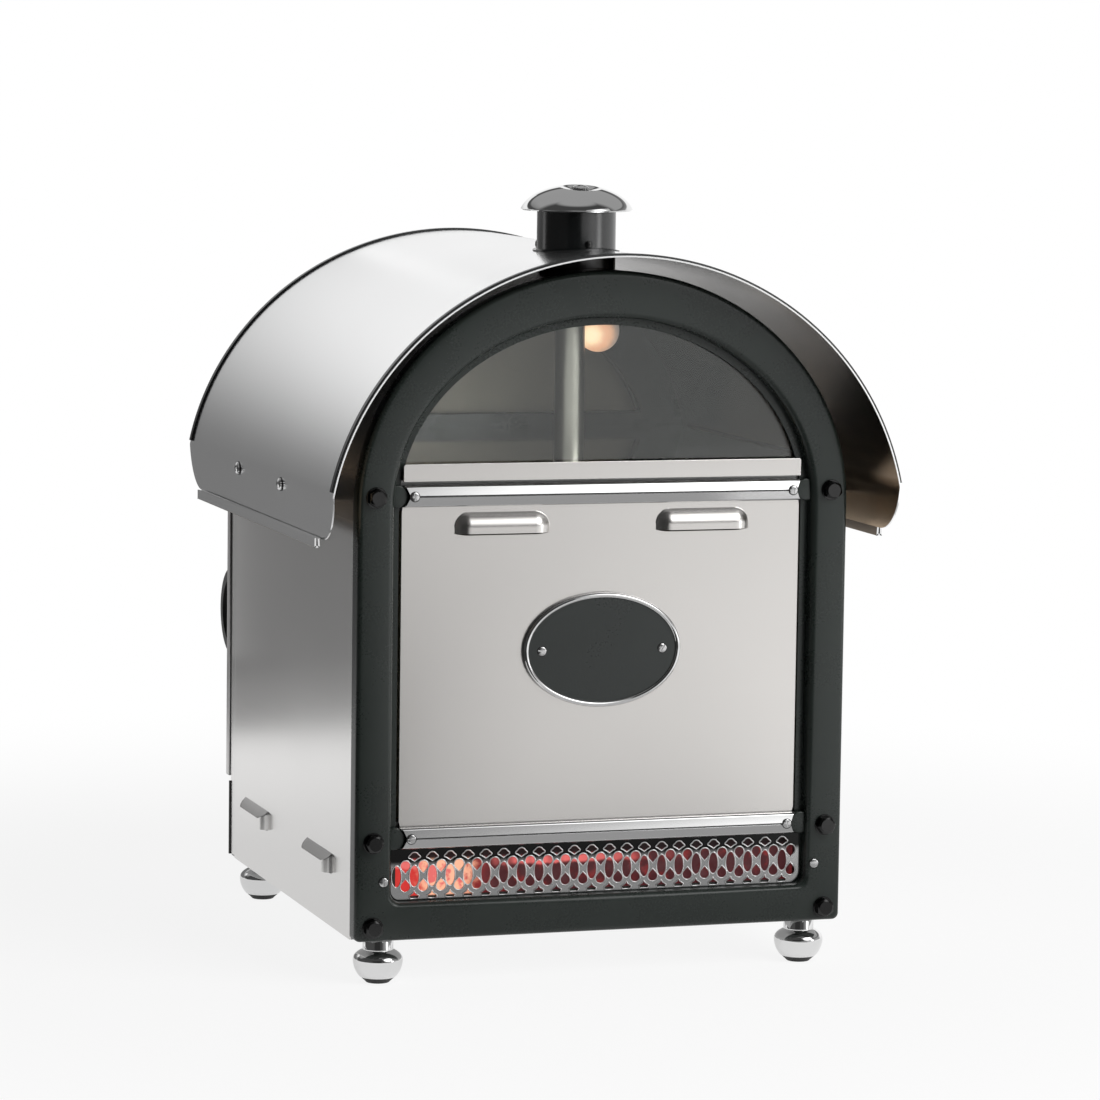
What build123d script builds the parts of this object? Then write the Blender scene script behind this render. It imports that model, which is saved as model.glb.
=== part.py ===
from build123d import *
import os
from math import sqrt

# Potato baker: a counter-top oven with an arched body, a separate barrel roof and a stub chimney.
# Millimetres. +Z is up, the customer's side faces -Y, and the feet stand on z = 0.

# Body
BODY_HALF_WIDTH = 200.5
BODY_BOTTOM_Z = 36.0
BODY_REAR_Y = 197.0
FRONT_Y = -200.0
SHEET = 1.2
HOLE_CLEARANCE = 0.1
CLOSE_FIT = 0.05
ARCH_SPRING_Z = 372.0
SIDE_TOP_Z = 362.0
SHELL_RISE = 181.0
SIDE_FACE_X = BODY_HALF_WIDTH
SIDE_INNER_X = SIDE_FACE_X - SHEET

# Cutting shapes reach this far past the part, or run over a face by this little
BEYOND = 400.0
OVERRUN = 1.0

# Cast front frame
FRAME_DEPTH = 15.0
FRAME_BACK_Y = FRONT_Y + FRAME_DEPTH
FRAME_RISE = 182.0
FRAME_EDGE_R = 4.0
OPENING_HALF = 171.0
OPENING_RISE = 145.5
OPENING_BOTTOM_Z = 65.5
OPENING_CORNER_R = 9.0
LEDGE_DEPTH = 3.0
LEDGE_FACE_Y = FRAME_BACK_Y - LEDGE_DEPTH
WINDOW_HALF = 165.0
WINDOW_RISE = 139.5
PANEL_LEDGE_HALF = 161.0
PANEL_LEDGE_BOTTOM_Z = 68.5
FRAME_BOLT_X = 186.2
FRAME_BOLT_ZS = (381.0, 113.5, 47.2)
BOLT_HEAD_FLATS = 13.0
BOLT_HEAD_HEIGHT = 6.0
BOLT_FACE_R = 5.2
BOLT_CHAMFER = 1.5
BOLT_TAIL = 10.0
BOLT_SHANK_R = 4.0
WASHER_R = 8.2
WASHER_THICKNESS = 1.2
FRAME_SCREW_X = 177.8
FRAME_SCREW_Z = 82.6
FRAME_SCREW_LENGTH = 12.0

# Front panel, its two cover rails and the sill strip under the glass
PANEL_THICKNESS = 1.5
PANEL_HALF = 165.0
PANEL_ZS = (113.5, 387.0)
PANEL_FACE_Y = LEDGE_FACE_Y - PANEL_THICKNESS
PANEL_RELIEF = 2.0
PANEL_RELIEF_ZS = (165.0, 362.0)
UPPER_RAIL_Z = 381.0
LOWER_RAIL_Z = 115.0
RAIL_HEIGHT = 17.0
RAIL_STANDOFF = 8.5
RAIL_WALL = 1.2
RAIL_HALF = 165.0
RAIL_SHOULDER = (0.62, 0.66)
RAIL_NOTCH_X = 167.8
RAIL_NOTCH_R = 9.5
RAIL_SCREW_X = 155.0
RAIL_SCREW_LENGTH = 22.0
LUG_R = 8.8
LUG_FACE_Y = -194.0
LUG_RELIEF_Y = LEDGE_FACE_Y - 2.0
SILL_ZS = (392.0, 405.7)
SILL_FACE_Y = -193.5
SILL_HALF = 163.0
SILL_CORNER_R = 2.0
FRONT_LOUVRE_X = 82.2
FRONT_LOUVRE_Z = 351.0
FRONT_LOUVRE_SIZE = (77.0, 16.5, 4.5)
LOUVRE_CORNER_SHARE = 0.8
LOUVRE_EDGE_SHARE = 0.55
CHANNEL_SIZE = (196.0, 12.0, 24.0)
CHANNEL_WALL = 2.0

# Oval plate on the front panel
BADGE_HALF_WIDTH = 64.5
BADGE_HALF_HEIGHT = 45.0
BADGE_Z = 258.0
BADGE_THICKNESS = 3.2
BADGE_RIM_WIDTH = 4.2
BADGE_RIM_HEIGHT = 2.0
BADGE_SCREW_X = 49.5
BADGE_SCREW_LENGTH = 8.0

# Small slotted screws
SCREW_HEAD_R = 3.6
SCREW_HEAD_HEIGHT = 1.8
SCREW_SHANK_R = 1.6
SCREW_SLOT = 0.9
SCREW_SLOT_SHARE = 0.45
SCREW_SLOT_TURN = 35.0
SCREW_SHOULDER = (0.72, 0.68)
SCREW_HOLE_LEAD = 12.0

# Pierced grille and the glow behind it
GRILLE_HALF = 168.6
GRILLE_CORNER_R = 8.0
GRILLE_ZS = (66.1, 113.0)
GRILLE_PITCH = 14.5
GRILLE_COLUMNS = 23
GRILLE_FIRST_X = -164.5
GRILLE_OVAL_Z = 84.5
GRILLE_OVAL_SIZE = (3.4, 8.1)
GRILLE_DROP_R = 3.9
GRILLE_DROP_OFFSET = 8.0
GRILLE_DROP_POINT = 2.6
GRILLE_DROP_SHOULDER = (0.85, 0.53)
GRILLE_CLUB_SIZE = (4.4, 2.3)
GRILLE_CLUB_OFFSET = 15.9
GRILLE_CLUB_POINT = 12.0
GRILLE_CLUB_SHOULDER = 0.6
GRILLE_SPADE_OFFSETS = (-17.4, -12.3)
GRILLE_SPADE_HALF = 3.2
GRILLE_SPADE_WAIST = (0.35, 0.4)
GLOW_SCREEN_Y = -176.0
GLOW_SCREEN_THICKNESS = 2.0
GLOW_LAMP_X = 66.0
GLOW_LAMP_Y = -152.0
GLOW_LAMP_Z = 88.0
GLOW_LAMP_R = 8.0
GLOW_LAMP_LENGTH = 116.0
GLOW_LAMP_END_R = 3.0
GLOW_CLIP_OFFSET = 48.0
GLOW_CLIP_SIZE = (10.0, 20.0)

# Window glass
GLASS_THICKNESS = 4.0
GLASS_BOTTOM_Z = 396.0
GLASS_INSET = 1.0
SEAL_THICKNESS = 1.0

# Side louvres
SIDE_LOUVRE_YS = (-103.0, 98.0)
SIDE_LOUVRE_Z = 81.5
SIDE_LOUVRE_SIZE = (93.0, 14.5, 6.0)

# Feet
FOOT_X = 175.0
FOOT_YS = (-176.0, 185.0)
FOOT_NECK_R = 12.0
FOOT_BALL_R = 19.5
FOOT_BALL_ZS = (8.0, 28.0)
FOOT_SEAT_R = 13.6
FOOT_PAD_R = 9.6
FOOT_STUD_R = 4.0
BASE_THICKNESS = 2.0

# Roof canopy
ROOF_HALF_WIDTH = 235.0
ROOF_RISE = 224.2
ROOF_CENTRE_Z = 343.3
ROOF_FRONT_Y = -236.2
ROOF_REAR_Y = 226.2
ROOF_BEND_Z = 386.0
EAVE_HALF_WIDTH = 228.6
EAVE_Z = 350.0
EAVE_CORNER_R = 36.0
GUTTER_WIDTH = 4.6
GUTTER_BOTTOM_Z = 341.5
GUTTER_YS = (-192.0, 190.0)
TRIM_PROUD = 1.5
TRIM_SET = 0.5
TRIM_DEPTH = 7.0
FRONT_TRIM_YS = (ROOF_FRONT_Y + TRIM_SET, ROOF_FRONT_Y + TRIM_SET + TRIM_DEPTH)
REAR_TRIM_YS = (ROOF_REAR_Y - TRIM_SET - TRIM_DEPTH, ROOF_REAR_Y - TRIM_SET)
TRIM_END_Z = 389.0
ROOF_SCREW_YS = (-80.5, 55.5)
ROOF_SCREW_Z = 381.0
ROOF_SCREW_R = 2.0
ROOF_SCREW_CLEARANCE = 0.2
ROOF_SCREW_LENGTH = 14.0
ROOF_SCREW_HOLE_XS = (215.0, 245.0)
ROOF_SCREW_HEAD_R = 4.2
ROOF_SCREW_HEAD_SPAN = (-2.0, 0.7)
ROOF_SCREW_DOME_R = 1.9
ROOF_SCREW_CROSS_SHARE = 0.57
ROOF_SCREW_CROSS_SPAN = (-0.2, 2.0)
ROOF_HOLE_ZS = (500.0, 600.0)
BRACKET_YS = (-110.0, 85.0)
BRACKET_OUTER_X = 228.2
BRACKET_ZS = (340.0, 390.0)
BRACKET_WEB_ZS = (370.0, 371.5)

# Chimney
CHIMNEY_Y = -113.0
CHIMNEY_R = 31.2
CHIMNEY_WALL = 1.5
CHIMNEY_TOP_Z = 596.5
CHIMNEY_FOOT_Z = 530.0
CHIMNEY_CLEARANCE = 0.3
COLLAR_R = 36.0
CAP_R = 44.3
CAP_RIM_Z = 598.0
CAP_TOP_Z = 618.5
CAP_RIM_HEIGHT = 1.6
CAP_SHOULDER_R = 34.55
CAP_SHOULDER_DROP = 9.0
CAP_CROWN_R = 15.0
CAP_DIMPLE_R = 12.0
CAP_LIP = (11.0, 0.8)
CAP_DISH_R = 10.0
CAP_EDGE_DROP = 1.2
CAP_SHEET = 1.4
CAP_DIMPLE_DEPTH = 5.0
CAP_STUD_R = 2.0
CAP_STRAP_ZS = (586.0, 588.0)
CAP_STRAP_HALF = 6.0
CAP_SCREW_HEAD_R = 5.0
CAP_SCREW_HEAD_HEIGHT = 2.6
CAP_SCREW_EDGE_R = 1.2
CAP_SCREW_SLOT_DEPTH = 1.0
FLUE_Y = -100.0
FLUE_R = 11.8
FLUE_WALL = 1.0
FLUE_TOP_Z = 562.0

# Oven box
LINER_HALF = 158.0
LINER_ZS = (120.0, 376.0)
LINER_YS = (-160.0, 182.5)
LINER_WALL = 1.0
OVEN_MOUTH_HALF = 160.0
OVEN_MOUTH_ZS = (118.0, 378.0)
SHELF_ZS = (205.0, 290.0)
SHELF_HALF = 149.0
SHELF_YS = (-145.0, 165.0)
SHELF_RIM_R = 2.6
SHELF_WIRE_R = 1.6
SHELF_WIRES = 13
SHELF_WIRE_LIFT = 0.6
RUNNER_YS = (-150.0, 170.0)
RUNNER_SHEET = 1.5
RUNNER_HEIGHT = 12.0
RUNNER_LEDGE = 14.0
INSULATION_GAP = 0.3
INSULATION_SIDE_GAP = 0.5
INSULATION_SLAB = 10.0
INSULATION_TOP_INSET = 8.0
ELEMENT_R = 4.0
ELEMENT_ZS = (134.0, 364.0)
ELEMENT_HALF_WIDTH = 110.0
ELEMENT_REAR_Y = 150.0
ELEMENT_BEND_R = 40.0
DISPLAY_FLOOR_Z = 399.0
DISPLAY_FLOOR_FRONT_Y = -178.0
DISPLAY_FLOOR_INSET = 6.0
LAMP_X = 30.0
LAMP_Y = -80.0
LAMP_Z = 500.0
LAMP_R = 17.0
LAMP_NECK_R = 7.9
LAMP_NECK_RISE = 18.0
LAMP_CAP_RISE = 26.0
LAMP_SHOULDER = (0.8, 0.6)
LAMP_HOLDER_R = 12.0
LAMP_HOLDER_RISE = 20.0
LAMP_SOCKET_DEPTH = 12.0
LAMP_WIRE_R = 3.0

# Rear frame and doors
REAR_FRAME_FRONT_Y = 183.0
DISPLAY_MOUTH_BOTTOM_Z = 412.0
CONTROL_MOUTH_HALF = 176.0
CONTROL_MOUTH_ZS = (46.0, 96.0)
DOOR_HALF_WIDTH = 201.8
DOOR_FRONT_Y = 200.0
DOOR_BACK_Y = 209.0
DOOR_SKIN = 1.5
OVEN_DOOR_ZS = (104.0, 390.0)
PLUG_XS = (-153.0, 150.0)
PLUG_ZS = (124.0, 372.0)
PLUG_FRONT_Y = 184.5
DOOR_PACKING_GAP = 2.0
DOOR_PACKING_BACK_GAP = 0.5
SEAL_WIDTH = 8.0
SEAL_MOUTH_GAP = 6.0
SEAL_FACE_GAP = 0.4
DISPLAY_DOOR_HALF = 190.0
DISPLAY_DOOR_RISE = 171.0
DISPLAY_DOOR_BOTTOM_Z = 402.0
HANDLE_LENGTH = 74.0
HANDLE_WIDTH = 22.0
HANDLE_REACH_Y = 236.5
HANDLE_BAR = 11.0
HANDLE_FOOT_EXTRA = 1.0
HANDLE_EDGE_R = 4.0
OVEN_HANDLE_X = -190.5
OVEN_HANDLE_Z = 245.0
DISPLAY_HANDLE_Z = 512.0
MAGNET_GAP = 0.4
OVEN_MAGNET_XS = (-196.0, -184.0)
OVEN_MAGNET_HALF = 12.0
DISPLAY_MAGNET_HALF = 12.0
DISPLAY_MAGNET_ZS = (522.0, 532.0)

# Hinges
HINGE_BARREL_R = 4.2
HINGE_PIN_R = 2.0
HINGE_BORE_R = 2.05
HINGE_LEAF = 1.5
HINGE_LENGTH = 50.0
HINGE_MIDDLE = 20.0
HINGE_GAP = 0.5
HINGE_PIN_END = 1.0
OVEN_HINGE_X = 207.0
OVEN_HINGE_Y = 201.0
OVEN_HINGE_ZS = (160.0, 318.0)
OVEN_FIXED_LEAF_REACH = 38.0
OVEN_DOOR_LEAF_REACH = 42.0
OVEN_WEB_XS = (-0.7, 0.8)
OVEN_WEB_START = 2.6
DISPLAY_HINGE_Y = 213.2
DISPLAY_HINGE_Z = 397.5
DISPLAY_HINGE_XS = (-110.0, 110.0)
DISPLAY_FIXED_LEAF_SPAN = (-4.2, 3.0)
DISPLAY_DOOR_LEAF_REACH = 28.0

# Controls
CONTROL_ZS = (37.0, 100.0)
CONTROL_THICKNESS = 2.0
CONTROL_FACE_Y = BODY_REAR_Y + CONTROL_THICKNESS
CONTROL_AXIS_Z = 68.0
KNOB_X = -120.0
KNOB_R = 21.0
KNOB_GAP = 2.2
KNOB_DEPTH = 19.0
KNOB_SKIRT = 5.0
KNOB_SKIRT_EDGE_R = 1.5
KNOB_HUB_SHARE = 0.72
KNOB_HUB_SPAN = (4.0, 10.0)
KNOB_GRIP_SHARE = 0.82
KNOB_GRIP_HALF = 4.5
KNOB_GRIP_EDGE_R = 2.5
KNOB_MARK_HALF = 0.7
KNOB_MARK_DEPTH = 2.0
KNOB_MARK_START = 4.0
KNOB_SHAFT_R = 3.0
KNOB_SHAFT_END_Y = 170.0
KNOB_BUSH_R = 3.06
THERMOSTAT_HALVES = (22.0, 18.0)
THERMOSTAT_YS = (160.0, BODY_REAR_Y)
THERMOSTAT_BUSH_OUTER_R = 8.8
THERMOSTAT_BUSH_PROUD = 1.5
THERMOSTAT_BORE_END_Y = 168.0
KNOB_HOLE_R = 9.0
PANEL_CUT_YS = (190.0, 205.0)
ROCKER_XS = (10.0, 60.0)
ROCKER_SIZE = (15.0, 22.0)
ROCKER_TILT = 8.0
ROCKER_PIVOT_R = 1.2
ROCKER_PIVOT_CLEARANCE = 0.06
ROCKER_PIVOT_HALF = 9.0
ROCKER_SOCKET_HALF = 9.4
ROCKER_PIVOT_DEPTH = 2.0
ROCKER_CROWN = 5.5
ROCKER_WAIST = 3.0
ROCKER_ROOT = 6.0
ROCKER_LIP = 2.0
ROCKER_GAPS = (0.5, 1.2)
SWITCH_BEZEL_HALVES = (13.0, 17.0)
SWITCH_BEZEL_PROUD = 2.0
SWITCH_BEZEL_CORNER_R = 2.0
SWITCH_BODY_HALVES = (10.0, 14.0)
SWITCH_BODY_FRONT_Y = 172.0
SWITCH_CAVITY_Y = 184.0
GLAND_X = 135.0
GLAND_BORE_R = 4.5
GLAND_YS = (188.0, 223.0)
GLAND_THREAD_R = 8.0
GLAND_THREAD_END_Y = 205.0
GLAND_NUT_R = 11.0
GLAND_NUT_DEPTH = 6.0
GLAND_HEX_DEPTH = 5.0
GLAND_CAP_R = 9.6
GLAND_CAP_END_Y = 216.0
GLAND_NOSE_R = 7.4


# Small shape builders
def block(x0, x1, y0, y1, z0, z1):
    return Pos((x0 + x1) / 2, (y0 + y1) / 2, (z0 + z1) / 2) * Box(x1 - x0, y1 - y0, z1 - z0)


def rod_x(radius, x0, x1, y, z):
    return Pos((x0 + x1) / 2, y, z) * Rot(0, 90, 0) * Cylinder(radius, x1 - x0)


def rod_y(radius, y0, y1, x, z):
    return Pos(x, (y0 + y1) / 2, z) * Rot(90, 0, 0) * Cylinder(radius, y1 - y0)


def rod_z(radius, z0, z1, x, y):
    return Pos(x, y, (z0 + z1) / 2) * Cylinder(radius, z1 - z0)


def along_y(face, y0, y1):
    """Extrude a face drawn in X and Z from y0 to y1."""
    return Pos(0, y1, 0) * extrude(Plane.XZ * face, y1 - y0)


def along_x(face, x0, x1):
    """Extrude a face drawn in Y and Z from x0 to x1."""
    return Pos(x0, 0, 0) * extrude(Plane.YZ * face, x1 - x0)


def rect(x0, x1, z0, z1):
    return Pos((x0 + x1) / 2, (z0 + z1) / 2) * Rectangle(x1 - x0, z1 - z0)


def joined(shapes):
    """Fuse overlapping shapes into one solid."""
    total = shapes[0]
    for shape in shapes[1:]:
        total = total + shape
    return total


def group(shapes):
    """Hold separate solids together as one node."""
    return Compound([solid for shape in shapes for solid in shape.solids()])


def spun(points, x=0.0, y=0.0):
    """Turn a closed outline of (radius, z) points about the upright axis through (x, y)."""
    outline = make_face(Polyline(*points, close=True))
    return Pos(x, y, 0) * revolve(Plane.XZ * outline, Axis.Z)


def arch_face(half_width, rise, bottom_z):
    """Straight sides with half an ellipse on top."""
    spring = ARCH_SPRING_Z
    outline = [
        Line((-half_width, spring), (-half_width, bottom_z)),
        Line((-half_width, bottom_z), (half_width, bottom_z)),
        Line((half_width, bottom_z), (half_width, spring)),
        EllipticalCenterArc((0, spring), half_width, rise, start_angle=0, arc_size=180),
    ]
    return make_face(outline)


def arch_above(half_width, rise, bottom_z):
    """The part of an arch above a level sill."""
    return arch_face(half_width, rise, BODY_BOTTOM_Z) & rect(-BEYOND, BEYOND, bottom_z, 2 * BEYOND)


def ellipse_half_width(z, half_width, rise, centre_z):
    return half_width * sqrt(1 - ((z - centre_z) / rise) ** 2)


def louvre(length, height, depth):
    """A pressed hood open along its lower edge, and the slot that it covers, standing out along local Z."""
    hood_face = Pos(0, height / 2) * Rectangle(length, height)
    hood_face = fillet(hood_face.vertices().group_by(Axis.Y)[-1], LOUVRE_CORNER_SHARE * height)
    hood = extrude(hood_face, depth)
    front_edges = hood.faces().sort_by(Axis.Z)[-1].edges().sort_by(Axis.Y)[1:]
    hood = fillet(front_edges, LOUVRE_EDGE_SHARE * depth)
    inner_height = height - SHEET
    inner_face = Pos(0, inner_height / 2) * Rectangle(length - 2 * SHEET, inner_height)
    inner_face = fillet(inner_face.vertices().group_by(Axis.Y)[-1], LOUVRE_CORNER_SHARE * height - SHEET)
    hollow = extrude(inner_face, depth - SHEET)
    slot = Pos(0, 0, -2 * PANEL_THICKNESS) * extrude(inner_face, 2 * PANEL_THICKNESS)
    return hood - hollow, slot


def add_louvre(sheet, plane, size):
    """Cut a louvre's slot in a sheet and raise its hood on the plane of the sheet's face."""
    hood, slot = louvre(*size)
    return sheet - plane * slot + plane * hood


def slotted_screw(x, y, z, length):
    """A domed slotted screw whose head rests at y and whose shank runs back along +Y."""
    shoulder = (SCREW_SHOULDER[0] * SCREW_HEAD_R, SCREW_SHOULDER[1] * SCREW_HEAD_HEIGHT)
    half_profile = make_face(
        [
            Line((0, 0), (SCREW_HEAD_R, 0)),
            ThreePointArc((SCREW_HEAD_R, 0), shoulder, (0, SCREW_HEAD_HEIGHT)),
            Line((0, SCREW_HEAD_HEIGHT), (0, 0)),
        ]
    )
    head = revolve(Plane.XZ * half_profile, Axis.Z)
    slot_depth = SCREW_SLOT_SHARE * SCREW_HEAD_HEIGHT
    slot_z = SCREW_HEAD_HEIGHT - slot_depth / 2
    slot = Rot(0, 0, SCREW_SLOT_TURN) * Box(3 * SCREW_HEAD_R, SCREW_SLOT, slot_depth)
    shank = Pos(0, 0, -length / 2) * Cylinder(SCREW_SHANK_R, length)
    return Pos(x, y, z) * Rot(90, 0, 0) * (head - Pos(0, 0, slot_z) * slot + shank)


# Front screws: x, head seat y, z and shank length
RAIL_NOSE_Y = PANEL_FACE_Y - RAIL_STANDOFF
BADGE_FACE_Y = PANEL_FACE_Y - BADGE_THICKNESS
RAIL_SCREWS = [
    (side * RAIL_SCREW_X, RAIL_NOSE_Y, rail_z, RAIL_SCREW_LENGTH)
    for rail_z in (UPPER_RAIL_Z, LOWER_RAIL_Z)
    for side in (-1, 1)
]
FRAME_SCREWS = [(side * FRAME_SCREW_X, FRONT_Y, FRAME_SCREW_Z, FRAME_SCREW_LENGTH) for side in (-1, 1)]
BADGE_SCREWS = [(side * BADGE_SCREW_X, BADGE_FACE_Y, BADGE_Z, BADGE_SCREW_LENGTH) for side in (-1, 1)]


def screw_holes(screws):
    return [
        rod_y(SCREW_SHANK_R + HOLE_CLEARANCE, y - SCREW_HOLE_LEAD, y + length + OVERRUN, x, z)
        for x, y, z, length in screws
    ]


def make_front_frame():
    frame = along_y(arch_face(BODY_HALF_WIDTH, FRAME_RISE, BODY_BOTTOM_Z), FRONT_Y, FRAME_BACK_Y)
    opening = arch_face(OPENING_HALF, OPENING_RISE, OPENING_BOTTOM_Z)
    opening = fillet(opening.vertices().group_by(Axis.Y)[0], OPENING_CORNER_R)
    frame = frame - along_y(opening, FRONT_Y - OVERRUN, LEDGE_FACE_Y)
    front_rim = frame.faces().sort_by(Axis.Y)[0].edges()
    frame = fillet(front_rim, FRAME_EDGE_R)
    window = arch_above(WINDOW_HALF, WINDOW_RISE, SILL_ZS[0])
    panel_mouth = rect(-PANEL_LEDGE_HALF, PANEL_LEDGE_HALF, PANEL_LEDGE_BOTTOM_Z, SILL_ZS[0])
    for hole in (window, panel_mouth):
        frame = frame - along_y(hole, LEDGE_FACE_Y - OVERRUN, FRAME_BACK_Y + OVERRUN)
    panel_room = along_y(rect(-PANEL_HALF, PANEL_HALF, 0, BEYOND), LUG_RELIEF_Y, 0)
    hole_r = BOLT_SHANK_R + HOLE_CLEARANCE
    for side in (-1, 1):
        for rail_z in (UPPER_RAIL_Z, LOWER_RAIL_Z):
            lug = rod_y(LUG_R, LUG_FACE_Y, FRAME_BACK_Y, side * RAIL_NOTCH_X, rail_z)
            frame = frame + (lug - panel_room)
        for bolt_z in FRAME_BOLT_ZS:
            bolt_x = side * FRAME_BOLT_X
            frame = frame - rod_y(hole_r, FRONT_Y - OVERRUN, FRAME_BACK_Y + OVERRUN, bolt_x, bolt_z)
    return frame - screw_holes(FRAME_SCREWS)


def hex_head():
    """A hexagonal head standing on z = 0, with a turned chamfer round its face."""
    corner_r = BOLT_HEAD_FLATS / sqrt(3)
    hexagon = RegularPolygon(BOLT_HEAD_FLATS / 2, 6, major_radius=False)
    turned = spun(
        [
            (0, 0),
            (corner_r, 0),
            (corner_r, BOLT_HEAD_HEIGHT - BOLT_CHAMFER),
            (BOLT_FACE_R, BOLT_HEAD_HEIGHT),
            (0, BOLT_HEAD_HEIGHT),
        ]
    )
    return extrude(hexagon, BOLT_HEAD_HEIGHT) & turned


def make_frame_bolts():
    washer_y = FRONT_Y - WASHER_THICKNESS
    bolts = []
    for side in (-1, 1):
        for bolt_z in FRAME_BOLT_ZS:
            x = side * FRAME_BOLT_X
            head = Pos(x, washer_y, bolt_z) * Rot(90, 0, 0) * hex_head()
            washer = rod_y(WASHER_R, washer_y, FRONT_Y, x, bolt_z)
            shank = rod_y(BOLT_SHANK_R, washer_y, FRAME_BACK_Y + BOLT_TAIL, x, bolt_z)
            bolts.append(joined([head, washer, shank]))
    return group(bolts)


def make_front_panel():
    outline = rect(-PANEL_HALF, PANEL_HALF, *PANEL_ZS)
    for side in (-1, 1):
        edge_x = side * PANEL_HALF
        outline = outline - rect(edge_x - PANEL_RELIEF, edge_x + PANEL_RELIEF, *PANEL_RELIEF_ZS)
        for rail_z in (UPPER_RAIL_Z, LOWER_RAIL_Z):
            outline = outline - Pos(side * RAIL_NOTCH_X, rail_z) * Circle(RAIL_NOTCH_R)
    panel = along_y(outline, PANEL_FACE_Y, LEDGE_FACE_Y)
    for side in (-1, 1):
        origin = (side * FRONT_LOUVRE_X, PANEL_FACE_Y, FRONT_LOUVRE_Z)
        plane = Plane(origin, x_dir=(1, 0, 0), z_dir=(0, -1, 0))
        panel = add_louvre(panel, plane, FRONT_LOUVRE_SIZE)
    return panel - screw_holes(RAIL_SCREWS + BADGE_SCREWS)


def make_rail(rail_z):
    """A folded cover rail with a ridge along its middle, hollow behind and scooped at both ends."""

    def section(inset):
        half = RAIL_HEIGHT / 2 - inset
        top = (PANEL_FACE_Y, rail_z + half)
        bottom = (PANEL_FACE_Y, rail_z - half)
        nose = (PANEL_FACE_Y - RAIL_STANDOFF + inset, rail_z)
        shoulder_y = PANEL_FACE_Y - RAIL_SHOULDER[0] * RAIL_STANDOFF + inset
        upper_shoulder = (shoulder_y, rail_z + RAIL_SHOULDER[1] * half)
        lower_shoulder = (shoulder_y, rail_z - RAIL_SHOULDER[1] * half)
        return make_face(
            [
                Line(bottom, top),
                ThreePointArc(top, upper_shoulder, nose),
                ThreePointArc(nose, lower_shoulder, bottom),
            ]
        )

    rail = along_x(section(0), -RAIL_HALF, RAIL_HALF) - along_x(section(RAIL_WALL), -RAIL_HALF, RAIL_HALF)
    for side in (-1, 1):
        rail = rail - rod_y(RAIL_NOTCH_R, FRONT_Y, FRAME_BACK_Y, side * RAIL_NOTCH_X, rail_z)
    return rail - screw_holes(RAIL_SCREWS)


def make_sill_strip():
    """An upstand in front of the glass, folded from a flat foot."""
    low, high = SILL_ZS
    face = rect(-SILL_HALF, SILL_HALF, low, high)
    face = fillet(face.vertices().group_by(Axis.Y)[-1], SILL_CORNER_R)
    strip = along_y(face, SILL_FACE_Y, SILL_FACE_Y + PANEL_THICKNESS)
    half = PANEL_LEDGE_HALF
    return strip + block(-half, half, SILL_FACE_Y, FRAME_BACK_Y, low, low + PANEL_THICKNESS)


def make_cross_channels():
    """Two channels behind the frame that carry the panel, rails and sill."""
    half, depth, height = CHANNEL_SIZE
    channels = []
    for rail_z in (UPPER_RAIL_Z, LOWER_RAIL_Z):
        rear_y = FRAME_BACK_Y + depth
        outer = block(-half, half, FRAME_BACK_Y, rear_y, rail_z - height / 2, rail_z + height / 2)
        reach = height / 2 - CHANNEL_WALL
        hollow = block(-half, half, FRAME_BACK_Y + CHANNEL_WALL, rear_y, rail_z - reach, rail_z + reach)
        channel = outer - hollow - screw_holes(RAIL_SCREWS)
        hole_r = BOLT_SHANK_R + HOLE_CLEARANCE
        for side in (-1, 1):
            for bolt_z in FRAME_BOLT_ZS:
                channel = channel - rod_y(hole_r, FRONT_Y, rear_y, side * FRAME_BOLT_X, bolt_z)
        channels.append(channel)
    return group(channels)


def make_badge_plate():
    """A cast oval with a raised rim and a bare field."""

    def oval(inset):
        return Pos(0, BADGE_Z) * Ellipse(BADGE_HALF_WIDTH - inset, BADGE_HALF_HEIGHT - inset)

    plate = along_y(oval(0), BADGE_FACE_Y, PANEL_FACE_Y)
    rim = oval(0) - oval(BADGE_RIM_WIDTH)
    plate = plate + along_y(rim, BADGE_FACE_Y - BADGE_RIM_HEIGHT, BADGE_FACE_Y)
    return plate - screw_holes(BADGE_SCREWS)


def grille_drop(x, side):
    """A round hole drawn out to a point towards the row of ovals."""
    centre_z = GRILLE_OVAL_Z + side * GRILLE_DROP_OFFSET
    point_z = GRILLE_OVAL_Z + side * GRILLE_DROP_POINT
    half = GRILLE_DROP_SHOULDER[0] * GRILLE_DROP_R
    shoulder_z = centre_z - side * GRILLE_DROP_SHOULDER[1] * GRILLE_DROP_R
    point = make_face(Polyline((x - half, shoulder_z), (x + half, shoulder_z), (x, point_z), close=True))
    return Pos(x, centre_z) * Circle(GRILLE_DROP_R) + point


def grille_club(x):
    """A flat rounded head on a pointed stem, above each oval."""
    centre_z = GRILLE_OVAL_Z + GRILLE_CLUB_OFFSET
    half = GRILLE_CLUB_SHOULDER * GRILLE_CLUB_SIZE[0]
    shoulder_z = centre_z - GRILLE_CLUB_SHOULDER * GRILLE_CLUB_SIZE[1]
    point_z = GRILLE_OVAL_Z + GRILLE_CLUB_POINT
    point = make_face(Polyline((x - half, shoulder_z), (x + half, shoulder_z), (x, point_z), close=True))
    return Pos(x, centre_z) * Ellipse(*GRILLE_CLUB_SIZE) + point


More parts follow.
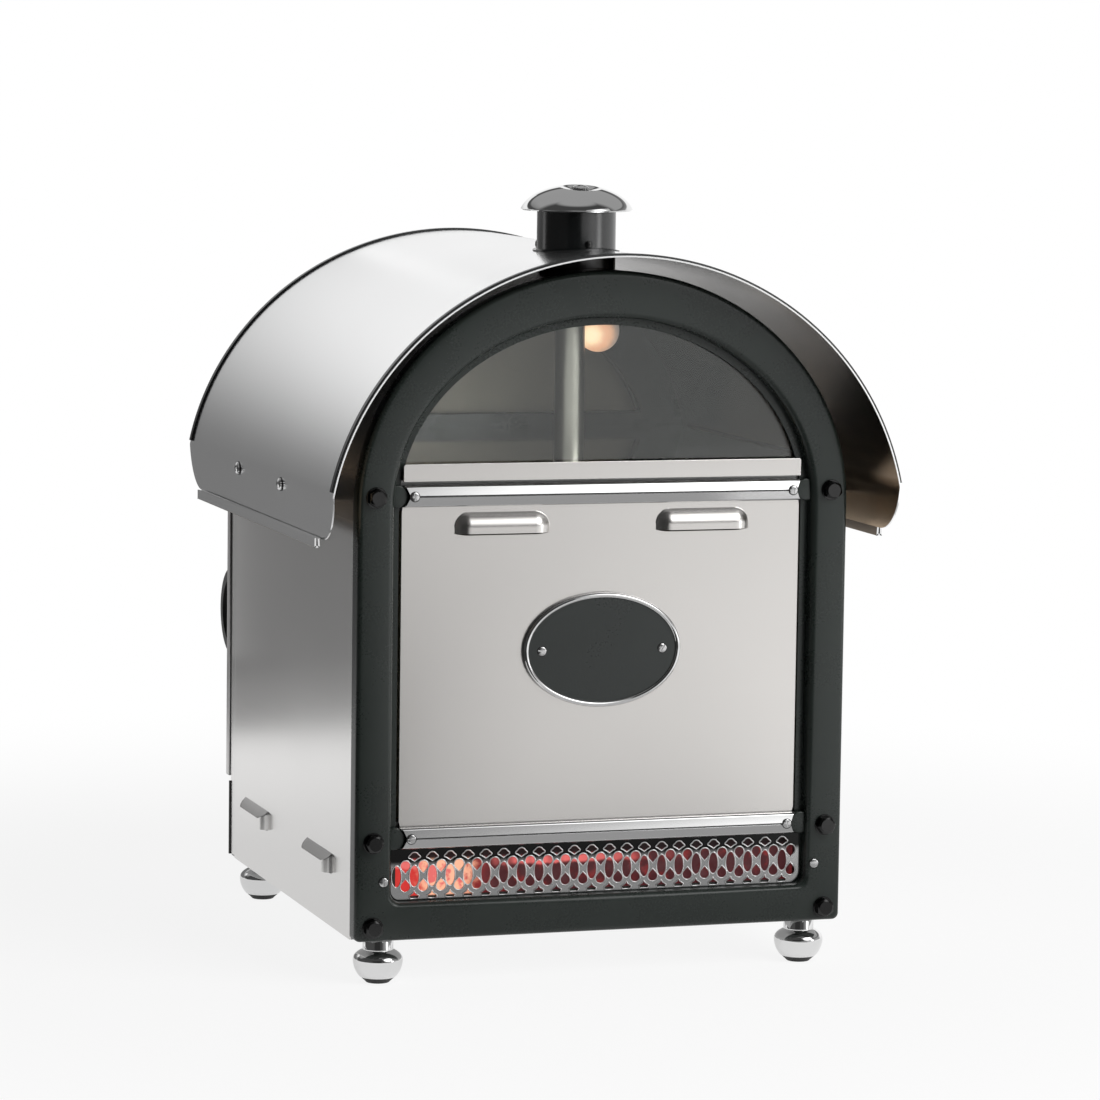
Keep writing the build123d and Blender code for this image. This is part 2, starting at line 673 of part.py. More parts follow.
def grille_spade(x):
    """A small point with hollow sides, below each oval."""
    low, high = (GRILLE_OVAL_Z + offset for offset in GRILLE_SPADE_OFFSETS)
    waist_z = low + GRILLE_SPADE_WAIST[1] * (high - low)
    waist = GRILLE_SPADE_WAIST[0] * GRILLE_SPADE_HALF
    return make_face(
        [
            Line((x - GRILLE_SPADE_HALF, low), (x + GRILLE_SPADE_HALF, low)),
            ThreePointArc((x + GRILLE_SPADE_HALF, low), (x + waist, waist_z), (x, high)),
            ThreePointArc((x, high), (x - waist, waist_z), (x - GRILLE_SPADE_HALF, low)),
        ]
    )


def make_grille():
    """Pierced sheet: tall ovals with drops between them, and clubs and points over and under them."""
    sheet = rect(-GRILLE_HALF, GRILLE_HALF, *GRILLE_ZS)
    sheet = fillet(sheet.vertices().group_by(Axis.Y)[0], GRILLE_CORNER_R)
    holes = []
    for column in range(GRILLE_COLUMNS):
        x = GRILLE_FIRST_X + column * GRILLE_PITCH
        between = x + GRILLE_PITCH / 2
        holes.append(Pos(x, GRILLE_OVAL_Z) * Ellipse(*GRILLE_OVAL_SIZE))
        holes.append(grille_drop(between, 1))
        holes.append(grille_drop(between, -1))
        if column > 0:
            holes.append(grille_club(x))
            holes.append(grille_spade(x))
    for side in (-1, 1):
        sheet = sheet - Pos(side * RAIL_NOTCH_X, LOWER_RAIL_Z) * Circle(RAIL_NOTCH_R)
    return along_y(sheet - holes, LEDGE_FACE_Y - SHEET, LEDGE_FACE_Y)


def make_glow_screen():
    """A red screen standing on the base plate, with its top edge against the lower channel."""
    bottom = BODY_BOTTOM_Z + BASE_THICKNESS
    top = LOWER_RAIL_Z - CHANNEL_SIZE[2] / 2
    rear_y = GLOW_SCREEN_Y + GLOW_SCREEN_THICKNESS
    return block(-GRILLE_HALF, GRILLE_HALF, GLOW_SCREEN_Y, rear_y, bottom, top)


def make_glow_lamps():
    half = GLOW_LAMP_LENGTH / 2
    lamps = []
    for x in (-GLOW_LAMP_X, GLOW_LAMP_X):
        tube = rod_x(GLOW_LAMP_R, x - half, x + half, GLOW_LAMP_Y, GLOW_LAMP_Z)
        lamps.append(fillet(tube.edges().filter_by(GeomType.CIRCLE), GLOW_LAMP_END_R))
    return group(lamps)


def make_glow_lamp_clips():
    """Upright clips under the ends of the glow lamps."""
    half_x, half_y = (size / 2 for size in GLOW_CLIP_SIZE)
    floor_z = BODY_BOTTOM_Z + BASE_THICKNESS
    seat_r = GLOW_LAMP_R + HOLE_CLEARANCE
    clips = []
    for lamp_x in (-GLOW_LAMP_X, GLOW_LAMP_X):
        for x in (lamp_x - GLOW_CLIP_OFFSET, lamp_x + GLOW_CLIP_OFFSET):
            post = block(
                x - half_x, x + half_x, GLOW_LAMP_Y - half_y, GLOW_LAMP_Y + half_y, floor_z, GLOW_LAMP_Z
            )
            seat = rod_x(seat_r, x - half_x - OVERRUN, x + half_x + OVERRUN, GLOW_LAMP_Y, GLOW_LAMP_Z)
            clips.append(post - seat)
    return clips


def make_front_glass():
    face = arch_above(OPENING_HALF - GLASS_INSET, OPENING_RISE - GLASS_INSET, GLASS_BOTTOM_Z)
    start = FRAME_BACK_Y + SEAL_THICKNESS
    return along_y(face, start, start + GLASS_THICKNESS)


def make_glass_seal():
    outer = arch_above(OPENING_HALF - GLASS_INSET, OPENING_RISE - GLASS_INSET, GLASS_BOTTOM_Z)
    inner = arch_above(WINDOW_HALF, WINDOW_RISE, GLASS_BOTTOM_Z - OVERRUN)
    return along_y(outer - inner, FRAME_BACK_Y, FRAME_BACK_Y + SEAL_THICKNESS)


def make_side_panel(side):
    """A flat side sheet with two pressed vents near its foot."""
    outer = side * SIDE_FACE_X
    low_x, high_x = sorted((side * SIDE_INNER_X, outer))
    panel = block(low_x, high_x, FRAME_BACK_Y, REAR_FRAME_FRONT_Y, BODY_BOTTOM_Z, SIDE_TOP_Z)
    for louvre_y in SIDE_LOUVRE_YS:
        plane = Plane((outer, louvre_y, SIDE_LOUVRE_Z), x_dir=(0, side, 0), z_dir=(side, 0, 0))
        panel = add_louvre(panel, plane, SIDE_LOUVRE_SIZE)
    return panel


def make_arch_shell():
    outer = arch_face(BODY_HALF_WIDTH, SHELL_RISE, SIDE_TOP_Z)
    inner = arch_face(BODY_HALF_WIDTH - SHEET, SHELL_RISE - SHEET, SIDE_TOP_Z - OVERRUN)
    shell = along_y(outer - inner, FRAME_BACK_Y, REAR_FRAME_FRONT_Y)
    shell = shell - rod_z(FLUE_R + HOLE_CLEARANCE, *ROOF_HOLE_ZS, 0, FLUE_Y)
    return shell - rod_z(LAMP_WIRE_R, *ROOF_HOLE_ZS, LAMP_X, LAMP_Y)


def make_base_plate():
    top = BODY_BOTTOM_Z + BASE_THICKNESS
    stud_hole_r = FOOT_STUD_R + HOLE_CLEARANCE
    plate = block(-SIDE_INNER_X, SIDE_INNER_X, FRAME_BACK_Y, BODY_REAR_Y, BODY_BOTTOM_Z, top)
    for side in (-1, 1):
        for foot_y in FOOT_YS:
            stud_x = side * FOOT_X
            plate = plate - rod_z(stud_hole_r, BODY_BOTTOM_Z - OVERRUN, top + OVERRUN, stud_x, foot_y)
    return plate


def make_feet():
    """Turned bun feet with a short neck and a stud."""
    low, high = FOOT_BALL_ZS
    middle = (low + high) / 2
    stud_top = BODY_BOTTOM_Z + BASE_THICKNESS
    profile = make_face(
        [
            Line((0, low), (FOOT_SEAT_R, low)),
            ThreePointArc((FOOT_SEAT_R, low), (FOOT_BALL_R, middle), (FOOT_NECK_R, high)),
            Line((FOOT_NECK_R, high), (FOOT_NECK_R, BODY_BOTTOM_Z)),
            Line((FOOT_NECK_R, BODY_BOTTOM_Z), (FOOT_STUD_R, BODY_BOTTOM_Z)),
            Line((FOOT_STUD_R, BODY_BOTTOM_Z), (FOOT_STUD_R, stud_top)),
            Line((FOOT_STUD_R, stud_top), (0, stud_top)),
            Line((0, stud_top), (0, low)),
        ]
    )
    foot = revolve(Plane.XZ * profile, Axis.Z)
    return group([Pos(side * FOOT_X, foot_y, 0) * foot for side in (-1, 1) for foot_y in FOOT_YS])


def make_foot_pads():
    """Rubber pads that narrow towards the counter."""
    height = FOOT_BALL_ZS[0]
    pad = Pos(0, 0, height / 2) * Cone(FOOT_PAD_R, FOOT_SEAT_R, height)
    return group([Pos(side * FOOT_X, foot_y, 0) * pad for side in (-1, 1) for foot_y in FOOT_YS])


def roof_face(inset):
    """Area under the roof sheet: an ellipse above the bend, then nearly upright eaves."""
    bend_half = ellipse_half_width(ROOF_BEND_Z, ROOF_HALF_WIDTH, ROOF_RISE, ROOF_CENTRE_Z) - inset
    eave_half = EAVE_HALF_WIDTH - inset
    crown = Pos(0, ROOF_CENTRE_Z) * Ellipse(ROOF_HALF_WIDTH - inset, ROOF_RISE - inset)
    crown = crown & rect(-BEYOND, BEYOND, ROOF_BEND_Z, 2 * BEYOND)
    eaves = make_face(
        Polyline(
            (-bend_half, ROOF_BEND_Z),
            (-eave_half, GUTTER_BOTTOM_Z),
            (eave_half, GUTTER_BOTTOM_Z),
            (bend_half, ROOF_BEND_Z),
            close=True,
        )
    )
    return crown + eaves


def make_roof_canopy():
    sheet = along_y(roof_face(0) - roof_face(SHEET), ROOF_FRONT_Y, ROOF_REAR_Y)
    middle_y = (ROOF_FRONT_Y + ROOF_REAR_Y) / 2
    length = ROOF_REAR_Y - ROOF_FRONT_Y
    side_view = Pos(middle_y, EAVE_Z + BEYOND / 2) * RectangleRounded(length, BEYOND, EAVE_CORNER_R)
    side_view = side_view + rect(*GUTTER_YS, GUTTER_BOTTOM_Z, EAVE_Z + GUTTER_WIDTH)
    sheet = sheet & along_x(side_view, -BEYOND, BEYOND)
    screw_hole_r = ROOF_SCREW_R + ROOF_SCREW_CLEARANCE
    for side in (-1, 1):
        inner = EAVE_HALF_WIDTH - SHEET
        outer = EAVE_HALF_WIDTH + GUTTER_WIDTH - SHEET
        web = rect(inner, outer, GUTTER_BOTTOM_Z, GUTTER_BOTTOM_Z + SHEET)
        leg = rect(outer - SHEET, outer, GUTTER_BOTTOM_Z, EAVE_Z)
        gutter = along_y(web + leg, *GUTTER_YS)
        sheet = sheet + (gutter if side > 0 else mirror(gutter, Plane.YZ))
        for screw_y in ROOF_SCREW_YS:
            low_x, high_x = sorted(side * x for x in ROOF_SCREW_HOLE_XS)
            sheet = sheet - rod_x(screw_hole_r, low_x, high_x, screw_y, ROOF_SCREW_Z)
    return sheet - rod_z(CHIMNEY_R + CHIMNEY_CLEARANCE, *ROOF_HOLE_ZS, 0, CHIMNEY_Y)


def make_roof_trim(y0, y1):
    """A band of edging over one end of the canopy, behind the sheet's bright edge."""

    def ring(outset):
        return Pos(0, ROOF_CENTRE_Z) * Ellipse(ROOF_HALF_WIDTH + outset, ROOF_RISE + outset)

    above = rect(-BEYOND, BEYOND, TRIM_END_Z, 2 * BEYOND)
    return along_y((ring(TRIM_PROUD) - ring(0)) & above, y0, y1)


def make_roof_brackets():
    """Folded brackets from the cabinet's sides out to the eaves."""
    foot_z, head_z = BRACKET_ZS
    web_low, web_high = BRACKET_WEB_ZS
    screw_hole_r = ROOF_SCREW_R + ROOF_SCREW_CLEARANCE
    section = rect(SIDE_FACE_X, SIDE_FACE_X + SHEET, foot_z, web_high)
    section = section + rect(SIDE_FACE_X, BRACKET_OUTER_X, web_low, web_high)
    section = section + rect(BRACKET_OUTER_X - SHEET, BRACKET_OUTER_X, web_low, head_z)
    bracket = along_y(section, *BRACKET_YS)
    for screw_y in ROOF_SCREW_YS:
        bracket = bracket - rod_x(screw_hole_r, *ROOF_SCREW_HOLE_XS, screw_y, ROOF_SCREW_Z)
    return group([bracket, mirror(bracket, Plane.YZ)])


def make_roof_screws():
    """Cross-slotted screws through the eaves into the brackets."""
    seat = ellipse_half_width(ROOF_SCREW_Z, ROOF_HALF_WIDTH, ROOF_RISE, ROOF_CENTRE_Z)
    z = ROOF_SCREW_Z
    arm = ROOF_SCREW_CROSS_SHARE * ROOF_SCREW_HEAD_R
    groove = SCREW_SLOT / 2
    head_low, head_high = (seat + offset for offset in ROOF_SCREW_HEAD_SPAN)
    cross_xs = [seat + offset for offset in ROOF_SCREW_CROSS_SPAN]
    screws = []
    for y in ROOF_SCREW_YS:
        dome = rod_x(ROOF_SCREW_HEAD_R, head_low, head_high, y, z)
        dome = fillet(dome.faces().sort_by(Axis.X)[-1].edges(), ROOF_SCREW_DOME_R)
        cross = block(*cross_xs, y - groove, y + groove, z - arm, z + arm)
        cross = cross + block(*cross_xs, y - arm, y + arm, z - groove, z + groove)
        under_head = along_y(roof_face(0), y - 2 * ROOF_SCREW_HEAD_R, y + 2 * ROOF_SCREW_HEAD_R)
        shank = rod_x(ROOF_SCREW_R, seat - ROOF_SCREW_LENGTH, seat - groove, y, z)
        screw = (dome - under_head - cross) + shank
        screws += [screw, mirror(screw, Plane.YZ)]
    return group(screws)


def make_chimney_pipe():
    bore_r = CHIMNEY_R - CHIMNEY_WALL
    tube = rod_z(CHIMNEY_R, CHIMNEY_FOOT_Z, CHIMNEY_TOP_Z, 0, CHIMNEY_Y)
    tube = tube - rod_z(bore_r, CHIMNEY_FOOT_Z - OVERRUN, CHIMNEY_TOP_Z + OVERRUN, 0, CHIMNEY_Y)
    saddle = arch_face(BODY_HALF_WIDTH, SHELL_RISE, BODY_BOTTOM_Z)
    saddle = along_y(saddle, CHIMNEY_Y - COLLAR_R, CHIMNEY_Y + COLLAR_R)
    return tube - saddle


def make_chimney_collar():
    """A ring on the roof round the pipe, curved with the roof sheet."""
    ring = rod_z(COLLAR_R, *ROOF_HOLE_ZS, 0, CHIMNEY_Y)
    ring = ring - rod_z(CHIMNEY_R + CLOSE_FIT, *ROOF_HOLE_ZS, 0, CHIMNEY_Y)
    shell = roof_face(-SHEET) - roof_face(0)
    shell = along_y(shell, CHIMNEY_Y - 2 * COLLAR_R, CHIMNEY_Y + 2 * COLLAR_R)
    return ring & shell


def make_chimney_cap():
    """A spun dome with a rolled rim and a dished centre."""
    dish_z = CAP_TOP_Z - CAP_DIMPLE_DEPTH
    hole_r = CAP_STUD_R + 2 * HOLE_CLEARANCE
    rim = (CAP_R, CAP_RIM_Z)
    rim_top = (CAP_R, CAP_RIM_Z + CAP_RIM_HEIGHT)
    shoulder = (CAP_SHOULDER_R, CAP_TOP_Z - CAP_SHOULDER_DROP)
    crown = (CAP_CROWN_R, CAP_TOP_Z)
    edge = (CAP_DIMPLE_R, CAP_TOP_Z - CAP_EDGE_DROP)
    lip = (CAP_LIP[0], dish_z + CAP_LIP[1])
    dish = (CAP_DISH_R, dish_z)
    dish_under = (CAP_DIMPLE_R, dish_z - SHEET)
    crown_under = (CAP_CROWN_R + SHEET, CAP_TOP_Z - CAP_SHEET)
    shoulder_under = (CAP_SHOULDER_R - SHEET, CAP_TOP_Z - CAP_SHOULDER_DROP - CAP_SHEET)
    mouth = (CAP_R - SHEET, CAP_RIM_Z)
    outline = [
        Line(rim, rim_top),
        ThreePointArc(rim_top, shoulder, crown),
        ThreePointArc(crown, edge, lip),
        Line(lip, dish),
        Line(dish, (hole_r, dish_z)),
        Line((hole_r, dish_z), (hole_r, dish_z - SHEET)),
        Line((hole_r, dish_z - SHEET), dish_under),
        Line(dish_under, crown_under),
        ThreePointArc(crown_under, shoulder_under, mouth),
        Line(mouth, rim),
    ]
    return Pos(0, CHIMNEY_Y, 0) * revolve(Plane.XZ * make_face(outline), Axis.Z)


def make_cap_bracket():
    """A strap across the pipe with a post and a screw head that holds the cap."""
    reach = CHIMNEY_R - CHIMNEY_WALL - CLOSE_FIT
    dish_z = CAP_TOP_Z - CAP_DIMPLE_DEPTH
    low_y = CHIMNEY_Y - CAP_STRAP_HALF
    high_y = CHIMNEY_Y + CAP_STRAP_HALF
    strap = rod_z(reach, *CAP_STRAP_ZS, 0, CHIMNEY_Y) & block(-reach, reach, low_y, high_y, *CAP_STRAP_ZS)
    post = rod_z(2 * CAP_STUD_R, CAP_STRAP_ZS[1], dish_z - SHEET, 0, CHIMNEY_Y)
    head_top = dish_z + CAP_SCREW_HEAD_HEIGHT
    stud = rod_z(CAP_STUD_R, CAP_STRAP_ZS[1], head_top - CAP_SCREW_SLOT_DEPTH, 0, CHIMNEY_Y)
    head = rod_z(CAP_SCREW_HEAD_R, dish_z, head_top, 0, CHIMNEY_Y)
    head = fillet(head.faces().sort_by(Axis.Z)[-1].edges(), CAP_SCREW_EDGE_R)
    groove = SCREW_SLOT / 2
    slot_z = head_top - CAP_SCREW_SLOT_DEPTH
    slot = block(
        -CAP_DIMPLE_R, CAP_DIMPLE_R, CHIMNEY_Y - groove, CHIMNEY_Y + groove, slot_z, head_top + OVERRUN
    )
    return joined([strap, post, stud, head - slot])


def make_flue_tube():
    foot_z = LINER_ZS[1]
    tube = rod_z(FLUE_R, foot_z, FLUE_TOP_Z, 0, FLUE_Y)
    return tube - rod_z(FLUE_R - FLUE_WALL, foot_z - OVERRUN, FLUE_TOP_Z + OVERRUN, 0, FLUE_Y)


def make_display_floor():
    half = SIDE_INNER_X - DISPLAY_FLOOR_INSET
    top = DISPLAY_FLOOR_Z + SHEET
    floor = block(-half, half, DISPLAY_FLOOR_FRONT_Y, REAR_FRAME_FRONT_Y, DISPLAY_FLOOR_Z, top)
    flue_hole_r = FLUE_R + HOLE_CLEARANCE
    return floor - rod_z(flue_hole_r, DISPLAY_FLOOR_Z - OVERRUN, top + OVERRUN, 0, FLUE_Y)


def make_oven_liner():
    outer = block(-LINER_HALF, LINER_HALF, *LINER_YS, *LINER_ZS)
    inner = block(
        -LINER_HALF + LINER_WALL,
        LINER_HALF - LINER_WALL,
        LINER_YS[0] + LINER_WALL,
        LINER_YS[1] + OVERRUN,
        LINER_ZS[0] + LINER_WALL,
        LINER_ZS[1] - LINER_WALL,
    )
    ceiling = LINER_ZS[1]
    flue_hole = rod_z(FLUE_R - FLUE_WALL, ceiling - 2 * LINER_WALL, ceiling + OVERRUN, 0, FLUE_Y)
    return outer - inner - flue_hole


def make_oven_insulation():
    low, high = LINER_ZS
    front, rear = LINER_YS
    gap = INSULATION_GAP
    inner = LINER_HALF + gap
    outer = SIDE_INNER_X - INSULATION_SIDE_GAP
    top_half = SIDE_INNER_X - INSULATION_TOP_INSET
    floor_z = low - INSULATION_SLAB
    ceiling_z = DISPLAY_FLOOR_Z - INSULATION_SIDE_GAP
    flue_hole = rod_z(FLUE_R + HOLE_CLEARANCE, high, DISPLAY_FLOOR_Z, 0, FLUE_Y)
    slabs = [
        block(-outer, -inner, front, rear, low, high),
        block(inner, outer, front, rear, low, high),
        block(-top_half, top_half, front, rear, high + gap, ceiling_z) - flue_hole,
        block(-outer, outer, front, rear, floor_z, low - gap),
        block(-outer, outer, front - INSULATION_SLAB, front - gap, floor_z, high),
    ]
    return group(slabs)


def make_heating_elements():
    """Hairpin elements along the floor and the roof of the oven, fixed in its front wall."""
    wall_y = LINER_YS[0] + LINER_WALL
    half = ELEMENT_HALF_WIDTH
    elements = []
    for z in ELEMENT_ZS:
        corners = [(-half, ELEMENT_REAR_Y, z), (half, ELEMENT_REAR_Y, z)]
        path = FilletPolyline((-half, wall_y, z), *corners, (half, wall_y, z), radius=ELEMENT_BEND_R)
        section = Plane((-half, wall_y, z), z_dir=(0, 1, 0)) * Circle(ELEMENT_R)
        elements.append(sweep(section, path=path))
    return group(elements)


def make_shelf_runners():
    runners = []
    for shelf_z in SHELF_ZS:
        top = shelf_z - SHELF_RIM_R
        for side in (-1, 1):
            wall = side * (LINER_HALF - LINER_WALL)
            upright_xs = sorted((wall, wall - side * RUNNER_SHEET))
            ledge_xs = sorted((wall, wall - side * RUNNER_LEDGE))
            upright = block(*upright_xs, *RUNNER_YS, top - RUNNER_HEIGHT, top)
            ledge = block(*ledge_xs, *RUNNER_YS, top - RUNNER_SHEET, top)
            runners.append(upright + ledge)
    return group(runners)


def make_wire_shelf(shelf_z):
    low, high = SHELF_YS
    wires = [rod_y(SHELF_RIM_R, low, high, side * SHELF_HALF, shelf_z) for side in (-1, 1)]
    for y in (low, high):
        wires.append(rod_x(SHELF_RIM_R, -SHELF_HALF - SHELF_RIM_R, SHELF_HALF + SHELF_RIM_R, y, shelf_z))
    for index in range(SHELF_WIRES):
        x = (index - (SHELF_WIRES - 1) / 2) * 2 * SHELF_HALF / (SHELF_WIRES + 1)
        wires.append(rod_y(SHELF_WIRE_R, low, high, x, shelf_z + SHELF_WIRE_LIFT))
    return joined(wires)


def make_display_lamp():
    """A small bulb hanging cap upwards."""
    shoulder_r = LAMP_SHOULDER[0] * LAMP_R
    shoulder_z = LAMP_Z + LAMP_SHOULDER[1] * LAMP_R
    lower_z = LAMP_Z - LAMP_SHOULDER[1] * LAMP_R
    neck_z = LAMP_Z + LAMP_NECK_RISE
    cap_z = LAMP_Z + LAMP_CAP_RISE
    profile = make_face(
        [
            Line((0, LAMP_Z - LAMP_R), (0, cap_z)),
            Line((0, cap_z), (LAMP_NECK_R, cap_z)),
            Line((LAMP_NECK_R, cap_z), (LAMP_NECK_R, neck_z)),
            Line((LAMP_NECK_R, neck_z), (shoulder_r, shoulder_z)),
            ThreePointArc((shoulder_r, shoulder_z), (shoulder_r, lower_z), (0, LAMP_Z - LAMP_R)),
        ]
    )
    return Pos(LAMP_X, LAMP_Y, 0) * revolve(Plane.XZ * profile, Axis.Z)


def make_lamp_holder():
    """A ceramic holder hanging from the top of the arched shell."""
    base = LAMP_Z + LAMP_HOLDER_RISE
    inside = arch_face(BODY_HALF_WIDTH - SHEET, SHELL_RISE - SHEET, BODY_BOTTOM_Z)
    inside = along_y(inside, LAMP_Y - 2 * LAMP_HOLDER_R, LAMP_Y + 2 * LAMP_HOLDER_R)
    body = rod_z(LAMP_HOLDER_R, base, ROOF_HOLE_ZS[1], LAMP_X, LAMP_Y) & inside
    socket_r = LAMP_NECK_R + HOLE_CLEARANCE
    return body - rod_z(socket_r, base - OVERRUN, base + LAMP_SOCKET_DEPTH, LAMP_X, LAMP_Y)


def make_rear_frame():
    bottom = BODY_BOTTOM_Z + BASE_THICKNESS
    frame = along_y(arch_face(BODY_HALF_WIDTH, FRAME_RISE, bottom), REAR_FRAME_FRONT_Y, BODY_REAR_Y)
    display = arch_above(WINDOW_HALF, WINDOW_RISE, DISPLAY_MOUTH_BOTTOM_Z)
    oven = rect(-OVEN_MOUTH_HALF, OVEN_MOUTH_HALF, *OVEN_MOUTH_ZS)
    controls = rect(-CONTROL_MOUTH_HALF, CONTROL_MOUTH_HALF, *CONTROL_MOUTH_ZS)
    for mouth in (display, oven, controls):
        frame = frame - along_y(mouth, REAR_FRAME_FRONT_Y - OVERRUN, BODY_REAR_Y + OVERRUN)
    return frame


def make_control_panel():
    face = rect(-DOOR_HALF_WIDTH, DOOR_HALF_WIDTH, *CONTROL_ZS)
    panel = along_y(face, BODY_REAR_Y, CONTROL_FACE_Y)
    panel = panel - rod_y(KNOB_HOLE_R, *PANEL_CUT_YS, KNOB_X, CONTROL_AXIS_Z)
    panel = panel - rod_y(GLAND_THREAD_R + HOLE_CLEARANCE, *PANEL_CUT_YS, GLAND_X, CONTROL_AXIS_Z)
    half_x, half_z = (half + HOLE_CLEARANCE for half in SWITCH_BODY_HALVES)
    z = CONTROL_AXIS_Z
    for x in ROCKER_XS:
        panel = panel - block(x - half_x, x + half_x, *PANEL_CUT_YS, z - half_z, z + half_z)
    return panel


def make_thermostat_body():
    """The thermostat behind the control panel, with a bush for the knob's shaft."""
    half_x, half_z = THERMOSTAT_HALVES
    z = CONTROL_AXIS_Z
    body = block(KNOB_X - half_x, KNOB_X + half_x, *THERMOSTAT_YS, z - half_z, z + half_z)
    bush_end_y = CONTROL_FACE_Y + THERMOSTAT_BUSH_PROUD
    bush = rod_y(THERMOSTAT_BUSH_OUTER_R, REAR_FRAME_FRONT_Y, bush_end_y, KNOB_X, z)
    return body + bush - rod_y(KNOB_BUSH_R, THERMOSTAT_BORE_END_Y, bush_end_y + OVERRUN, KNOB_X, z)


def make_thermostat_knob():
    """A skirted control knob with a grip bar and a pointer line, on its own shaft."""
    face_y = CONTROL_FACE_Y + KNOB_GAP
    grip_y = face_y + KNOB_DEPTH
    hub_y0, hub_y1 = (face_y + offset for offset in KNOB_HUB_SPAN)
    grip_half = KNOB_GRIP_SHARE * KNOB_R
    z = CONTROL_AXIS_Z
    skirt = rod_y(KNOB_R, face_y, face_y + KNOB_SKIRT, KNOB_X, z)
    skirt = fillet(skirt.faces().sort_by(Axis.Y)[-1].edges(), KNOB_SKIRT_EDGE_R)
    hub = rod_y(KNOB_HUB_SHARE * KNOB_R, hub_y0, hub_y1, KNOB_X, z)
    grip = block(
        KNOB_X - KNOB_GRIP_HALF, KNOB_X + KNOB_GRIP_HALF, hub_y0, grip_y, z - grip_half, z + grip_half
    )
    grip = fillet(grip.faces().sort_by(Axis.Y)[-1].edges(), KNOB_GRIP_EDGE_R)
    mark = block(
        KNOB_X - KNOB_MARK_HALF,
        KNOB_X + KNOB_MARK_HALF,
        grip_y - KNOB_MARK_DEPTH,
        grip_y + OVERRUN,
        z + KNOB_MARK_START,
        z + KNOB_HUB_SHARE * KNOB_R,
    )
    shaft = rod_y(KNOB_SHAFT_R, KNOB_SHAFT_END_Y, face_y + KNOB_GAP, KNOB_X, z)
    return joined([skirt, hub, grip]) - mark + shaft


def make_switch_housings():
    """Snap-in rocker switch bodies with a bezel and two pivot holes."""
    bezel_x, bezel_z = SWITCH_BEZEL_HALVES
    body_x, body_z = SWITCH_BODY_HALVES
    cavity_x = ROCKER_SIZE[0] / 2 + ROCKER_GAPS[0]
    cavity_z = ROCKER_SIZE[1] / 2 + ROCKER_GAPS[1]
    bezel_y = CONTROL_FACE_Y + SWITCH_BEZEL_PROUD
    pivot_y = CONTROL_FACE_Y - ROCKER_PIVOT_DEPTH
    pivot_r = ROCKER_PIVOT_R + ROCKER_PIVOT_CLEARANCE
    z = CONTROL_AXIS_Z
    housings = []
    for x in ROCKER_XS:
        bezel = block(x - bezel_x, x + bezel_x, CONTROL_FACE_Y, bezel_y, z - bezel_z, z + bezel_z)
        bezel = fillet(bezel.edges().filter_by(Axis.Y), SWITCH_BEZEL_CORNER_R)
        body = block(x - body_x, x + body_x, SWITCH_BODY_FRONT_Y, bezel_y, z - body_z, z + body_z)
        cavity = block(
            x - cavity_x, x + cavity_x, SWITCH_CAVITY_Y, bezel_y + OVERRUN, z - cavity_z, z + cavity_z
        )
        pivot = rod_x(pivot_r, x - ROCKER_SOCKET_HALF, x + ROCKER_SOCKET_HALF, pivot_y, z)
        housings.append(bezel + body - cavity - pivot)
    return group(housings)


def make_rocker(x):
    """A two-way rocker on its pivot pin, resting on its lower side."""
    width, height = ROCKER_SIZE
    half = height / 2
    section = make_face(
        Polyline(
            (-ROCKER_ROOT, -ROCKER_ROOT),
            (-ROCKER_LIP, -half),
            (ROCKER_CROWN, -half),
            (ROCKER_WAIST, 0),
            (ROCKER_CROWN, half),
            (-ROCKER_LIP, half),
            (-ROCKER_ROOT, ROCKER_ROOT),
            close=True,
        )
    )
    pin = rod_x(ROCKER_PIVOT_R, -ROCKER_PIVOT_HALF, ROCKER_PIVOT_HALF, 0, 0)
    rocker = along_x(section, -width / 2, width / 2) + pin
    pivot_y = CONTROL_FACE_Y - ROCKER_PIVOT_DEPTH
    return Pos(x, pivot_y, CONTROL_AXIS_Z) * Rot(ROCKER_TILT, 0, 0) * rocker


def make_cable_gland():
    """A screwed cable gland: thread, locknut behind the panel, hexagon, cap and nose."""
    low, high = GLAND_YS
    z = CONTROL_AXIS_Z
    hex_y = CONTROL_FACE_Y + GLAND_HEX_DEPTH
    hexagon = Pos(GLAND_X, z) * RegularPolygon(GLAND_NUT_R, 6, major_radius=False)
    rings = [
        rod_y(GLAND_THREAD_R, low, GLAND_THREAD_END_Y, GLAND_X, z),
        rod_y(GLAND_NUT_R, BODY_REAR_Y - GLAND_NUT_DEPTH, BODY_REAR_Y, GLAND_X, z),
        along_y(hexagon, CONTROL_FACE_Y, hex_y),
        rod_y(GLAND_CAP_R, hex_y - OVERRUN, GLAND_CAP_END_Y, GLAND_X, z),
        rod_y(GLAND_NOSE_R, GLAND_CAP_END_Y - OVERRUN, high, GLAND_X, z),
    ]
    return joined(rings) - rod_y(GLAND_BORE_R, low - OVERRUN, high + OVERRUN, GLAND_X, z)


def make_catch_magnets():
    """Catch magnets on the rear frame, behind the oven handle and above the display handle."""
    front = BODY_REAR_Y
    rear = DOOR_FRONT_Y - MAGNET_GAP
    low = OVEN_HANDLE_Z - OVEN_MAGNET_HALF
    high = OVEN_HANDLE_Z + OVEN_MAGNET_HALF
    return group(
        [
            block(*OVEN_MAGNET_XS, front, rear, low, high),
            block(-DISPLAY_MAGNET_HALF, DISPLAY_MAGNET_HALF, front, rear, *DISPLAY_MAGNET_ZS),
        ]
    )


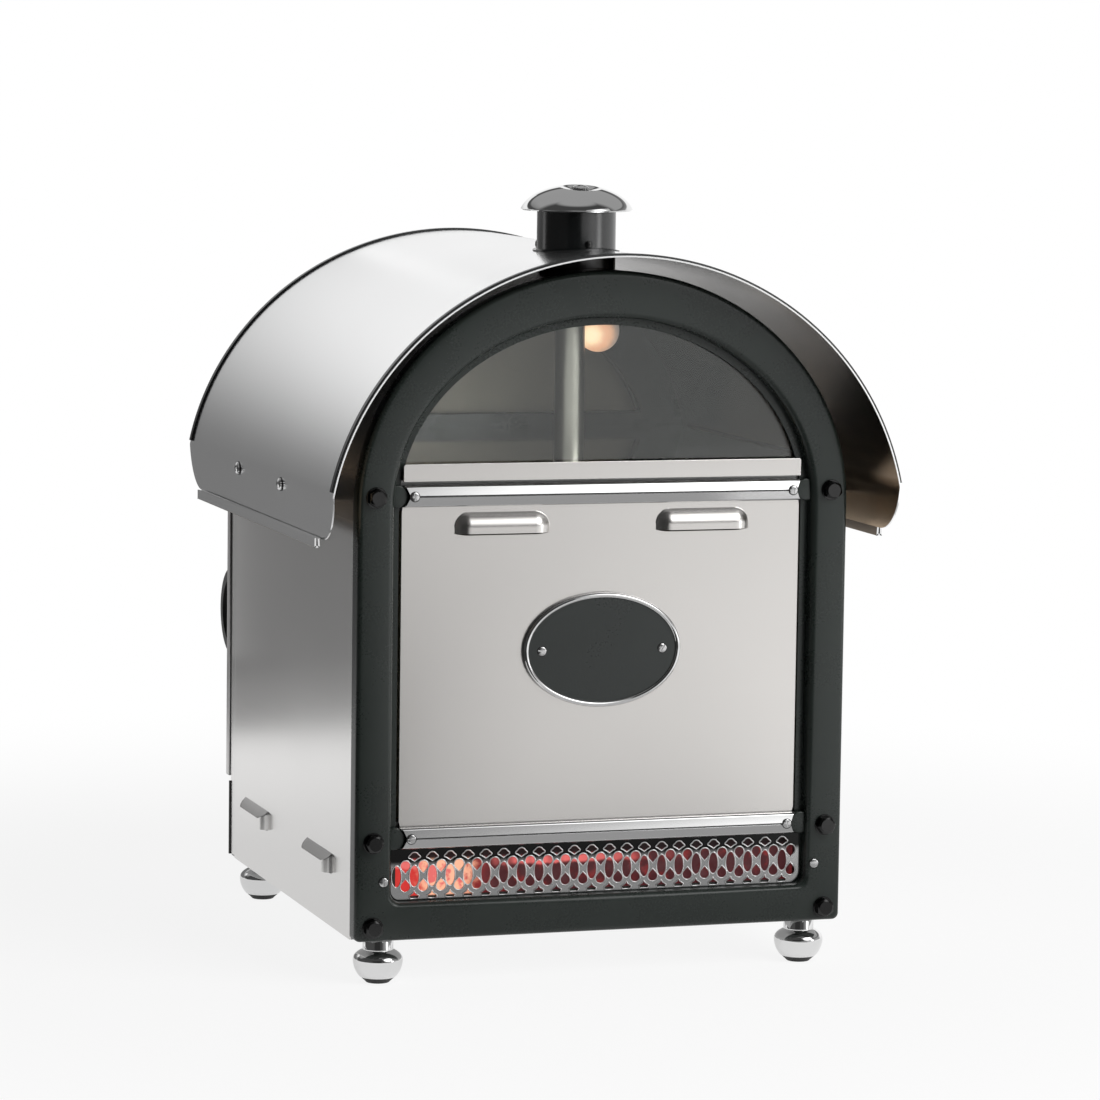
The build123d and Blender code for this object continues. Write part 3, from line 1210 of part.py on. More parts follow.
def door_pan(face, inner_face):
    """A pressed door skin: a flat back with turned-in edges, open towards the cabinet."""
    hollow = along_y(inner_face, DOOR_FRONT_Y - OVERRUN, DOOR_BACK_Y - DOOR_SKIN)
    return along_y(face, DOOR_FRONT_Y, DOOR_BACK_Y) - hollow


def make_oven_door_skin():
    half = DOOR_HALF_WIDTH
    low, high = OVEN_DOOR_ZS
    wall = DOOR_SKIN
    return door_pan(rect(-half, half, low, high), rect(-half + wall, half - wall, low + wall, high - wall))


def make_oven_door_liner():
    """Inner door sheet with a plug that stands into the oven mouth."""
    half = DOOR_HALF_WIDTH - DOOR_SKIN
    low = OVEN_DOOR_ZS[0] + DOOR_SKIN
    high = OVEN_DOOR_ZS[1] - DOOR_SKIN
    sheet = block(-half, half, DOOR_FRONT_Y, DOOR_FRONT_Y + SHEET, low, high)
    plug = block(*PLUG_XS, PLUG_FRONT_Y, DOOR_FRONT_Y + SHEET, *PLUG_ZS)
    hollow = block(
        PLUG_XS[0] + SHEET,
        PLUG_XS[1] - SHEET,
        PLUG_FRONT_Y + SHEET,
        DOOR_FRONT_Y + 2 * SHEET,
        PLUG_ZS[0] + SHEET,
        PLUG_ZS[1] - SHEET,
    )
    return sheet + plug - hollow


def make_oven_door_insulation():
    gap = DOOR_PACKING_GAP
    rear_y = DOOR_BACK_Y - DOOR_SKIN - DOOR_PACKING_BACK_GAP
    return block(
        PLUG_XS[0] + gap, PLUG_XS[1] - gap, PLUG_FRONT_Y + gap, rear_y, PLUG_ZS[0] + gap, PLUG_ZS[1] - gap
    )


def make_oven_door_seal():
    """Flat rope gasket round the oven mouth, carried by the door."""
    inner_half = OVEN_MOUTH_HALF + SEAL_MOUTH_GAP
    outer_half = inner_half + SEAL_WIDTH
    low = OVEN_MOUTH_ZS[0] - OVERRUN
    high = OVEN_MOUTH_ZS[1]
    outer = rect(-outer_half, outer_half, low - SEAL_WIDTH, high + SEAL_WIDTH)
    inner = rect(-inner_half, inner_half, low, high)
    return along_y(outer - inner, BODY_REAR_Y + SEAL_FACE_GAP, DOOR_FRONT_Y)


def bow_handle():
    """A moulded bow with a finger hole, standing out along +Y and centred on the origin in Z."""
    half = HANDLE_LENGTH / 2
    reach = HANDLE_REACH_Y - DOOR_BACK_Y
    inner_half = half - HANDLE_BAR - HANDLE_FOOT_EXTRA
    profile = make_face(
        [
            ThreePointArc((0, -half), (reach, 0), (0, half)),
            Line((0, half), (0, -half)),
        ]
    )
    finger_hole = make_face(
        [
            ThreePointArc((0, -inner_half), (reach - HANDLE_BAR, 0), (0, inner_half)),
            Line((0, inner_half), (0, -inner_half)),
        ]
    )
    handle = along_x(profile - finger_hole, -HANDLE_WIDTH / 2, HANDLE_WIDTH / 2)
    outer_edges = handle.faces().sort_by(Axis.Y)[-1].edges().filter_by(GeomType.CIRCLE)
    return fillet(outer_edges, HANDLE_EDGE_R)


def hinge_barrel(low, high):
    """A hinge knuckle about the local Z axis."""
    return rod_z(HINGE_BARREL_R, low, high, 0, 0) - rod_z(HINGE_BORE_R, low - OVERRUN, high + OVERRUN, 0, 0)


HINGE_END_SPANS = (
    (-HINGE_LENGTH / 2, -HINGE_MIDDLE / 2 - HINGE_GAP),
    (HINGE_MIDDLE / 2 + HINGE_GAP, HINGE_LENGTH / 2),
)
HINGE_MIDDLE_SPAN = (-HINGE_MIDDLE / 2, HINGE_MIDDLE / 2)


def knuckles_with_web(spans, web_x, web_y, plate):
    """Knuckles about local Z, each tied to the leaf's plate by a web of its own length."""
    leaf = plate
    for low, high in spans:
        web = block(*web_x, *web_y, low, high) - rod_z(HINGE_BORE_R, low - OVERRUN, high + OVERRUN, 0, 0)
        leaf = leaf + web + hinge_barrel(low, high)
    return leaf


def oven_hinge_fixed_leaf():
    """Leaf on the cabinet's side; local origin on the hinge axis."""
    side = SIDE_FACE_X + CLOSE_FIT - OVEN_HINGE_X
    rear = -HINGE_BARREL_R + HINGE_LEAF
    reach = -OVEN_FIXED_LEAF_REACH
    plate = block(side, side + HINGE_LEAF, reach, rear, -HINGE_LENGTH / 2, HINGE_LENGTH / 2)
    return knuckles_with_web(HINGE_END_SPANS, (side, 0), (-HINGE_BARREL_R, rear), plate)


def oven_hinge_door_leaf():
    """Leaf on the door's back; local origin on the hinge axis."""
    back = DOOR_BACK_Y + CLOSE_FIT - OVEN_HINGE_Y
    outer = back + HINGE_LEAF
    half = HINGE_LENGTH / 2
    plate = block(-OVEN_DOOR_LEAF_REACH, OVEN_WEB_XS[1], back, outer, -half, half)
    return knuckles_with_web([HINGE_MIDDLE_SPAN], OVEN_WEB_XS, (OVEN_WEB_START, outer), plate)


def display_hinge_fixed_leaf():
    """Leaf on the rear frame between the doors, about a level axis along local Z."""
    front = BODY_REAR_Y + CLOSE_FIT - DISPLAY_HINGE_Y
    web_top = -HINGE_BARREL_R + HINGE_LEAF
    half = HINGE_LENGTH / 2
    plate = block(*DISPLAY_FIXED_LEAF_SPAN, front, front + HINGE_LEAF, -half, half)
    return knuckles_with_web(HINGE_END_SPANS, (-HINGE_BARREL_R, web_top), (front, 0), plate)


def display_hinge_door_leaf():
    """Leaf on the display door's back, about a level axis along local Z."""
    back = DOOR_BACK_Y + CLOSE_FIT - DISPLAY_HINGE_Y
    bottom = DISPLAY_DOOR_BOTTOM_Z - DISPLAY_HINGE_Z
    half = HINGE_LENGTH / 2
    outer = back + HINGE_LEAF
    plate = block(bottom, bottom + DISPLAY_DOOR_LEAF_REACH, back, outer, -half, half)
    return knuckles_with_web([HINGE_MIDDLE_SPAN], (0, bottom + OVERRUN), (back, outer), plate)


def at_oven_hinges(shape):
    return [Pos(OVEN_HINGE_X, OVEN_HINGE_Y, z) * shape for z in OVEN_HINGE_ZS]


def at_display_hinges(shape):
    """Lay a hinge drawn about Z along X, with its local X upwards."""
    level = Plane((0, DISPLAY_HINGE_Y, DISPLAY_HINGE_Z), x_dir=(0, 0, 1), z_dir=(-1, 0, 0))
    return [Pos(x, 0, 0) * (level * shape) for x in DISPLAY_HINGE_XS]


def make_hinge_leaves():
    return group(at_oven_hinges(oven_hinge_fixed_leaf()) + at_display_hinges(display_hinge_fixed_leaf()))


def make_hinge_pins():
    half = HINGE_LENGTH / 2 + HINGE_PIN_END
    pin = rod_z(HINGE_PIN_R, -half, half, 0, 0)
    return group(at_oven_hinges(pin) + at_display_hinges(pin))


def make_display_door_skin():
    wall = DOOR_SKIN
    outer = arch_above(DISPLAY_DOOR_HALF, DISPLAY_DOOR_RISE, DISPLAY_DOOR_BOTTOM_Z)
    inner = arch_above(DISPLAY_DOOR_HALF - wall, DISPLAY_DOOR_RISE - wall, DISPLAY_DOOR_BOTTOM_Z + wall)
    return door_pan(outer, inner)


def make_display_door_liner():
    inset = DOOR_SKIN + CLOSE_FIT
    face = arch_above(DISPLAY_DOOR_HALF - inset, DISPLAY_DOOR_RISE - inset, DISPLAY_DOOR_BOTTOM_Z + inset)
    return along_y(face, DOOR_FRONT_Y, DOOR_FRONT_Y + SHEET)


nodes = {
    "front_frame": make_front_frame(),
    "frame_bolts": make_frame_bolts(),
    "front_screws": group([slotted_screw(*screw) for screw in RAIL_SCREWS + FRAME_SCREWS + BADGE_SCREWS]),
    "front_panel": make_front_panel(),
    "upper_rail": make_rail(UPPER_RAIL_Z),
    "lower_rail": make_rail(LOWER_RAIL_Z),
    "sill_strip": make_sill_strip(),
    "cross_channels": make_cross_channels(),
    "badge_plate": make_badge_plate(),
    "glow_grille": make_grille(),
    "glow_screen": make_glow_screen(),
    "glow_lamps": make_glow_lamps(),
    "front_glass": make_front_glass(),
    "glass_seal": make_glass_seal(),
    "left_side_panel": make_side_panel(-1),
    "right_side_panel": make_side_panel(1),
    "arch_shell": make_arch_shell(),
    "base_plate": make_base_plate(),
    "bun_feet": make_feet(),
    "foot_pads": make_foot_pads(),
    "roof_canopy": make_roof_canopy(),
    "roof_front_trim": make_roof_trim(*FRONT_TRIM_YS),
    "roof_rear_trim": make_roof_trim(*REAR_TRIM_YS),
    "roof_brackets": make_roof_brackets(),
    "roof_screws": make_roof_screws(),
    "chimney_pipe": make_chimney_pipe(),
    "chimney_collar": make_chimney_collar(),
    "chimney_cap": make_chimney_cap(),
    "cap_bracket": make_cap_bracket(),
    "flue_tube": make_flue_tube(),
    "display_floor": make_display_floor(),
    "display_lamp": make_display_lamp(),
    "lamp_holders": group(make_glow_lamp_clips() + [make_lamp_holder()]),
    "oven_liner": make_oven_liner(),
    "oven_insulation": make_oven_insulation(),
    "heating_elements": make_heating_elements(),
    "shelf_runners": make_shelf_runners(),
    "lower_shelf": make_wire_shelf(SHELF_ZS[0]),
    "upper_shelf": make_wire_shelf(SHELF_ZS[1]),
    "rear_frame": make_rear_frame(),
    "control_panel": make_control_panel(),
    "thermostat_body": make_thermostat_body(),
    "thermostat_knob": make_thermostat_knob(),
    "switch_housings": make_switch_housings(),
    "mains_rocker": make_rocker(ROCKER_XS[0]),
    "light_rocker": make_rocker(ROCKER_XS[1]),
    "cable_gland": make_cable_gland(),
    "catch_magnets": make_catch_magnets(),
    "hinge_leaves": make_hinge_leaves(),
    "hinge_pins": make_hinge_pins(),
    "oven_door_skin": make_oven_door_skin(),
    "oven_door_liner": make_oven_door_liner(),
    "oven_door_insulation": make_oven_door_insulation(),
    "oven_door_seal": make_oven_door_seal(),
    "oven_door_handle": Pos(OVEN_HANDLE_X, DOOR_BACK_Y, OVEN_HANDLE_Z) * bow_handle(),
    "oven_door_hinge_leaves": group(at_oven_hinges(oven_hinge_door_leaf())),
    "display_door_skin": make_display_door_skin(),
    "display_door_liner": make_display_door_liner(),
    "display_door_handle": Pos(0, DOOR_BACK_Y, DISPLAY_HANDLE_Z) * Rot(0, 90, 0) * bow_handle(),
    "display_door_hinge_leaves": group(at_display_hinges(display_hinge_door_leaf())),
}

os.makedirs("parts", exist_ok=True)
for name, shape in nodes.items():
    export_step(shape, f"parts/{name}.step")
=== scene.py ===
import logging
import random
from collections.abc import Callable, Sequence
from dataclasses import dataclass, replace
from enum import Enum
from math import acos, asin, cos, degrees, hypot, pi, radians, sin, sqrt
from typing import Any

import bmesh
import bpy
from mathutils import Matrix, Vector, noise
from mathutils.bvhtree import BVHTree


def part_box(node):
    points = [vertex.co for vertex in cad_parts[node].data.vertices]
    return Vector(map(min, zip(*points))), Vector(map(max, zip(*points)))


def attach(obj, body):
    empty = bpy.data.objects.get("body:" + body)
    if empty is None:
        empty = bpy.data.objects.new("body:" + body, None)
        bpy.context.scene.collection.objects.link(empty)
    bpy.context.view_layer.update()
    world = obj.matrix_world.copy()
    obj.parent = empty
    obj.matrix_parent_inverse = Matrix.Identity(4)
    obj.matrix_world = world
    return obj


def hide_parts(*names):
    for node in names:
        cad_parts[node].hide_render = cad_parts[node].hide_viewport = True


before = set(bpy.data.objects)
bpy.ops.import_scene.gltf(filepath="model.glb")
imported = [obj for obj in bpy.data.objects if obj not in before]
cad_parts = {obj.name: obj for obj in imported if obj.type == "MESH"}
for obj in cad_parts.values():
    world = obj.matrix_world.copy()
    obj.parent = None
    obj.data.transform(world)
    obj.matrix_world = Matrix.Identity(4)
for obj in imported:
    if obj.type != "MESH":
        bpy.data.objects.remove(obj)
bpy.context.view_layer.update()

log = logging.getLogger("potato_baker")

Item = bpy.types.Object
Mesh = bpy.types.Mesh
Socket = bpy.types.NodeSocket
Pair = tuple[float, float]
Point = tuple[float, float, float]
Colour = tuple[float, float, float, float]

# Forms are drawn in millimetres and stored in metres
MM = 0.001

# Height at which every arch of the cabinet springs from its sides
SPRING_Z = 372.0

SHEET = 1.2
HINGE_LEAF = 1.5

# Distance under which two places are one
TINY = 1e-6

# The value that every noise swings about
MEAN = 0.5

# Angles in degrees above which an edge is shaded sharp
FORM_ANGLE = 38.0
NODE_ANGLE = 32.0
HEAD_ANGLE = 40.0
ITEM_ANGLE = 30.0
ROUND_ANGLE = 50.0
FOLD_ANGLE = 60.0
BOLT_ANGLE = 28.0
BEAD_ANGLE = 70.0

# Angle in degrees under which neighbouring triangles are one flat face
FLAT_ANGLE = 0.5

FRONT: Point = (0.0, -1.0, 0.0)
BACK: Point = (0.0, 1.0, 0.0)
UP: Point = (0.0, 0.0, 1.0)
RAILS = ("upper_rail", "lower_rail")


class Axis(Enum):
    """A direction of the object's frame."""

    X = 0
    Y = 1
    Z = 2


class Side(Enum):
    """A side of the cabinet, as the sign of its x."""

    LEFT = -1
    RIGHT = 1


class Body(Enum):
    """A body that pieces ride on."""

    CABINET = "cabinet"
    OVEN_DOOR = "oven_door"
    DISPLAY_DOOR = "display_door"
    KNOB = "thermostat_knob"
    MAINS = "mains_rocker"
    LIGHT = "light_rocker"


class Head(Enum):
    """The drive of a screw's head."""

    SLOT = "slot"
    CROSS = "cross"


class Hood(Enum):
    """How a louvre is pressed."""

    ROUND = "round"
    CREASED = "creased"


def grey(level: float, warmth: float = 0.0) -> Colour:
    """Return a grey, made warmer or cooler by the share given."""
    return (level * (1 + warmth), level, level * (1 - warmth), 1.0)


def toned(colour: Colour, factor: float, lift: float = 0.0) -> Colour:
    """Return a colour made lighter or darker."""
    return tuple(part * factor + lift for part in colour[:3]) + (1.0,)


def box_mm(node: str) -> tuple[Vector, Vector]:
    """Return a node's lowest and highest corners in millimetres."""
    low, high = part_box(node)
    return low / MM, high / MM


def middle_mm(node: str) -> Point:
    """Return the middle of a node's box in millimetres."""
    return tuple((low + high) / 2 for low, high in zip(*box_mm(node)))


def spread(low: float, high: float, steps: int) -> list[float]:
    """Return evenly spaced values from low to high, both included."""
    return [low + (high - low) * i / steps for i in range(steps + 1)]


def turns(steps: int) -> list[float]:
    """Return the angles of a whole turn in equal steps."""
    return [2 * pi * step / steps for step in range(steps)]


# How a soft step runs between its ends
SMOOTH = {"interpolation_type": "SMOOTHSTEP"}


class Graph:
    """A node tree whose nodes all come from one method."""

    def __init__(self, tree: bpy.types.NodeTree) -> None:
        """Take the tree and clear it."""
        self.tree = tree
        tree.nodes.clear()

    def node(
        self,
        kind: str,
        settings: dict[str, Any] | None = None,
        inputs: dict[Any, Any] | None = None,
    ) -> bpy.types.Node:
        """Add a node to the tree.

        Args:
            kind: Blender's name for the type of node.
            settings: Properties, set before any socket.
            inputs: Values or links by the socket's name or place.

        Returns:
            The new node.
        """
        made = self.tree.nodes.new(kind)
        for key, value in (settings or {}).items():
            setattr(made, key, value)
        for key, value in (inputs or {}).items():
            self.plug(made.inputs[key], value)
        return made

    def plug(self, socket: Socket, value: Any) -> None:
        """Link a socket to a value's own socket, or set it to a plain value.

        Args:
            socket: The input to feed.
            value: A Num, a socket, or a constant.
        """
        source = value.socket if isinstance(value, Num) else value
        if isinstance(source, Socket):
            self.tree.links.new(source, socket)
        else:
            socket.default_value = source

    def math(self, operation: str, *terms: Any) -> "Num":
        """Return the result of a Math node on the terms."""
        made = self.node("ShaderNodeMath", {"operation": operation}, dict(enumerate(terms)))
        return Num(self, made.outputs[0])

    def smooth(self, value: Any, low: float, high: float) -> "Num":
        """Return a soft step of a value, from 0 at low to 1 at high."""
        inputs = {"Value": value, "From Min": low, "From Max": high}
        return Num(self, self.node("ShaderNodeMapRange", SMOOTH, inputs).outputs["Result"])

    def mix(self, factor: Any, first: Any, second: Any) -> Socket:
        """Return a colour between two colours."""
        made = self.node("ShaderNodeMix", {"data_type": "RGBA"}, {0: factor, 6: first, 7: second})
        return made.outputs[2]

    def blend(self, factor: Any, first: Any, second: Any) -> Socket:
        """Return a shader between two shaders."""
        return self.node("ShaderNodeMixShader", inputs={0: factor, 1: first, 2: second}).outputs[0]

    def parts(self, vector: Socket) -> tuple["Num", "Num", "Num"]:
        """Return a vector's three parts."""
        made = self.node("ShaderNodeSeparateXYZ", inputs={"Vector": vector})
        return tuple(Num(self, socket) for socket in made.outputs)

    def rays(self, *kinds: str) -> list["Num"]:
        """Return whether a ray is of each kind that Light Path names."""
        seen = self.node("ShaderNodeLightPath").outputs
        return [Num(self, seen[f"Is {kind} Ray"]) for kind in kinds]


class Num:
    """A number in a node tree; an expression on it adds the Math nodes that work it out."""

    def __init__(self, graph: Graph, socket: Socket) -> None:
        """Hold the tree and the socket the number comes from."""
        self.graph = graph
        self.socket = socket

    def __add__(self, other: Any) -> "Num":
        """Return the sum."""
        return self.graph.math("ADD", self, other)

    def __radd__(self, other: Any) -> "Num":
        """Return the sum with a plain number first."""
        return self.graph.math("ADD", other, self)

    def __sub__(self, other: Any) -> "Num":
        """Return the difference."""
        return self.graph.math("SUBTRACT", self, other)

    def __rsub__(self, other: Any) -> "Num":
        """Return the difference from a plain number."""
        return self.graph.math("SUBTRACT", other, self)

    def __mul__(self, other: Any) -> "Num":
        """Return the product."""
        return self.graph.math("MULTIPLY", self, other)

    def __rmul__(self, other: Any) -> "Num":
        """Return the product with a plain number first."""
        return self.graph.math("MULTIPLY", other, self)

    def __neg__(self) -> "Num":
        """Return the negative."""
        return self.graph.math("MULTIPLY", self, -1.0)

    def __abs__(self) -> "Num":
        """Return the size without its sign."""
        return self.graph.math("ABSOLUTE", self)

    def atleast(self, *others: Any) -> "Num":
        """Return the largest of the numbers.

        Args:
            others: What this one is compared with.

        Returns:
            The largest.
        """
        found = self
        for other in others:
            found = self.graph.math("MAXIMUM", found, other)
        return found


class Shader(Graph):
    """A material's node tree, with one Principled shader to feed."""

    def __init__(self, name: str) -> None:
        """Make the material with its shader, output and Object coordinates.

        Args:
            name: The material's name.
        """
        self.material = bpy.data.materials.new(name)
        self.material.use_nodes = True
        super().__init__(self.material.node_tree)
        self.surface = self.node("ShaderNodeBsdfPrincipled")
        self.exit = self.node("ShaderNodeOutputMaterial", inputs={"Surface": self.surface.outputs["BSDF"]})
        self.place = self.node("ShaderNodeTexCoord").outputs["Object"]

    def noise(self, waves: float | Point, detail: float = 2.0, roughness: float = 0.5) -> Num:
        """Return a noise over Object coordinates.

        Args:
            waves: Waves per metre, along every axis or along each.
            detail: Layers of finer noise.
            roughness: How strong the finer layers are.

        Returns:
            The noise, from 0 to 1.
        """
        scale = waves if isinstance(waves, tuple) else (waves,) * 3
        spot = self.node("ShaderNodeMapping", inputs={"Vector": self.place, "Scale": scale})
        inputs = {"Vector": spot.outputs[0], "Scale": 1.0, "Detail": detail, "Roughness": roughness}
        return Num(self, self.node("ShaderNodeTexNoise", inputs=inputs).outputs[0])

    def bump(self, height: Any, strength: float, distance: float) -> Socket:
        """Return a normal pressed in and out by a height."""
        inputs = {"Height": height, "Strength": strength, "Distance": distance}
        return self.node("ShaderNodeBump", inputs=inputs).outputs["Normal"]

    def feed(self, values: dict[str, Any]) -> None:
        """Feed the shader's inputs by name."""
        for key, value in values.items():
            self.plug(self.surface.inputs[key], value)


@dataclass(frozen=True)
class Finish:
    """What a surface is made of; it makes its material once and hands it out again."""

    name: str

    def material(self) -> bpy.types.Material:
        """Return this finish's material, made at its first use.

        Returns:
            The material.
        """
        found = bpy.data.materials.get("finish_" + self.name)
        if found is None:
            shader = Shader("finish_" + self.name)
            self.paint(shader)
            found = shader.material
        return found

    def paint(self, shader: Shader) -> None:
        """Feed the shader of this finish."""
        raise NotImplementedError(self.name)


@dataclass(frozen=True)
class BrushedSteel(Finish):
    """Steel sheet with a grain in one direction."""

    colour: Colour
    roughness: float
    grain: Axis
    streak: float
    fine: Pair = (9.0, 1500.0)
    broad: Pair = (2.5, 190.0)
    cloud: float = 6.0
    fine_share: float = 0.45
    cloud_gloss: float = 0.05
    relief: float = 0.7
    depth: float = 0.00006

    def waves(self, along: float, across: float) -> Point:
        """Return waves per metre that run out along the grain."""
        return tuple(along if axis is self.grain else across for axis in Axis)

    def paint(self, shader: Shader) -> None:
        """Streak the tone, the roughness and the relief along the grain.

        Args:
            shader: The shader that is fed.
        """
        fine = shader.noise(self.waves(*self.fine))
        broad = shader.noise(self.waves(*self.broad), 3.0)
        cloud = shader.noise(self.cloud)
        streaks = fine * self.fine_share + broad * (1 - self.fine_share)
        tone = shader.mix(streaks, toned(self.colour, 1 - self.streak), toned(self.colour, 1 + self.streak))
        gloss = self.roughness + (streaks - MEAN) * 2 * self.streak + (cloud - MEAN) * self.cloud_gloss
        shader.feed({
            "Base Color": tone,
            "Metallic": 1.0,
            "Roughness": gloss,
            "Normal": shader.bump(streaks, self.relief * self.streak, self.depth),
        })


@dataclass(frozen=True)
class BrightMetal(Finish):
    """Polished or plated metal with faint handling marks."""

    colour: Colour
    roughness: float
    smear: float
    smear_waves: float = 14.0
    wiping_waves: Point = (60.0, 500.0, 500.0)
    dulled: float = 0.93

    def paint(self, shader: Shader) -> None:
        """Let broad smears and fine wiping marks change the gloss.

        Args:
            shader: The shader that is fed.
        """
        smears = shader.noise(self.smear_waves, 3.0)
        wiping = shader.noise(self.wiping_waves)
        shader.feed({
            "Base Color": shader.mix(smears, self.colour, toned(self.colour, self.dulled)),
            "Metallic": 1.0,
            "Roughness": self.roughness + (smears - MEAN) * self.smear + (wiping - MEAN) * self.smear * 0.5,
        })


@dataclass(frozen=True)
class Enamel(Finish):
    """Stoved paint or enamel over metal, with its orange peel."""

    colour: Colour
    roughness: float
    peel: float
    specular: float = 0.5
    peel_waves: float = 520.0
    patch_waves: float = 24.0
    lighter: Pair = (1.35, 0.001)
    patch_gloss: float = 0.12
    peel_gloss: float = 0.06
    depth: float = 0.0004

    def paint(self, shader: Shader) -> None:
        """Vary tone and gloss in soft patches over a fine peel.

        Args:
            shader: The shader that is fed.
        """
        peel = shader.noise(self.peel_waves)
        patch = shader.noise(self.patch_waves, 3.0)
        shader.feed({
            "Base Color": shader.mix(patch, self.colour, toned(self.colour, *self.lighter)),
            "Roughness": self.roughness + (patch - MEAN) * self.patch_gloss + (peel - MEAN) * self.peel_gloss,
            "Specular IOR Level": self.specular,
            "Normal": shader.bump(peel * 0.5 + patch * 0.5, self.peel, self.depth),
        })


@dataclass(frozen=True)
class Moulded(Finish):
    """Plastic, rubber, ceramic or print with a fine moulded grain."""

    colour: Colour
    roughness: float
    grain: float = 900.0
    relief: float = 0.12
    tone_waves: float = 30.0
    lighter: Pair = (1.25, 0.002)
    tone_gloss: float = 0.1
    depth: float = 0.0003

    def paint(self, shader: Shader) -> None:
        """Give the surface its grain and a slightly uneven tone.

        Args:
            shader: The shader that is fed.
        """
        grain = shader.noise(self.grain)
        tone = shader.noise(self.tone_waves, 3.0)
        shader.feed({
            "Base Color": shader.mix(tone, self.colour, toned(self.colour, *self.lighter)),
            "Roughness": self.roughness + (tone - MEAN) * self.tone_gloss,
            "Normal": shader.bump(grain, self.relief, self.depth),
        })


@dataclass(frozen=True)
class SheetMetal(Finish):
    """Plain or coated sheet inside the cabinet, with a mottled bloom."""

    colour: Colour
    roughness: float
    metallic: float = 1.0
    bloom_waves: float = 70.0
    bloom_gloss: float = 0.25
    dulled: float = 0.8

    def paint(self, shader: Shader) -> None:
        """Mottle tone and gloss.

        Args:
            shader: The shader that is fed.
        """
        bloom = shader.noise(self.bloom_waves, 4.0, 0.6)
        shader.feed({
            "Base Color": shader.mix(bloom, toned(self.colour, self.dulled), self.colour),
            "Metallic": self.metallic,
            "Roughness": self.roughness + (bloom - MEAN) * self.bloom_gloss,
        })


@dataclass(frozen=True)
class HeatedSteel(Finish):
    """Steel painted in a lit tone below a height and a shaded tone above it; the change between them is
    painted shade and reflection, not the metal's own.
    """

    clean: Colour
    tinted: Colour
    start: float
    end: float
    roughness: float
    ragged_waves: Point = (80.0, 25.0, 80.0)
    smear_waves: Point = (30.0, 6.0, 30.0)
    ragged: float = 0.2
    smear_gloss: float = 0.08

    def paint(self, shader: Shader) -> None:
        """Paint the shade in along a ragged line.

        Args:
            shader: The shader that is fed.
        """
        ragged = shader.noise(self.ragged_waves, 3.0)
        smears = shader.noise(self.smear_waves)
        _, _, up = shader.parts(shader.place)
        edge = up + (ragged - MEAN) * self.ragged * (self.end - self.start)
        shader.feed({
            # Painted shade: the colour turns from the lit tone to the shaded tone with height
            "Base Color": shader.mix(shader.smooth(edge, self.start, self.end), self.clean, self.tinted),
            "Metallic": 1.0,
            "Roughness": self.roughness + (smears - MEAN) * self.smear_gloss,
        })


@dataclass(frozen=True)
class WindowGlass(Finish):
    """Clear toughened glass with the faint green of its thickness."""

    colour: Colour = (0.93, 0.97, 0.94, 1.0)
    refraction: float = 1.5
    wiping_waves: Point = (5.0, 5.0, 90.0)
    wiping: Pair = (0.45, 0.8)
    haze: float = 0.03

    def paint(self, shader: Shader) -> None:
        """Set clear glass with a faint wiping mark in its gloss.

        Args:
            shader: The shader that is fed.
        """
        wiping = shader.noise(self.wiping_waves)
        shader.feed({
            "Base Color": self.colour,
            "Roughness": shader.smooth(wiping, *self.wiping) * self.haze,
            "IOR": self.refraction,
            "Transmission Weight": 1.0,
        })


@dataclass(frozen=True)
class Glow(Finish):
    """A moulded screen lit red from behind, brightest before the hot end of its lamp."""

    deep: Colour = (0.05, 0.013, 0.015, 1.0)
    red: Colour = (0.62, 0.035, 0.03, 1.0)
    pink: Colour = (0.8, 0.16, 0.15, 1.0)
    hot: Colour = (1.0, 0.5, 0.32, 1.0)
    dark: Colour = grey(0.004)
    roughness: float = 0.5
    mottle_waves: float = 95.0
    flicker_waves: Point = (38.0, 38.0, 9.0)
    ragged: float = 0.03
    hot_middle: float = -0.121
    hot_reach: Pair = (0.0143, 0.026)
    red_ends: Pair = (-0.128, -0.078)
    band_middle: float = 0.0915
    band_reach: Pair = (0.002, 0.005)
    band_ends: Pair = (-0.03, 0.1)
    band_ragged: float = 0.15
    flicker: Pair = (0.36, 0.56)
    spots: Pair = (0.5, 0.8)
    spot_level: float = 0.35
    embers: Pair = (0.52, 0.62)
    top: Pair = (0.0925, 0.0965)
    top_ragged: float = 0.1

    def paint(self, shader: Shader) -> None:
        """Lay the deep red, the lamp's band and the hot stretch over one another, with mottled edges.

        Args:
            shader: The shader that is fed.
        """
        mottle = shader.noise(self.mottle_waves, 3.0, 0.6)
        flicker = shader.noise(self.flicker_waves)
        along, _, up = shader.parts(shader.place)
        rough = (mottle - MEAN) * self.ragged
        heat = 1 - shader.smooth(abs(along + rough - self.hot_middle), *self.hot_reach)
        start = 1 - shader.smooth(along + rough, *self.red_ends)
        level = 1 - shader.smooth(abs(up + rough * self.band_ragged - self.band_middle), *self.band_reach)
        fade = 1 - shader.smooth(along, *self.band_ends)
        band = level * fade * shader.smooth(flicker, *self.flicker)
        glow = shader.mix(shader.smooth(mottle, *self.spots) * self.spot_level, self.deep, self.red)
        glow = shader.mix(start, glow, self.red)
        glow = shader.mix(band, glow, self.pink)
        ember = shader.mix(shader.smooth(mottle, *self.embers), self.hot, self.pink)
        glow = shader.mix(heat, glow, ember)
        glow = shader.mix(shader.smooth(up + rough * self.top_ragged, *self.top), glow, self.dark)
        shader.feed({
            "Base Color": self.deep,
            "Roughness": self.roughness,
            "Emission Color": glow,
            "Emission Strength": 1.0,
        })


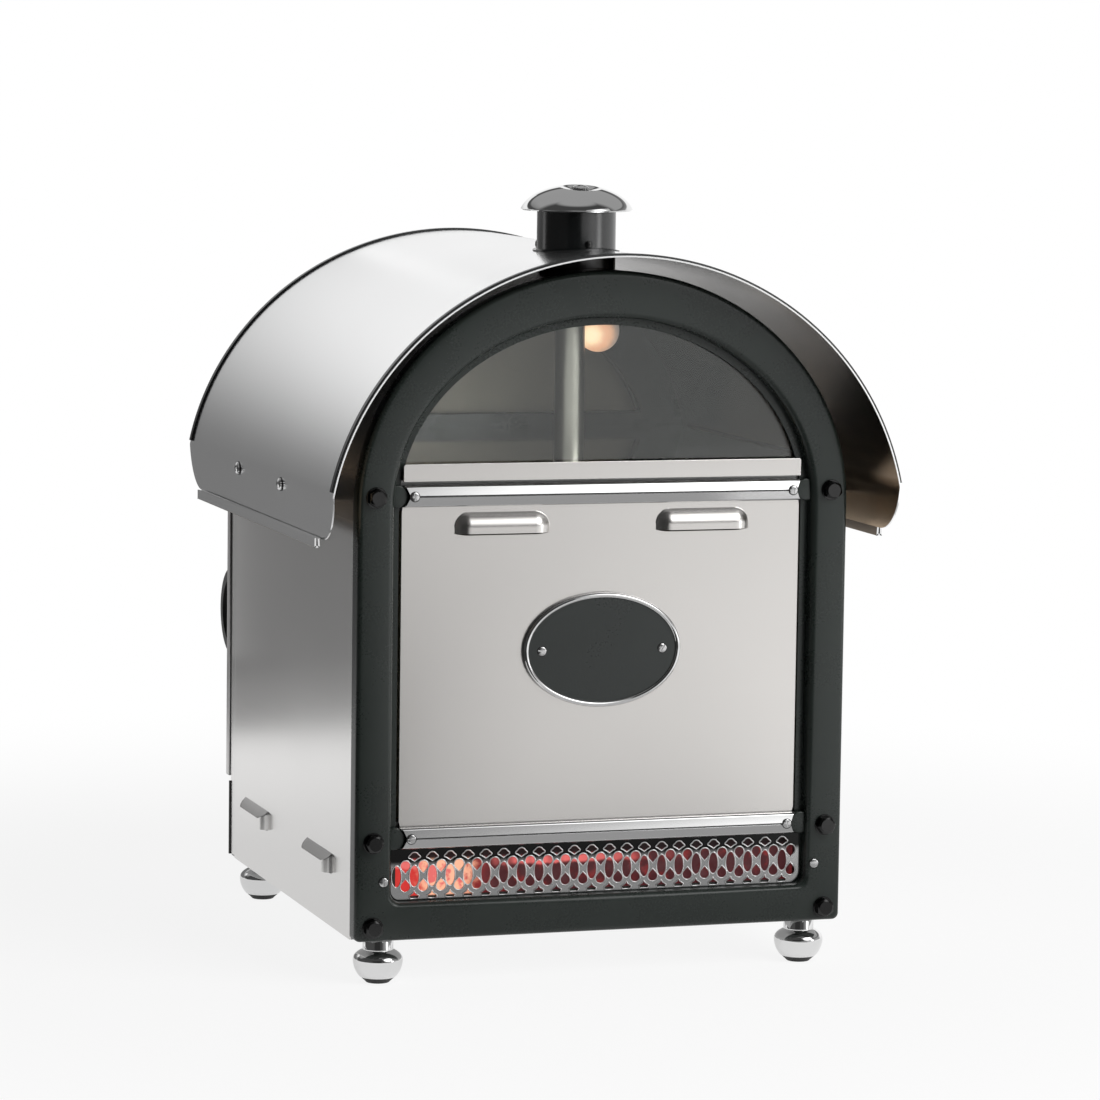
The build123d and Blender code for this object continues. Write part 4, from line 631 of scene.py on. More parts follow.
@dataclass(frozen=True)
class LampGlass(Finish):
    """A lit bulb's frosted glass, hottest beside its filament and dim round its rim."""

    filament: Pair = (0.019, 0.497)
    hot: Colour = (1.0, 0.7, 0.44, 1.0)
    warm: Colour = (0.62, 0.3, 0.16, 1.0)
    rim: Colour = (0.13, 0.1, 0.09, 1.0)
    strength: float = 1.2
    reach: Point = (0.003, 0.013, 0.026)
    colour: Colour = grey(0.35, 0.05)
    roughness: float = 0.45
    frost_waves: float = 160.0
    frost: float = 0.006

    def paint(self, shader: Shader) -> None:
        """Let the glow fade unevenly through the frosting, away from the filament.

        Args:
            shader: The shader that is fed.
        """
        frost = shader.noise(self.frost_waves, 3.0)
        east, _, up = shader.parts(shader.place)
        across, above = east - self.filament[0], up - self.filament[1]
        away = shader.math("SQRT", across * across + above * above) + (frost - MEAN) * self.frost
        middle, outer = shader.smooth(away, *self.reach[:2]), shader.smooth(away, *self.reach[1:])
        shader.feed({
            "Base Color": self.colour,
            "Roughness": self.roughness,
            "Emission Color": shader.mix(outer, shader.mix(middle, self.hot, self.warm), self.rim),
            "Emission Strength": self.strength,
        })


@dataclass(frozen=True)
class Fibre(Finish):
    """Mineral wool or braided rope."""

    colour: Colour = (0.55, 0.5, 0.36, 1.0)
    strands: float = 380.0
    drawn: float = 0.4
    dulled: float = 0.55
    roughness: float = 0.9
    relief: float = 0.8
    depth: float = 0.001

    def paint(self, shader: Shader) -> None:
        """Tangle strands in tone and relief.

        Args:
            shader: The shader that is fed.
        """
        strands = shader.noise((self.strands, self.strands * self.drawn, self.strands), 4.0, 0.7)
        shader.feed({
            "Base Color": shader.mix(strands, toned(self.colour, self.dulled), self.colour),
            "Roughness": self.roughness,
            "Normal": shader.bump(strands, self.relief, self.depth),
        })


CAST_BLACK = Enamel("cast_black", (0.012, 0.016, 0.014, 1.0), 0.28, 0.22, 0.42)
BLACKENED = BrightMetal("blackened_steel", grey(0.045), 0.19, 0.1)
PANEL_STEEL = BrushedSteel("panel_steel", grey(0.67, 0.03), 0.25, Axis.X, 0.03)
WALL_STEEL = BrushedSteel("wall_steel", grey(0.79, 0.014), 0.21, Axis.Y, 0.012)
SHELL_STEEL = BrushedSteel("shell_steel", grey(0.6, 0.02), 0.24, Axis.Y, 0.03)
ROOF_STEEL = BrushedSteel("roof_steel", grey(0.95, -0.002), 0.2, Axis.Y, 0.004)
# Roof underside: the brown hue is heat tint; its fall from light brown at the eaves to near black higher up
# is painted, a painted reflection of the lit side walls below and painted shade above
TINT_AND_PAINTED_SHADE_STEEL = HeatedSteel(
    "heat_tinted_steel", (0.62, 0.47, 0.32, 1.0), (0.06, 0.052, 0.042, 1.0), 0.365, 0.46, 0.2
)
HEM_STEEL = BrushedSteel("hem_steel", (0.14, 0.105, 0.07, 1.0), 0.3, Axis.Y, 0.05)
DULL_STEEL = BrushedSteel("dull_steel", (0.36, 0.335, 0.31, 1.0), 0.36, Axis.Z, 0.05)
LINER_STEEL = BrushedSteel("liner_steel", (0.2, 0.175, 0.15, 1.0), 0.42, Axis.X, 0.02)
DOOR_STEEL = BrushedSteel("door_steel", grey(0.62, 0.012), 0.3, Axis.Z, 0.05)
POLISHED = BrightMetal("polished_steel", grey(0.7), 0.07, 0.05)
RAIL_STEEL = BrightMetal("rail_steel", grey(0.56), 0.12, 0.05)
SCREW_STEEL = BrightMetal("screw_steel", grey(0.56), 0.2, 0.08)
# Grille strip: plain grey steel below, painted near black from just above its ovals upward: painted shade and
# dark reflection under the rail
GRILLE_SHADE_PAINTED_STEEL = HeatedSteel("grille_steel", grey(0.4), grey(0.02), 0.0915, 0.0965, 0.16)
CHROME = BrightMetal("chrome", grey(0.84), 0.035, 0.03)
CUT_EDGE = BrightMetal("cut_edge", grey(0.92), 0.3, 0.05)
TRIM_BLACK = Enamel("trim_black", (0.008, 0.009, 0.009, 1.0), 0.24, 0.06)
PIPE_BLACK = Enamel("pipe_black", (0.002, 0.0028, 0.003, 1.0), 0.21, 0.03, 1.0)
BADGE_BLACK = Enamel("badge_enamel", (0.012, 0.015, 0.014, 1.0), 0.3, 0.3)
GLASS = WindowGlass("window_glass")
SEAL = Moulded("seal_rubber", grey(0.015), 0.65)
GLOW = Glow("glow_red")
LAMP = LampGlass("lamp_glass")
GLOW_LAMP = LampGlass(
    "glow_lamp",
    filament=(0.0, 0.088),
    hot=(1.0, 0.2, 0.1, 1.0),
    warm=(0.9, 0.15, 0.07, 1.0),
    rim=(0.7, 0.08, 0.04, 1.0),
    strength=0.6,
    reach=(0.002, 0.08, 0.16),
)
CERAMIC = Moulded("ceramic", grey(0.7, 0.03), 0.3, 300.0, 0.04)
ZINC = SheetMetal("zinc_sheet", grey(0.45), 0.42)
OVEN_ENAMEL = SheetMetal("oven_enamel", (0.03, 0.032, 0.04, 1.0), 0.3, 0.0)
WOOL = Fibre("insulation_wool")
ROPE = Fibre("rope_gasket", (0.32, 0.31, 0.29, 1.0), 700.0)
ELEMENT = SheetMetal("element_metal", (0.1, 0.085, 0.075, 1.0), 0.5)
PLASTIC = Moulded("black_plastic", grey(0.012), 0.36, 1400.0, 0.06)
ROCKER_RED = Moulded("rocker_red", (0.5, 0.012, 0.01, 1.0), 0.3, 1400.0, 0.03)
ROCKER_GREEN = Moulded("rocker_green", (0.01, 0.22, 0.04, 1.0), 0.3, 1400.0, 0.03)
PRINT = Moulded("dial_print", grey(0.62), 0.5, 1400.0, 0.02)


class Form:
    """A mesh under construction, drawn in millimetres."""

    def __init__(self) -> None:
        """Start with no geometry."""
        self.bm = bmesh.new()

    def vertex(self, point: Point) -> bmesh.types.BMVert:
        """Add a vertex."""
        return self.bm.verts.new(Vector(point) * MM)

    def face(self, corners: Sequence[bmesh.types.BMVert], material: int = 0) -> None:
        """Add a face unless its corners have run together.

        Args:
            corners: The face's corners in order.
            material: Which of the piece's finishes it takes.
        """
        distinct = list(dict.fromkeys(corners))
        if len(distinct) > 2:
            self.bm.faces.new(distinct).material_index = material

    def net(
        self,
        rows: Sequence[Sequence[bmesh.types.BMVert]],
        ring: bool = False,
        loop: bool = False,
        material: int = 0,
    ) -> "Form":
        """Span rows of vertices with faces.

        Args:
            rows: Rows with the same number of vertices.
            ring: Whether each row closes on itself.
            loop: Whether the last row joins the first.
            material: Place of the faces' finish in the piece's list.

        Returns:
            This form.
        """
        tall = len(rows) if loop else len(rows) - 1
        wide = len(rows[0]) if ring else len(rows[0]) - 1
        for i in range(tall):
            above, below = rows[i], rows[(i + 1) % len(rows)]
            for j in range(wide):
                k = (j + 1) % len(above)
                self.face((above[j], above[k], below[k], below[j]), material)
        return self

    def sheet(self, rows: Sequence[Sequence[Point]], **ends: int) -> "Form":
        """Span rows of points with faces, as net does for vertices."""
        return self.net([[self.vertex(point) for point in row] for row in rows], **ends)

    def cap(self, points: Sequence[Point], material: int = 0) -> None:
        """Add one flat face through the points."""
        self.face([self.vertex(point) for point in points], material)

    def turned(
        self,
        profile: Sequence[Pair],
        centre: Point = (0.0, 0.0, 0.0),
        axis: Axis = Axis.Z,
        segments: int = 64,
    ) -> "Form":
        """Turn a profile about an axis.

        Args:
            profile: Radius and distance along the axis, point by point.
            centre: Where the axis has distance 0.
            axis: The axis turned about.
            segments: Steps round the axis.

        Returns:
            This form.
        """
        first, second = (axis.value + 1) % 3, (axis.value + 2) % 3
        rows = []
        for radius, along in profile:
            row = []
            for angle in turns(segments):
                point = list(centre)
                point[first] += radius * cos(angle)
                point[second] += radius * sin(angle)
                point[axis.value] += along
                row.append(tuple(point))
            rows.append(row)
        return self.sheet(rows, ring=True)

    def add(self, other: "Form") -> "Form":
        """Add another form's geometry, let go of that form and return this one.

        Args:
            other: The form added.

        Returns:
            This form.
        """
        extra = other.mesh("extra")
        self.bm.from_mesh(extra)
        bpy.data.meshes.remove(extra)
        return self

    def facing(self, direction: Point) -> "Form":
        """Turn an open sheet so that most of it faces a direction.

        Args:
            direction: The way its front looks.

        Returns:
            This form.
        """
        self.weld()
        self.bm.normal_update()
        if sum(face.normal.dot(Vector(direction)) * face.calc_area() for face in self.bm.faces) < 0:
            bmesh.ops.reverse_faces(self.bm, faces=self.bm.faces[:])
        return self

    def outward(self) -> "Form":
        """Turn every face of a closed form outward.

        Returns:
            The form itself.
        """
        self.weld()
        bmesh.ops.recalc_face_normals(self.bm, faces=self.bm.faces[:])
        return self

    def weld(self) -> None:
        """Join vertices that lie on one another."""
        bmesh.ops.remove_doubles(self.bm, verts=self.bm.verts[:], dist=TINY)

    def mesh(self, name: str) -> Mesh:
        """Return the form as a mesh and let go of it.

        Args:
            name: The mesh's name.

        Returns:
            The mesh.
        """
        made = bpy.data.meshes.new(name)
        self.bm.to_mesh(made)
        self.bm.free()
        return made


def merged_copy(node: str) -> Form:
    """Return a copy of a CAD node with its triangles merged into flat faces.

    Args:
        node: The node copied.

    Returns:
        The copy.
    """
    form = Form()
    form.bm.from_mesh(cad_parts[node].data)
    form.weld()
    verts, edges = form.bm.verts[:], form.bm.edges[:]
    bmesh.ops.dissolve_limit(form.bm, angle_limit=radians(FLAT_ANGLE), verts=verts, edges=edges)
    return form


def put(name: str, data: bpy.types.ID) -> Item:
    """Put a new object in the scene, at the origin.

    Args:
        name: The object's name.
        data: What it shows.

    Returns:
        The object.
    """
    made = bpy.data.objects.new(name, data)
    bpy.context.scene.collection.objects.link(made)
    return made


def evaluated(item: Item) -> Mesh:
    """Work an object's modifiers into a new mesh.

    Args:
        item: The object, which stays as it is.

    Returns:
        The new mesh.
    """
    graph = bpy.context.evaluated_depsgraph_get()
    graph.update()
    return bpy.data.meshes.new_from_object(item.evaluated_get(graph))


def baked(item: Item) -> Mesh:
    """Work an object's modifiers into its mesh, take them off and return the mesh.

    Args:
        item: The object.

    Returns:
        Its new mesh.
    """
    mesh = evaluated(item)
    item.modifiers.clear()
    item.data = mesh
    return mesh


def shade(mesh: Mesh, angle: float) -> None:
    """Shade a mesh smooth, with its edges sharp above an angle in degrees."""
    mesh.polygons.foreach_set("use_smooth", [True] * len(mesh.polygons))
    mesh.set_sharp_from_angle(angle=radians(angle))


@dataclass
class Piece:
    """A piece of the visual: its finishes, what it stands for and what it rides on."""

    name: str
    slot: str
    finishes: tuple[Finish, ...]
    node: str = ""
    body: Body = Body.CABINET
    edge: Finish | None = None
    even: bool = True

    def from_form(self, form: Form, *sizes: float, **named: float) -> None:
        """Make the piece from a form, with the sizes that from_mesh takes."""
        self.from_mesh(form.mesh(self.name), *sizes, **named)

    def from_node(self, node: str, bevel: float) -> None:
        """Make the piece from a refined copy of a CAD node."""
        self.from_form(merged_copy(node), bevel=bevel, angle=NODE_ANGLE)

    def from_mesh(
        self,
        mesh: Mesh,
        thickness: float = 0.0,
        bevel: float = 0.0,
        angle: float = FORM_ANGLE,
    ) -> None:
        """Make the piece from a mesh, set it on its body, hide its CAD node and report it.

        Args:
            mesh: The mesh, facing outward.
            thickness: Thickness added behind an open sheet.
            bevel: Width of the rounding on sharp edges.
            angle: Angle in degrees above which an edge is shaded sharp.
        """
        item = put(self.name, mesh)
        if mesh.materials:  # clearing also resets the faces' own material numbers
            mesh.materials.clear()
        for finish in [*self.finishes, self.edge]:
            if finish:
                mesh.materials.append(finish.material())
        if thickness:
            solid = item.modifiers.new("thickness", "SOLIDIFY")
            solid.thickness = thickness * MM
            solid.offset = -1.0
            solid.use_even_offset = self.even
            solid.material_offset = len(self.finishes) - 1
            solid.material_offset_rim = len(self.finishes) if self.edge else 0
        if bevel:
            rounding = item.modifiers.new("rounding", "BEVEL")
            rounding.width = bevel * MM
            rounding.segments = 2
            rounding.limit_method = "ANGLE"
            rounding.angle_limit = radians(angle)
            rounding.material = len(self.finishes) if self.edge else -1
        if item.modifiers:
            mesh = baked(item)
        shade(mesh, angle)
        if bevel:
            item.modifiers.new("normals", "WEIGHTED_NORMAL").keep_sharp = True
            baked(item)
        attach(item, self.body.value)
        if self.node:
            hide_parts(self.node)
        log.info("%s: %d faces in %s", item.name, len(item.data.polygons), self.slot)


class GeometryTree(Graph):
    """A Geometry Nodes tree with named inputs."""

    def __init__(self, name: str, sockets: dict[str, str]) -> None:
        """Make the tree with its inputs.

        Args:
            name: The tree's name.
            sockets: Blender's socket type for each named input.
        """
        super().__init__(bpy.data.node_groups.new(name, "GeometryNodeTree"))
        self.tree.interface.new_socket("Geometry", in_out="OUTPUT", socket_type="NodeSocketGeometry")
        for label, kind in {"Geometry": "NodeSocketGeometry", **sockets}.items():
            self.tree.interface.new_socket(label, in_out="INPUT", socket_type=kind)
        self.entry = self.node("NodeGroupInput").outputs
        self.exit = self.node("NodeGroupOutput")

    def step(self, kind: str, **inputs: Any) -> Socket:
        """Return the first output of a new geometry node, fed through its named inputs."""
        named = {key.replace("_", " "): value for key, value in inputs.items()}
        return self.node("GeometryNode" + kind, inputs=named).outputs[0]

    def end(self, geometry: Socket) -> None:
        """Realize the geometry, set its material and lead it out.

        Args:
            geometry: What the tree has made.
        """
        real = self.step("RealizeInstances", Geometry=geometry)
        done = self.step("SetMaterial", Geometry=real, Material=self.entry["Material"])
        self.plug(self.exit.inputs["Geometry"], done)

    def run(self, host: Item, values: dict[str, Any]) -> Mesh:
        """Run the tree on a host object.

        Args:
            host: The object whose mesh is the tree's geometry; it is removed.
            values: A value for each named input.

        Returns:
            The tree's result as a plain mesh.
        """
        modifier = host.modifiers.new(self.tree.name, "NODES")
        modifier.node_group = self.tree
        for socket in self.tree.interface.items_tree:
            if socket.in_out == "INPUT" and socket.name in values:
                modifier[socket.identifier] = values[socket.name]
        mesh = baked(host)
        bpy.data.objects.remove(host)
        return mesh


@dataclass(frozen=True)
class Spot:
    """A place for a repeated item, with its axis and its turn about it in radians."""

    place: Point
    axis: Point
    turn: float = 0.0


class Scatter(GeometryTree):
    """Sets an item on each vertex of a host, along the vertex's own axis and turn."""

    def __init__(self) -> None:
        """Build the tree."""
        super().__init__("scatter", {"Item": "NodeSocketObject", "Material": "NodeSocketMaterial"})
        axis = self.node("GeometryNodeInputNamedAttribute", {"data_type": "FLOAT_VECTOR"}, {"Name": "axis"})
        turn = self.node("GeometryNodeInputNamedAttribute", {"data_type": "FLOAT"}, {"Name": "turn"})
        upright = self.node(
            "FunctionNodeAlignRotationToVector", {"axis": "Z"}, {"Vector": axis.outputs["Attribute"]}
        )
        spin = self.node(
            "FunctionNodeAxisAngleToRotation", inputs={"Axis": UP, "Angle": turn.outputs["Attribute"]}
        )
        turned = self.node(
            "FunctionNodeRotateRotation",
            {"rotation_space": "LOCAL"},
            {"Rotation": upright.outputs[0], "Rotate By": spin.outputs[0]},
        )
        item = self.node("GeometryNodeObjectInfo", inputs={"Object": self.entry["Item"]})
        points, copy = self.entry["Geometry"], item.outputs["Geometry"]
        self.end(self.step("InstanceOnPoints", Points=points, Instance=copy, Rotation=turned.outputs[0]))

    def build(self, piece: Piece, form: Form, spots: Sequence[Spot], angle: float = HEAD_ANGLE) -> None:
        """Build a piece from copies of a form, one on each spot.

        Args:
            piece: The piece, with one finish.
            form: The item, standing on its own z axis.
            spots: Where the copies go.
            angle: Angle in degrees above which an edge is shaded sharp.
        """
        source = form.mesh(piece.name + "_item")
        shade(source, ITEM_ANGLE)
        item = put(piece.name + "_item", source)
        points = bpy.data.meshes.new(piece.name + "_spots")
        points.from_pydata([Vector(spot.place) * MM for spot in spots], [], [])
        axes = points.attributes.new("axis", "FLOAT_VECTOR", "POINT")
        axes.data.foreach_set("vector", [part for spot in spots for part in spot.axis])
        angles = points.attributes.new("turn", "FLOAT", "POINT")
        angles.data.foreach_set("value", [spot.turn for spot in spots])
        values = {"Item": item, "Material": piece.finishes[0].material()}
        mesh = self.run(put(piece.name + "_host", points), values)
        bpy.data.objects.remove(item)
        piece.from_mesh(mesh, angle=angle)


class PiercedSheet(GeometryTree):
    """Fills an outline pierced by a unit of holes repeated along a row, or lays a bead round every loop."""

    def __init__(self, bead: float = 0.0, bead_sides: int = 6) -> None:
        """Build the tree.

        Args:
            bead: Radius of the bead, or nothing to fill the outline.
            bead_sides: Sides of the bead's section.
        """
        super().__init__(
            "hole_beads" if bead else "pierced_sheet",
            {
                "Unit": "NodeSocketObject",
                "Count": "NodeSocketInt",
                "Start": "NodeSocketVector",
                "Step": "NodeSocketVector",
                "Place": "NodeSocketVector",
                "Material": "NodeSocketMaterial",
            },
        )
        row = {
            "Count": self.entry["Count"],
            "Start Location": self.entry["Start"],
            "Offset": self.entry["Step"],
        }
        line = self.node("GeometryNodeMeshLine", {"mode": "OFFSET"}, row)
        unit = self.node("GeometryNodeObjectInfo", inputs={"Object": self.entry["Unit"]})
        copies = self.step("InstanceOnPoints", Points=line.outputs[0], Instance=unit.outputs["Geometry"])
        both = self.node("GeometryNodeJoinGeometry")
        self.plug(both.inputs[0], self.step("RealizeInstances", Geometry=copies))
        self.plug(both.inputs[0], self.entry["Geometry"])
        curves = self.step("MeshToCurve", Mesh=both.outputs[0])
        if bead:
            profile = self.step("CurvePrimitiveCircle", Resolution=bead_sides, Radius=bead * MM)
            made = self.step("CurveToMesh", Curve=curves, Profile_Curve=profile)
        else:
            made = self.step("FillCurve", Curve=curves)
        upright = (radians(90.0), 0.0, 0.0)
        self.end(self.step("Transform", Geometry=made, Translation=self.entry["Place"], Rotation=upright))


def loops_object(name: str, loops: Sequence[Sequence[Pair]]) -> Item:
    """Return an object of closed loops of edges in the XY plane.

    Args:
        name: The object's name.
        loops: The loops' points.

    Returns:
        The object.
    """
    points, edges = [], []
    for loop in loops:
        first = len(points)
        points += [(x * MM, y * MM, 0.0) for x, y in loop]
        edges += [(first + i, first + (i + 1) % len(loop)) for i in range(len(loop))]
    mesh = bpy.data.meshes.new(name)
    mesh.from_pydata(points, edges, [])
    return put(name, mesh)


def arc(centre: Pair, radii: Pair, start: float, end: float, steps: int) -> list[Pair]:
    """Return points on an elliptical arc between two angles in degrees, both ends included."""
    angles = (radians(angle) for angle in spread(start, end, steps))
    return [(centre[0] + radii[0] * cos(a), centre[1] + radii[1] * sin(a)) for a in angles]


def quarter(radius: float, start: float, end: float, steps: int) -> list[Pair]:
    """Return points on a circle's arc about the origin, as arc does."""
    return arc((0.0, 0.0), (radius, radius), start, end, steps)


def mirrored(half: Sequence[Pair], shared: int = 0) -> list[Pair]:
    """Return the right half of an outline and its mirror image, less the points that both share."""
    return [*half, *((-x, z) for x, z in reversed(half[: len(half) - shared]))]


def arch_loop(half: float, rise: float, bottom: float, corner: float) -> list[Pair]:
    """Return a closed arch outline whose points match those of any other arch.

    Args:
        half: Half its width.
        rise: Height of its arch above the spring line.
        bottom: Height of its foot.
        corner: Radius of its lower corners.

    Returns:
        Points from the middle of the foot round by the right.
    """
    right = [(x, bottom) for x in spread(0.0, half - corner, 12)]
    right += arc((half - corner, bottom + corner), (corner, corner), -90.0, 0.0, 8)[1:]
    right += [(half, z) for z in spread(bottom + corner, SPRING_Z, 24)[1:]]
    right += arc((0.0, SPRING_Z), (half, rise), 0.0, 90.0, 48)[1:]
    return mirrored(right, 1)[:-1]


@dataclass
class FrontFrame:
    """The cast arched frame and the lugs beside its rails."""

    edge: float = 4.0
    lip: float = 5.5
    crown: float = 0.35
    wall: float = 29.5
    arch_wall: float = 36.5
    mouth_corner: float = 9.0
    corner: float = 5.0
    ledge_y: float = -188.0
    ledge: float = 6.0
    ledge_foot: float = 3.0
    lug_radius: float = 8.8
    lug_round: float = 1.2
    lug_height: float = 4.2
    lug_x: float = 167.8
    lug_face_y: float = -194.0
    lug_zs: Pair = (381.0, 115.0)

    def section(self, width: float, depth: float) -> list[Pair]:
        """Return the casting's section from its outer back edge to the foot of its inner wall.

        Args:
            width: Distance between the outlines.
            depth: Depth of the casting.

        Returns:
            Steps inward from the outer outline and back from the front face.
        """
        edge, lip, crown = self.edge, self.lip, self.crown
        rounding = [(edge - x, edge - y + crown) for x, y in quarter(edge, 0.0, 90.0, 6)]
        flat = [
            (x, crown * (2 * share - 1) ** 2)
            for share, x in zip(spread(0.0, 1.0, 6), spread(edge, width - lip, 6))
        ]
        turn = [(width - lip + x, lip - y + crown) for x, y in quarter(lip, 90.0, 0.0, 7)]
        return [(0.0, depth), *rounding, *flat[1:-1], *turn]

    def lugs(self) -> Form:
        """Return the round lugs.

        Returns:
            The lugs, closed.
        """
        wide, tall, lip = self.lug_radius, self.lug_height, self.lug_round
        profile = [(0.0, 0.0), (wide - lip, 0.0)]
        profile += [(wide - lip + x, lip - y) for x, y in quarter(lip, 90.0, 0.0, 4)]
        profile += [(wide, tall), (0.0, tall)]
        form = Form()
        for side in Side:
            for z in self.lug_zs:
                form.turned(profile, (side.value * self.lug_x, self.lug_face_y, z), Axis.Y, 48)
        return form.outward()

    def build(self) -> None:
        """Loft the casting between its two outlines and add its lugs."""
        low, high = box_mm("front_frame")
        half, rise = high.x, high.z - SPRING_Z
        outer = arch_loop(half, rise, low.z, self.corner)
        inner = arch_loop(half - self.wall, rise - self.arch_wall, low.z + self.wall, self.mouth_corner)
        ledge = arch_loop(
            half - self.wall - self.ledge,
            rise - self.arch_wall - self.ledge,
            low.z + self.wall + self.ledge_foot,
            self.mouth_corner - self.ledge_foot,
        )
        spans = [hypot(a[0] - b[0], a[1] - b[1]) for a, b in zip(outer, inner)]
        sections = [self.section(span, high.y - low.y) for span in spans]
        rows = []
        for k in range(len(sections[0])):
            row = []
            for (ox, oz), (ix, iz), span, section in zip(outer, inner, spans, sections):
                share = section[k][0] / span
                row.append((ox + (ix - ox) * share, low.y + section[k][1], oz + (iz - oz) * share))
            rows.append(row)
        for y, outline in ((self.ledge_y, inner), (self.ledge_y, ledge), (high.y, ledge)):
            rows.append([(x, y, z) for x, z in outline])
        form = Form().sheet(rows, ring=True, loop=True).outward().add(self.lugs())
        Piece("frame_casting", "cast_black", (CAST_BLACK,), "front_frame").from_form(form)


@dataclass(frozen=True)
class Louvre:
    """A pressed hood that is open along its foot."""

    along: float
    foot: float
    length: float
    height: float
    depth: float
    corner: float
    slope: float
    hood: Hood = Hood.ROUND
    gap: float = 1.6
    turn: float = 2.0

    def rise(self, along: float, up: float) -> float:
        """Return how far the sheet stands out at a place.

        Args:
            along: Place along the sheet.
            up: Height on the sheet.

        Returns:
            The height of the pressing there.
        """
        inside, below = self.length / 2 - abs(along - self.along), self.height - (up - self.foot)
        if inside <= 0 or below <= 0 or below > self.height + TINY:
            return 0.0
        if self.hood is Hood.CREASED:
            return self.depth * min(1.0, below / self.slope, self.swell(inside / self.corner))
        if inside < self.corner and below < self.corner:
            inside = self.corner - hypot(self.corner - inside, self.corner - below)
        share = min(1.0, max(0.0, min(inside, below) / self.slope))
        return self.depth * (1 - (1 - share) ** self.turn)

    def swell(self, share: float) -> float:
        """Return a quarter round's height at a share of its width."""
        return sqrt(1 - (1 - max(0.0, min(1.0, share))) ** 2)


@dataclass
class PressedSheet:
    """A flat sheet with louvres pressed out of it, slit along their feet."""

    louvres: tuple[Louvre, ...]
    low: float
    high: float
    reach: Callable[[float], Pair]
    place: Callable[[float, float, float], Point]
    coarse: float = 14.0
    fine: float = 0.5
    margin: float = 1.0
    apron: float = 4.0
    flush: float = 1e-4

    def lines(self, low: float, high: float, spans: Sequence[Pair]) -> list[float]:
        """Return grid lines that are close together inside the spans.

        Args:
            low: First line.
            high: Last line.
            spans: Stretches with fine lines, in order.

        Returns:
            The lines.
        """
        found = [low]
        for start, end in [*spans, (high, high)]:
            for goal, pitch in ((start, self.coarse), (end, self.fine)):
                if goal > found[-1]:
                    found += spread(found[-1], goal, max(1, round((goal - found[-1]) / pitch)))[1:]
        return found

    def form(self) -> Form:
        """Return the sheet's front face as a form.

        Returns:
            The open sheet.
        """
        first = self.louvres[0]
        foot, top = first.foot, first.foot + first.height
        bands = [(foot - self.apron, foot), (foot, top), (top, top + self.margin)]
        ups = self.lines(self.low, self.high, bands)
        spans = []
        for louvre in sorted(self.louvres, key=lambda each: each.along):
            near, far = louvre.along - louvre.length / 2, louvre.along + louvre.length / 2
            spans += [(near - self.margin, near), (near, far), (far, far + self.margin)]
        alongs = self.lines(*self.reach((self.low + self.high) / 2), spans)
        form = Form()
        rows: list[list[bmesh.types.BMVert]] = []
        for up in ups:
            near, far = self.reach(up)
            flat = [near, *alongs[1:-1], far]
            slit = abs(up - foot) < TINY
            lifted = [self.rise(along, up) for along in flat]
            below = (foot - up) / self.apron
            gap = first.gap * (1 - below) if -TINY < below < 1 else 0.0
            drops = [gap * min(1.0, self.rise(along, foot) / first.depth) for along in flat]
            rises = [0.0] * len(flat) if slit else lifted
            rows.append([form.vertex(self.place(a, up - d, r)) for a, d, r in zip(flat, drops, rises)])
            if slit:
                form.net(rows)
                rows = [[
                    form.vertex(self.place(along, up, rise)) if rise > self.flush else shared
                    for along, rise, shared in zip(flat, lifted, rows[-1])
                ]]
        return form.net(rows)

    def rise(self, along: float, up: float) -> float:
        """Return the height of the pressing at a place."""
        return sum(louvre.rise(along, up) for louvre in self.louvres)


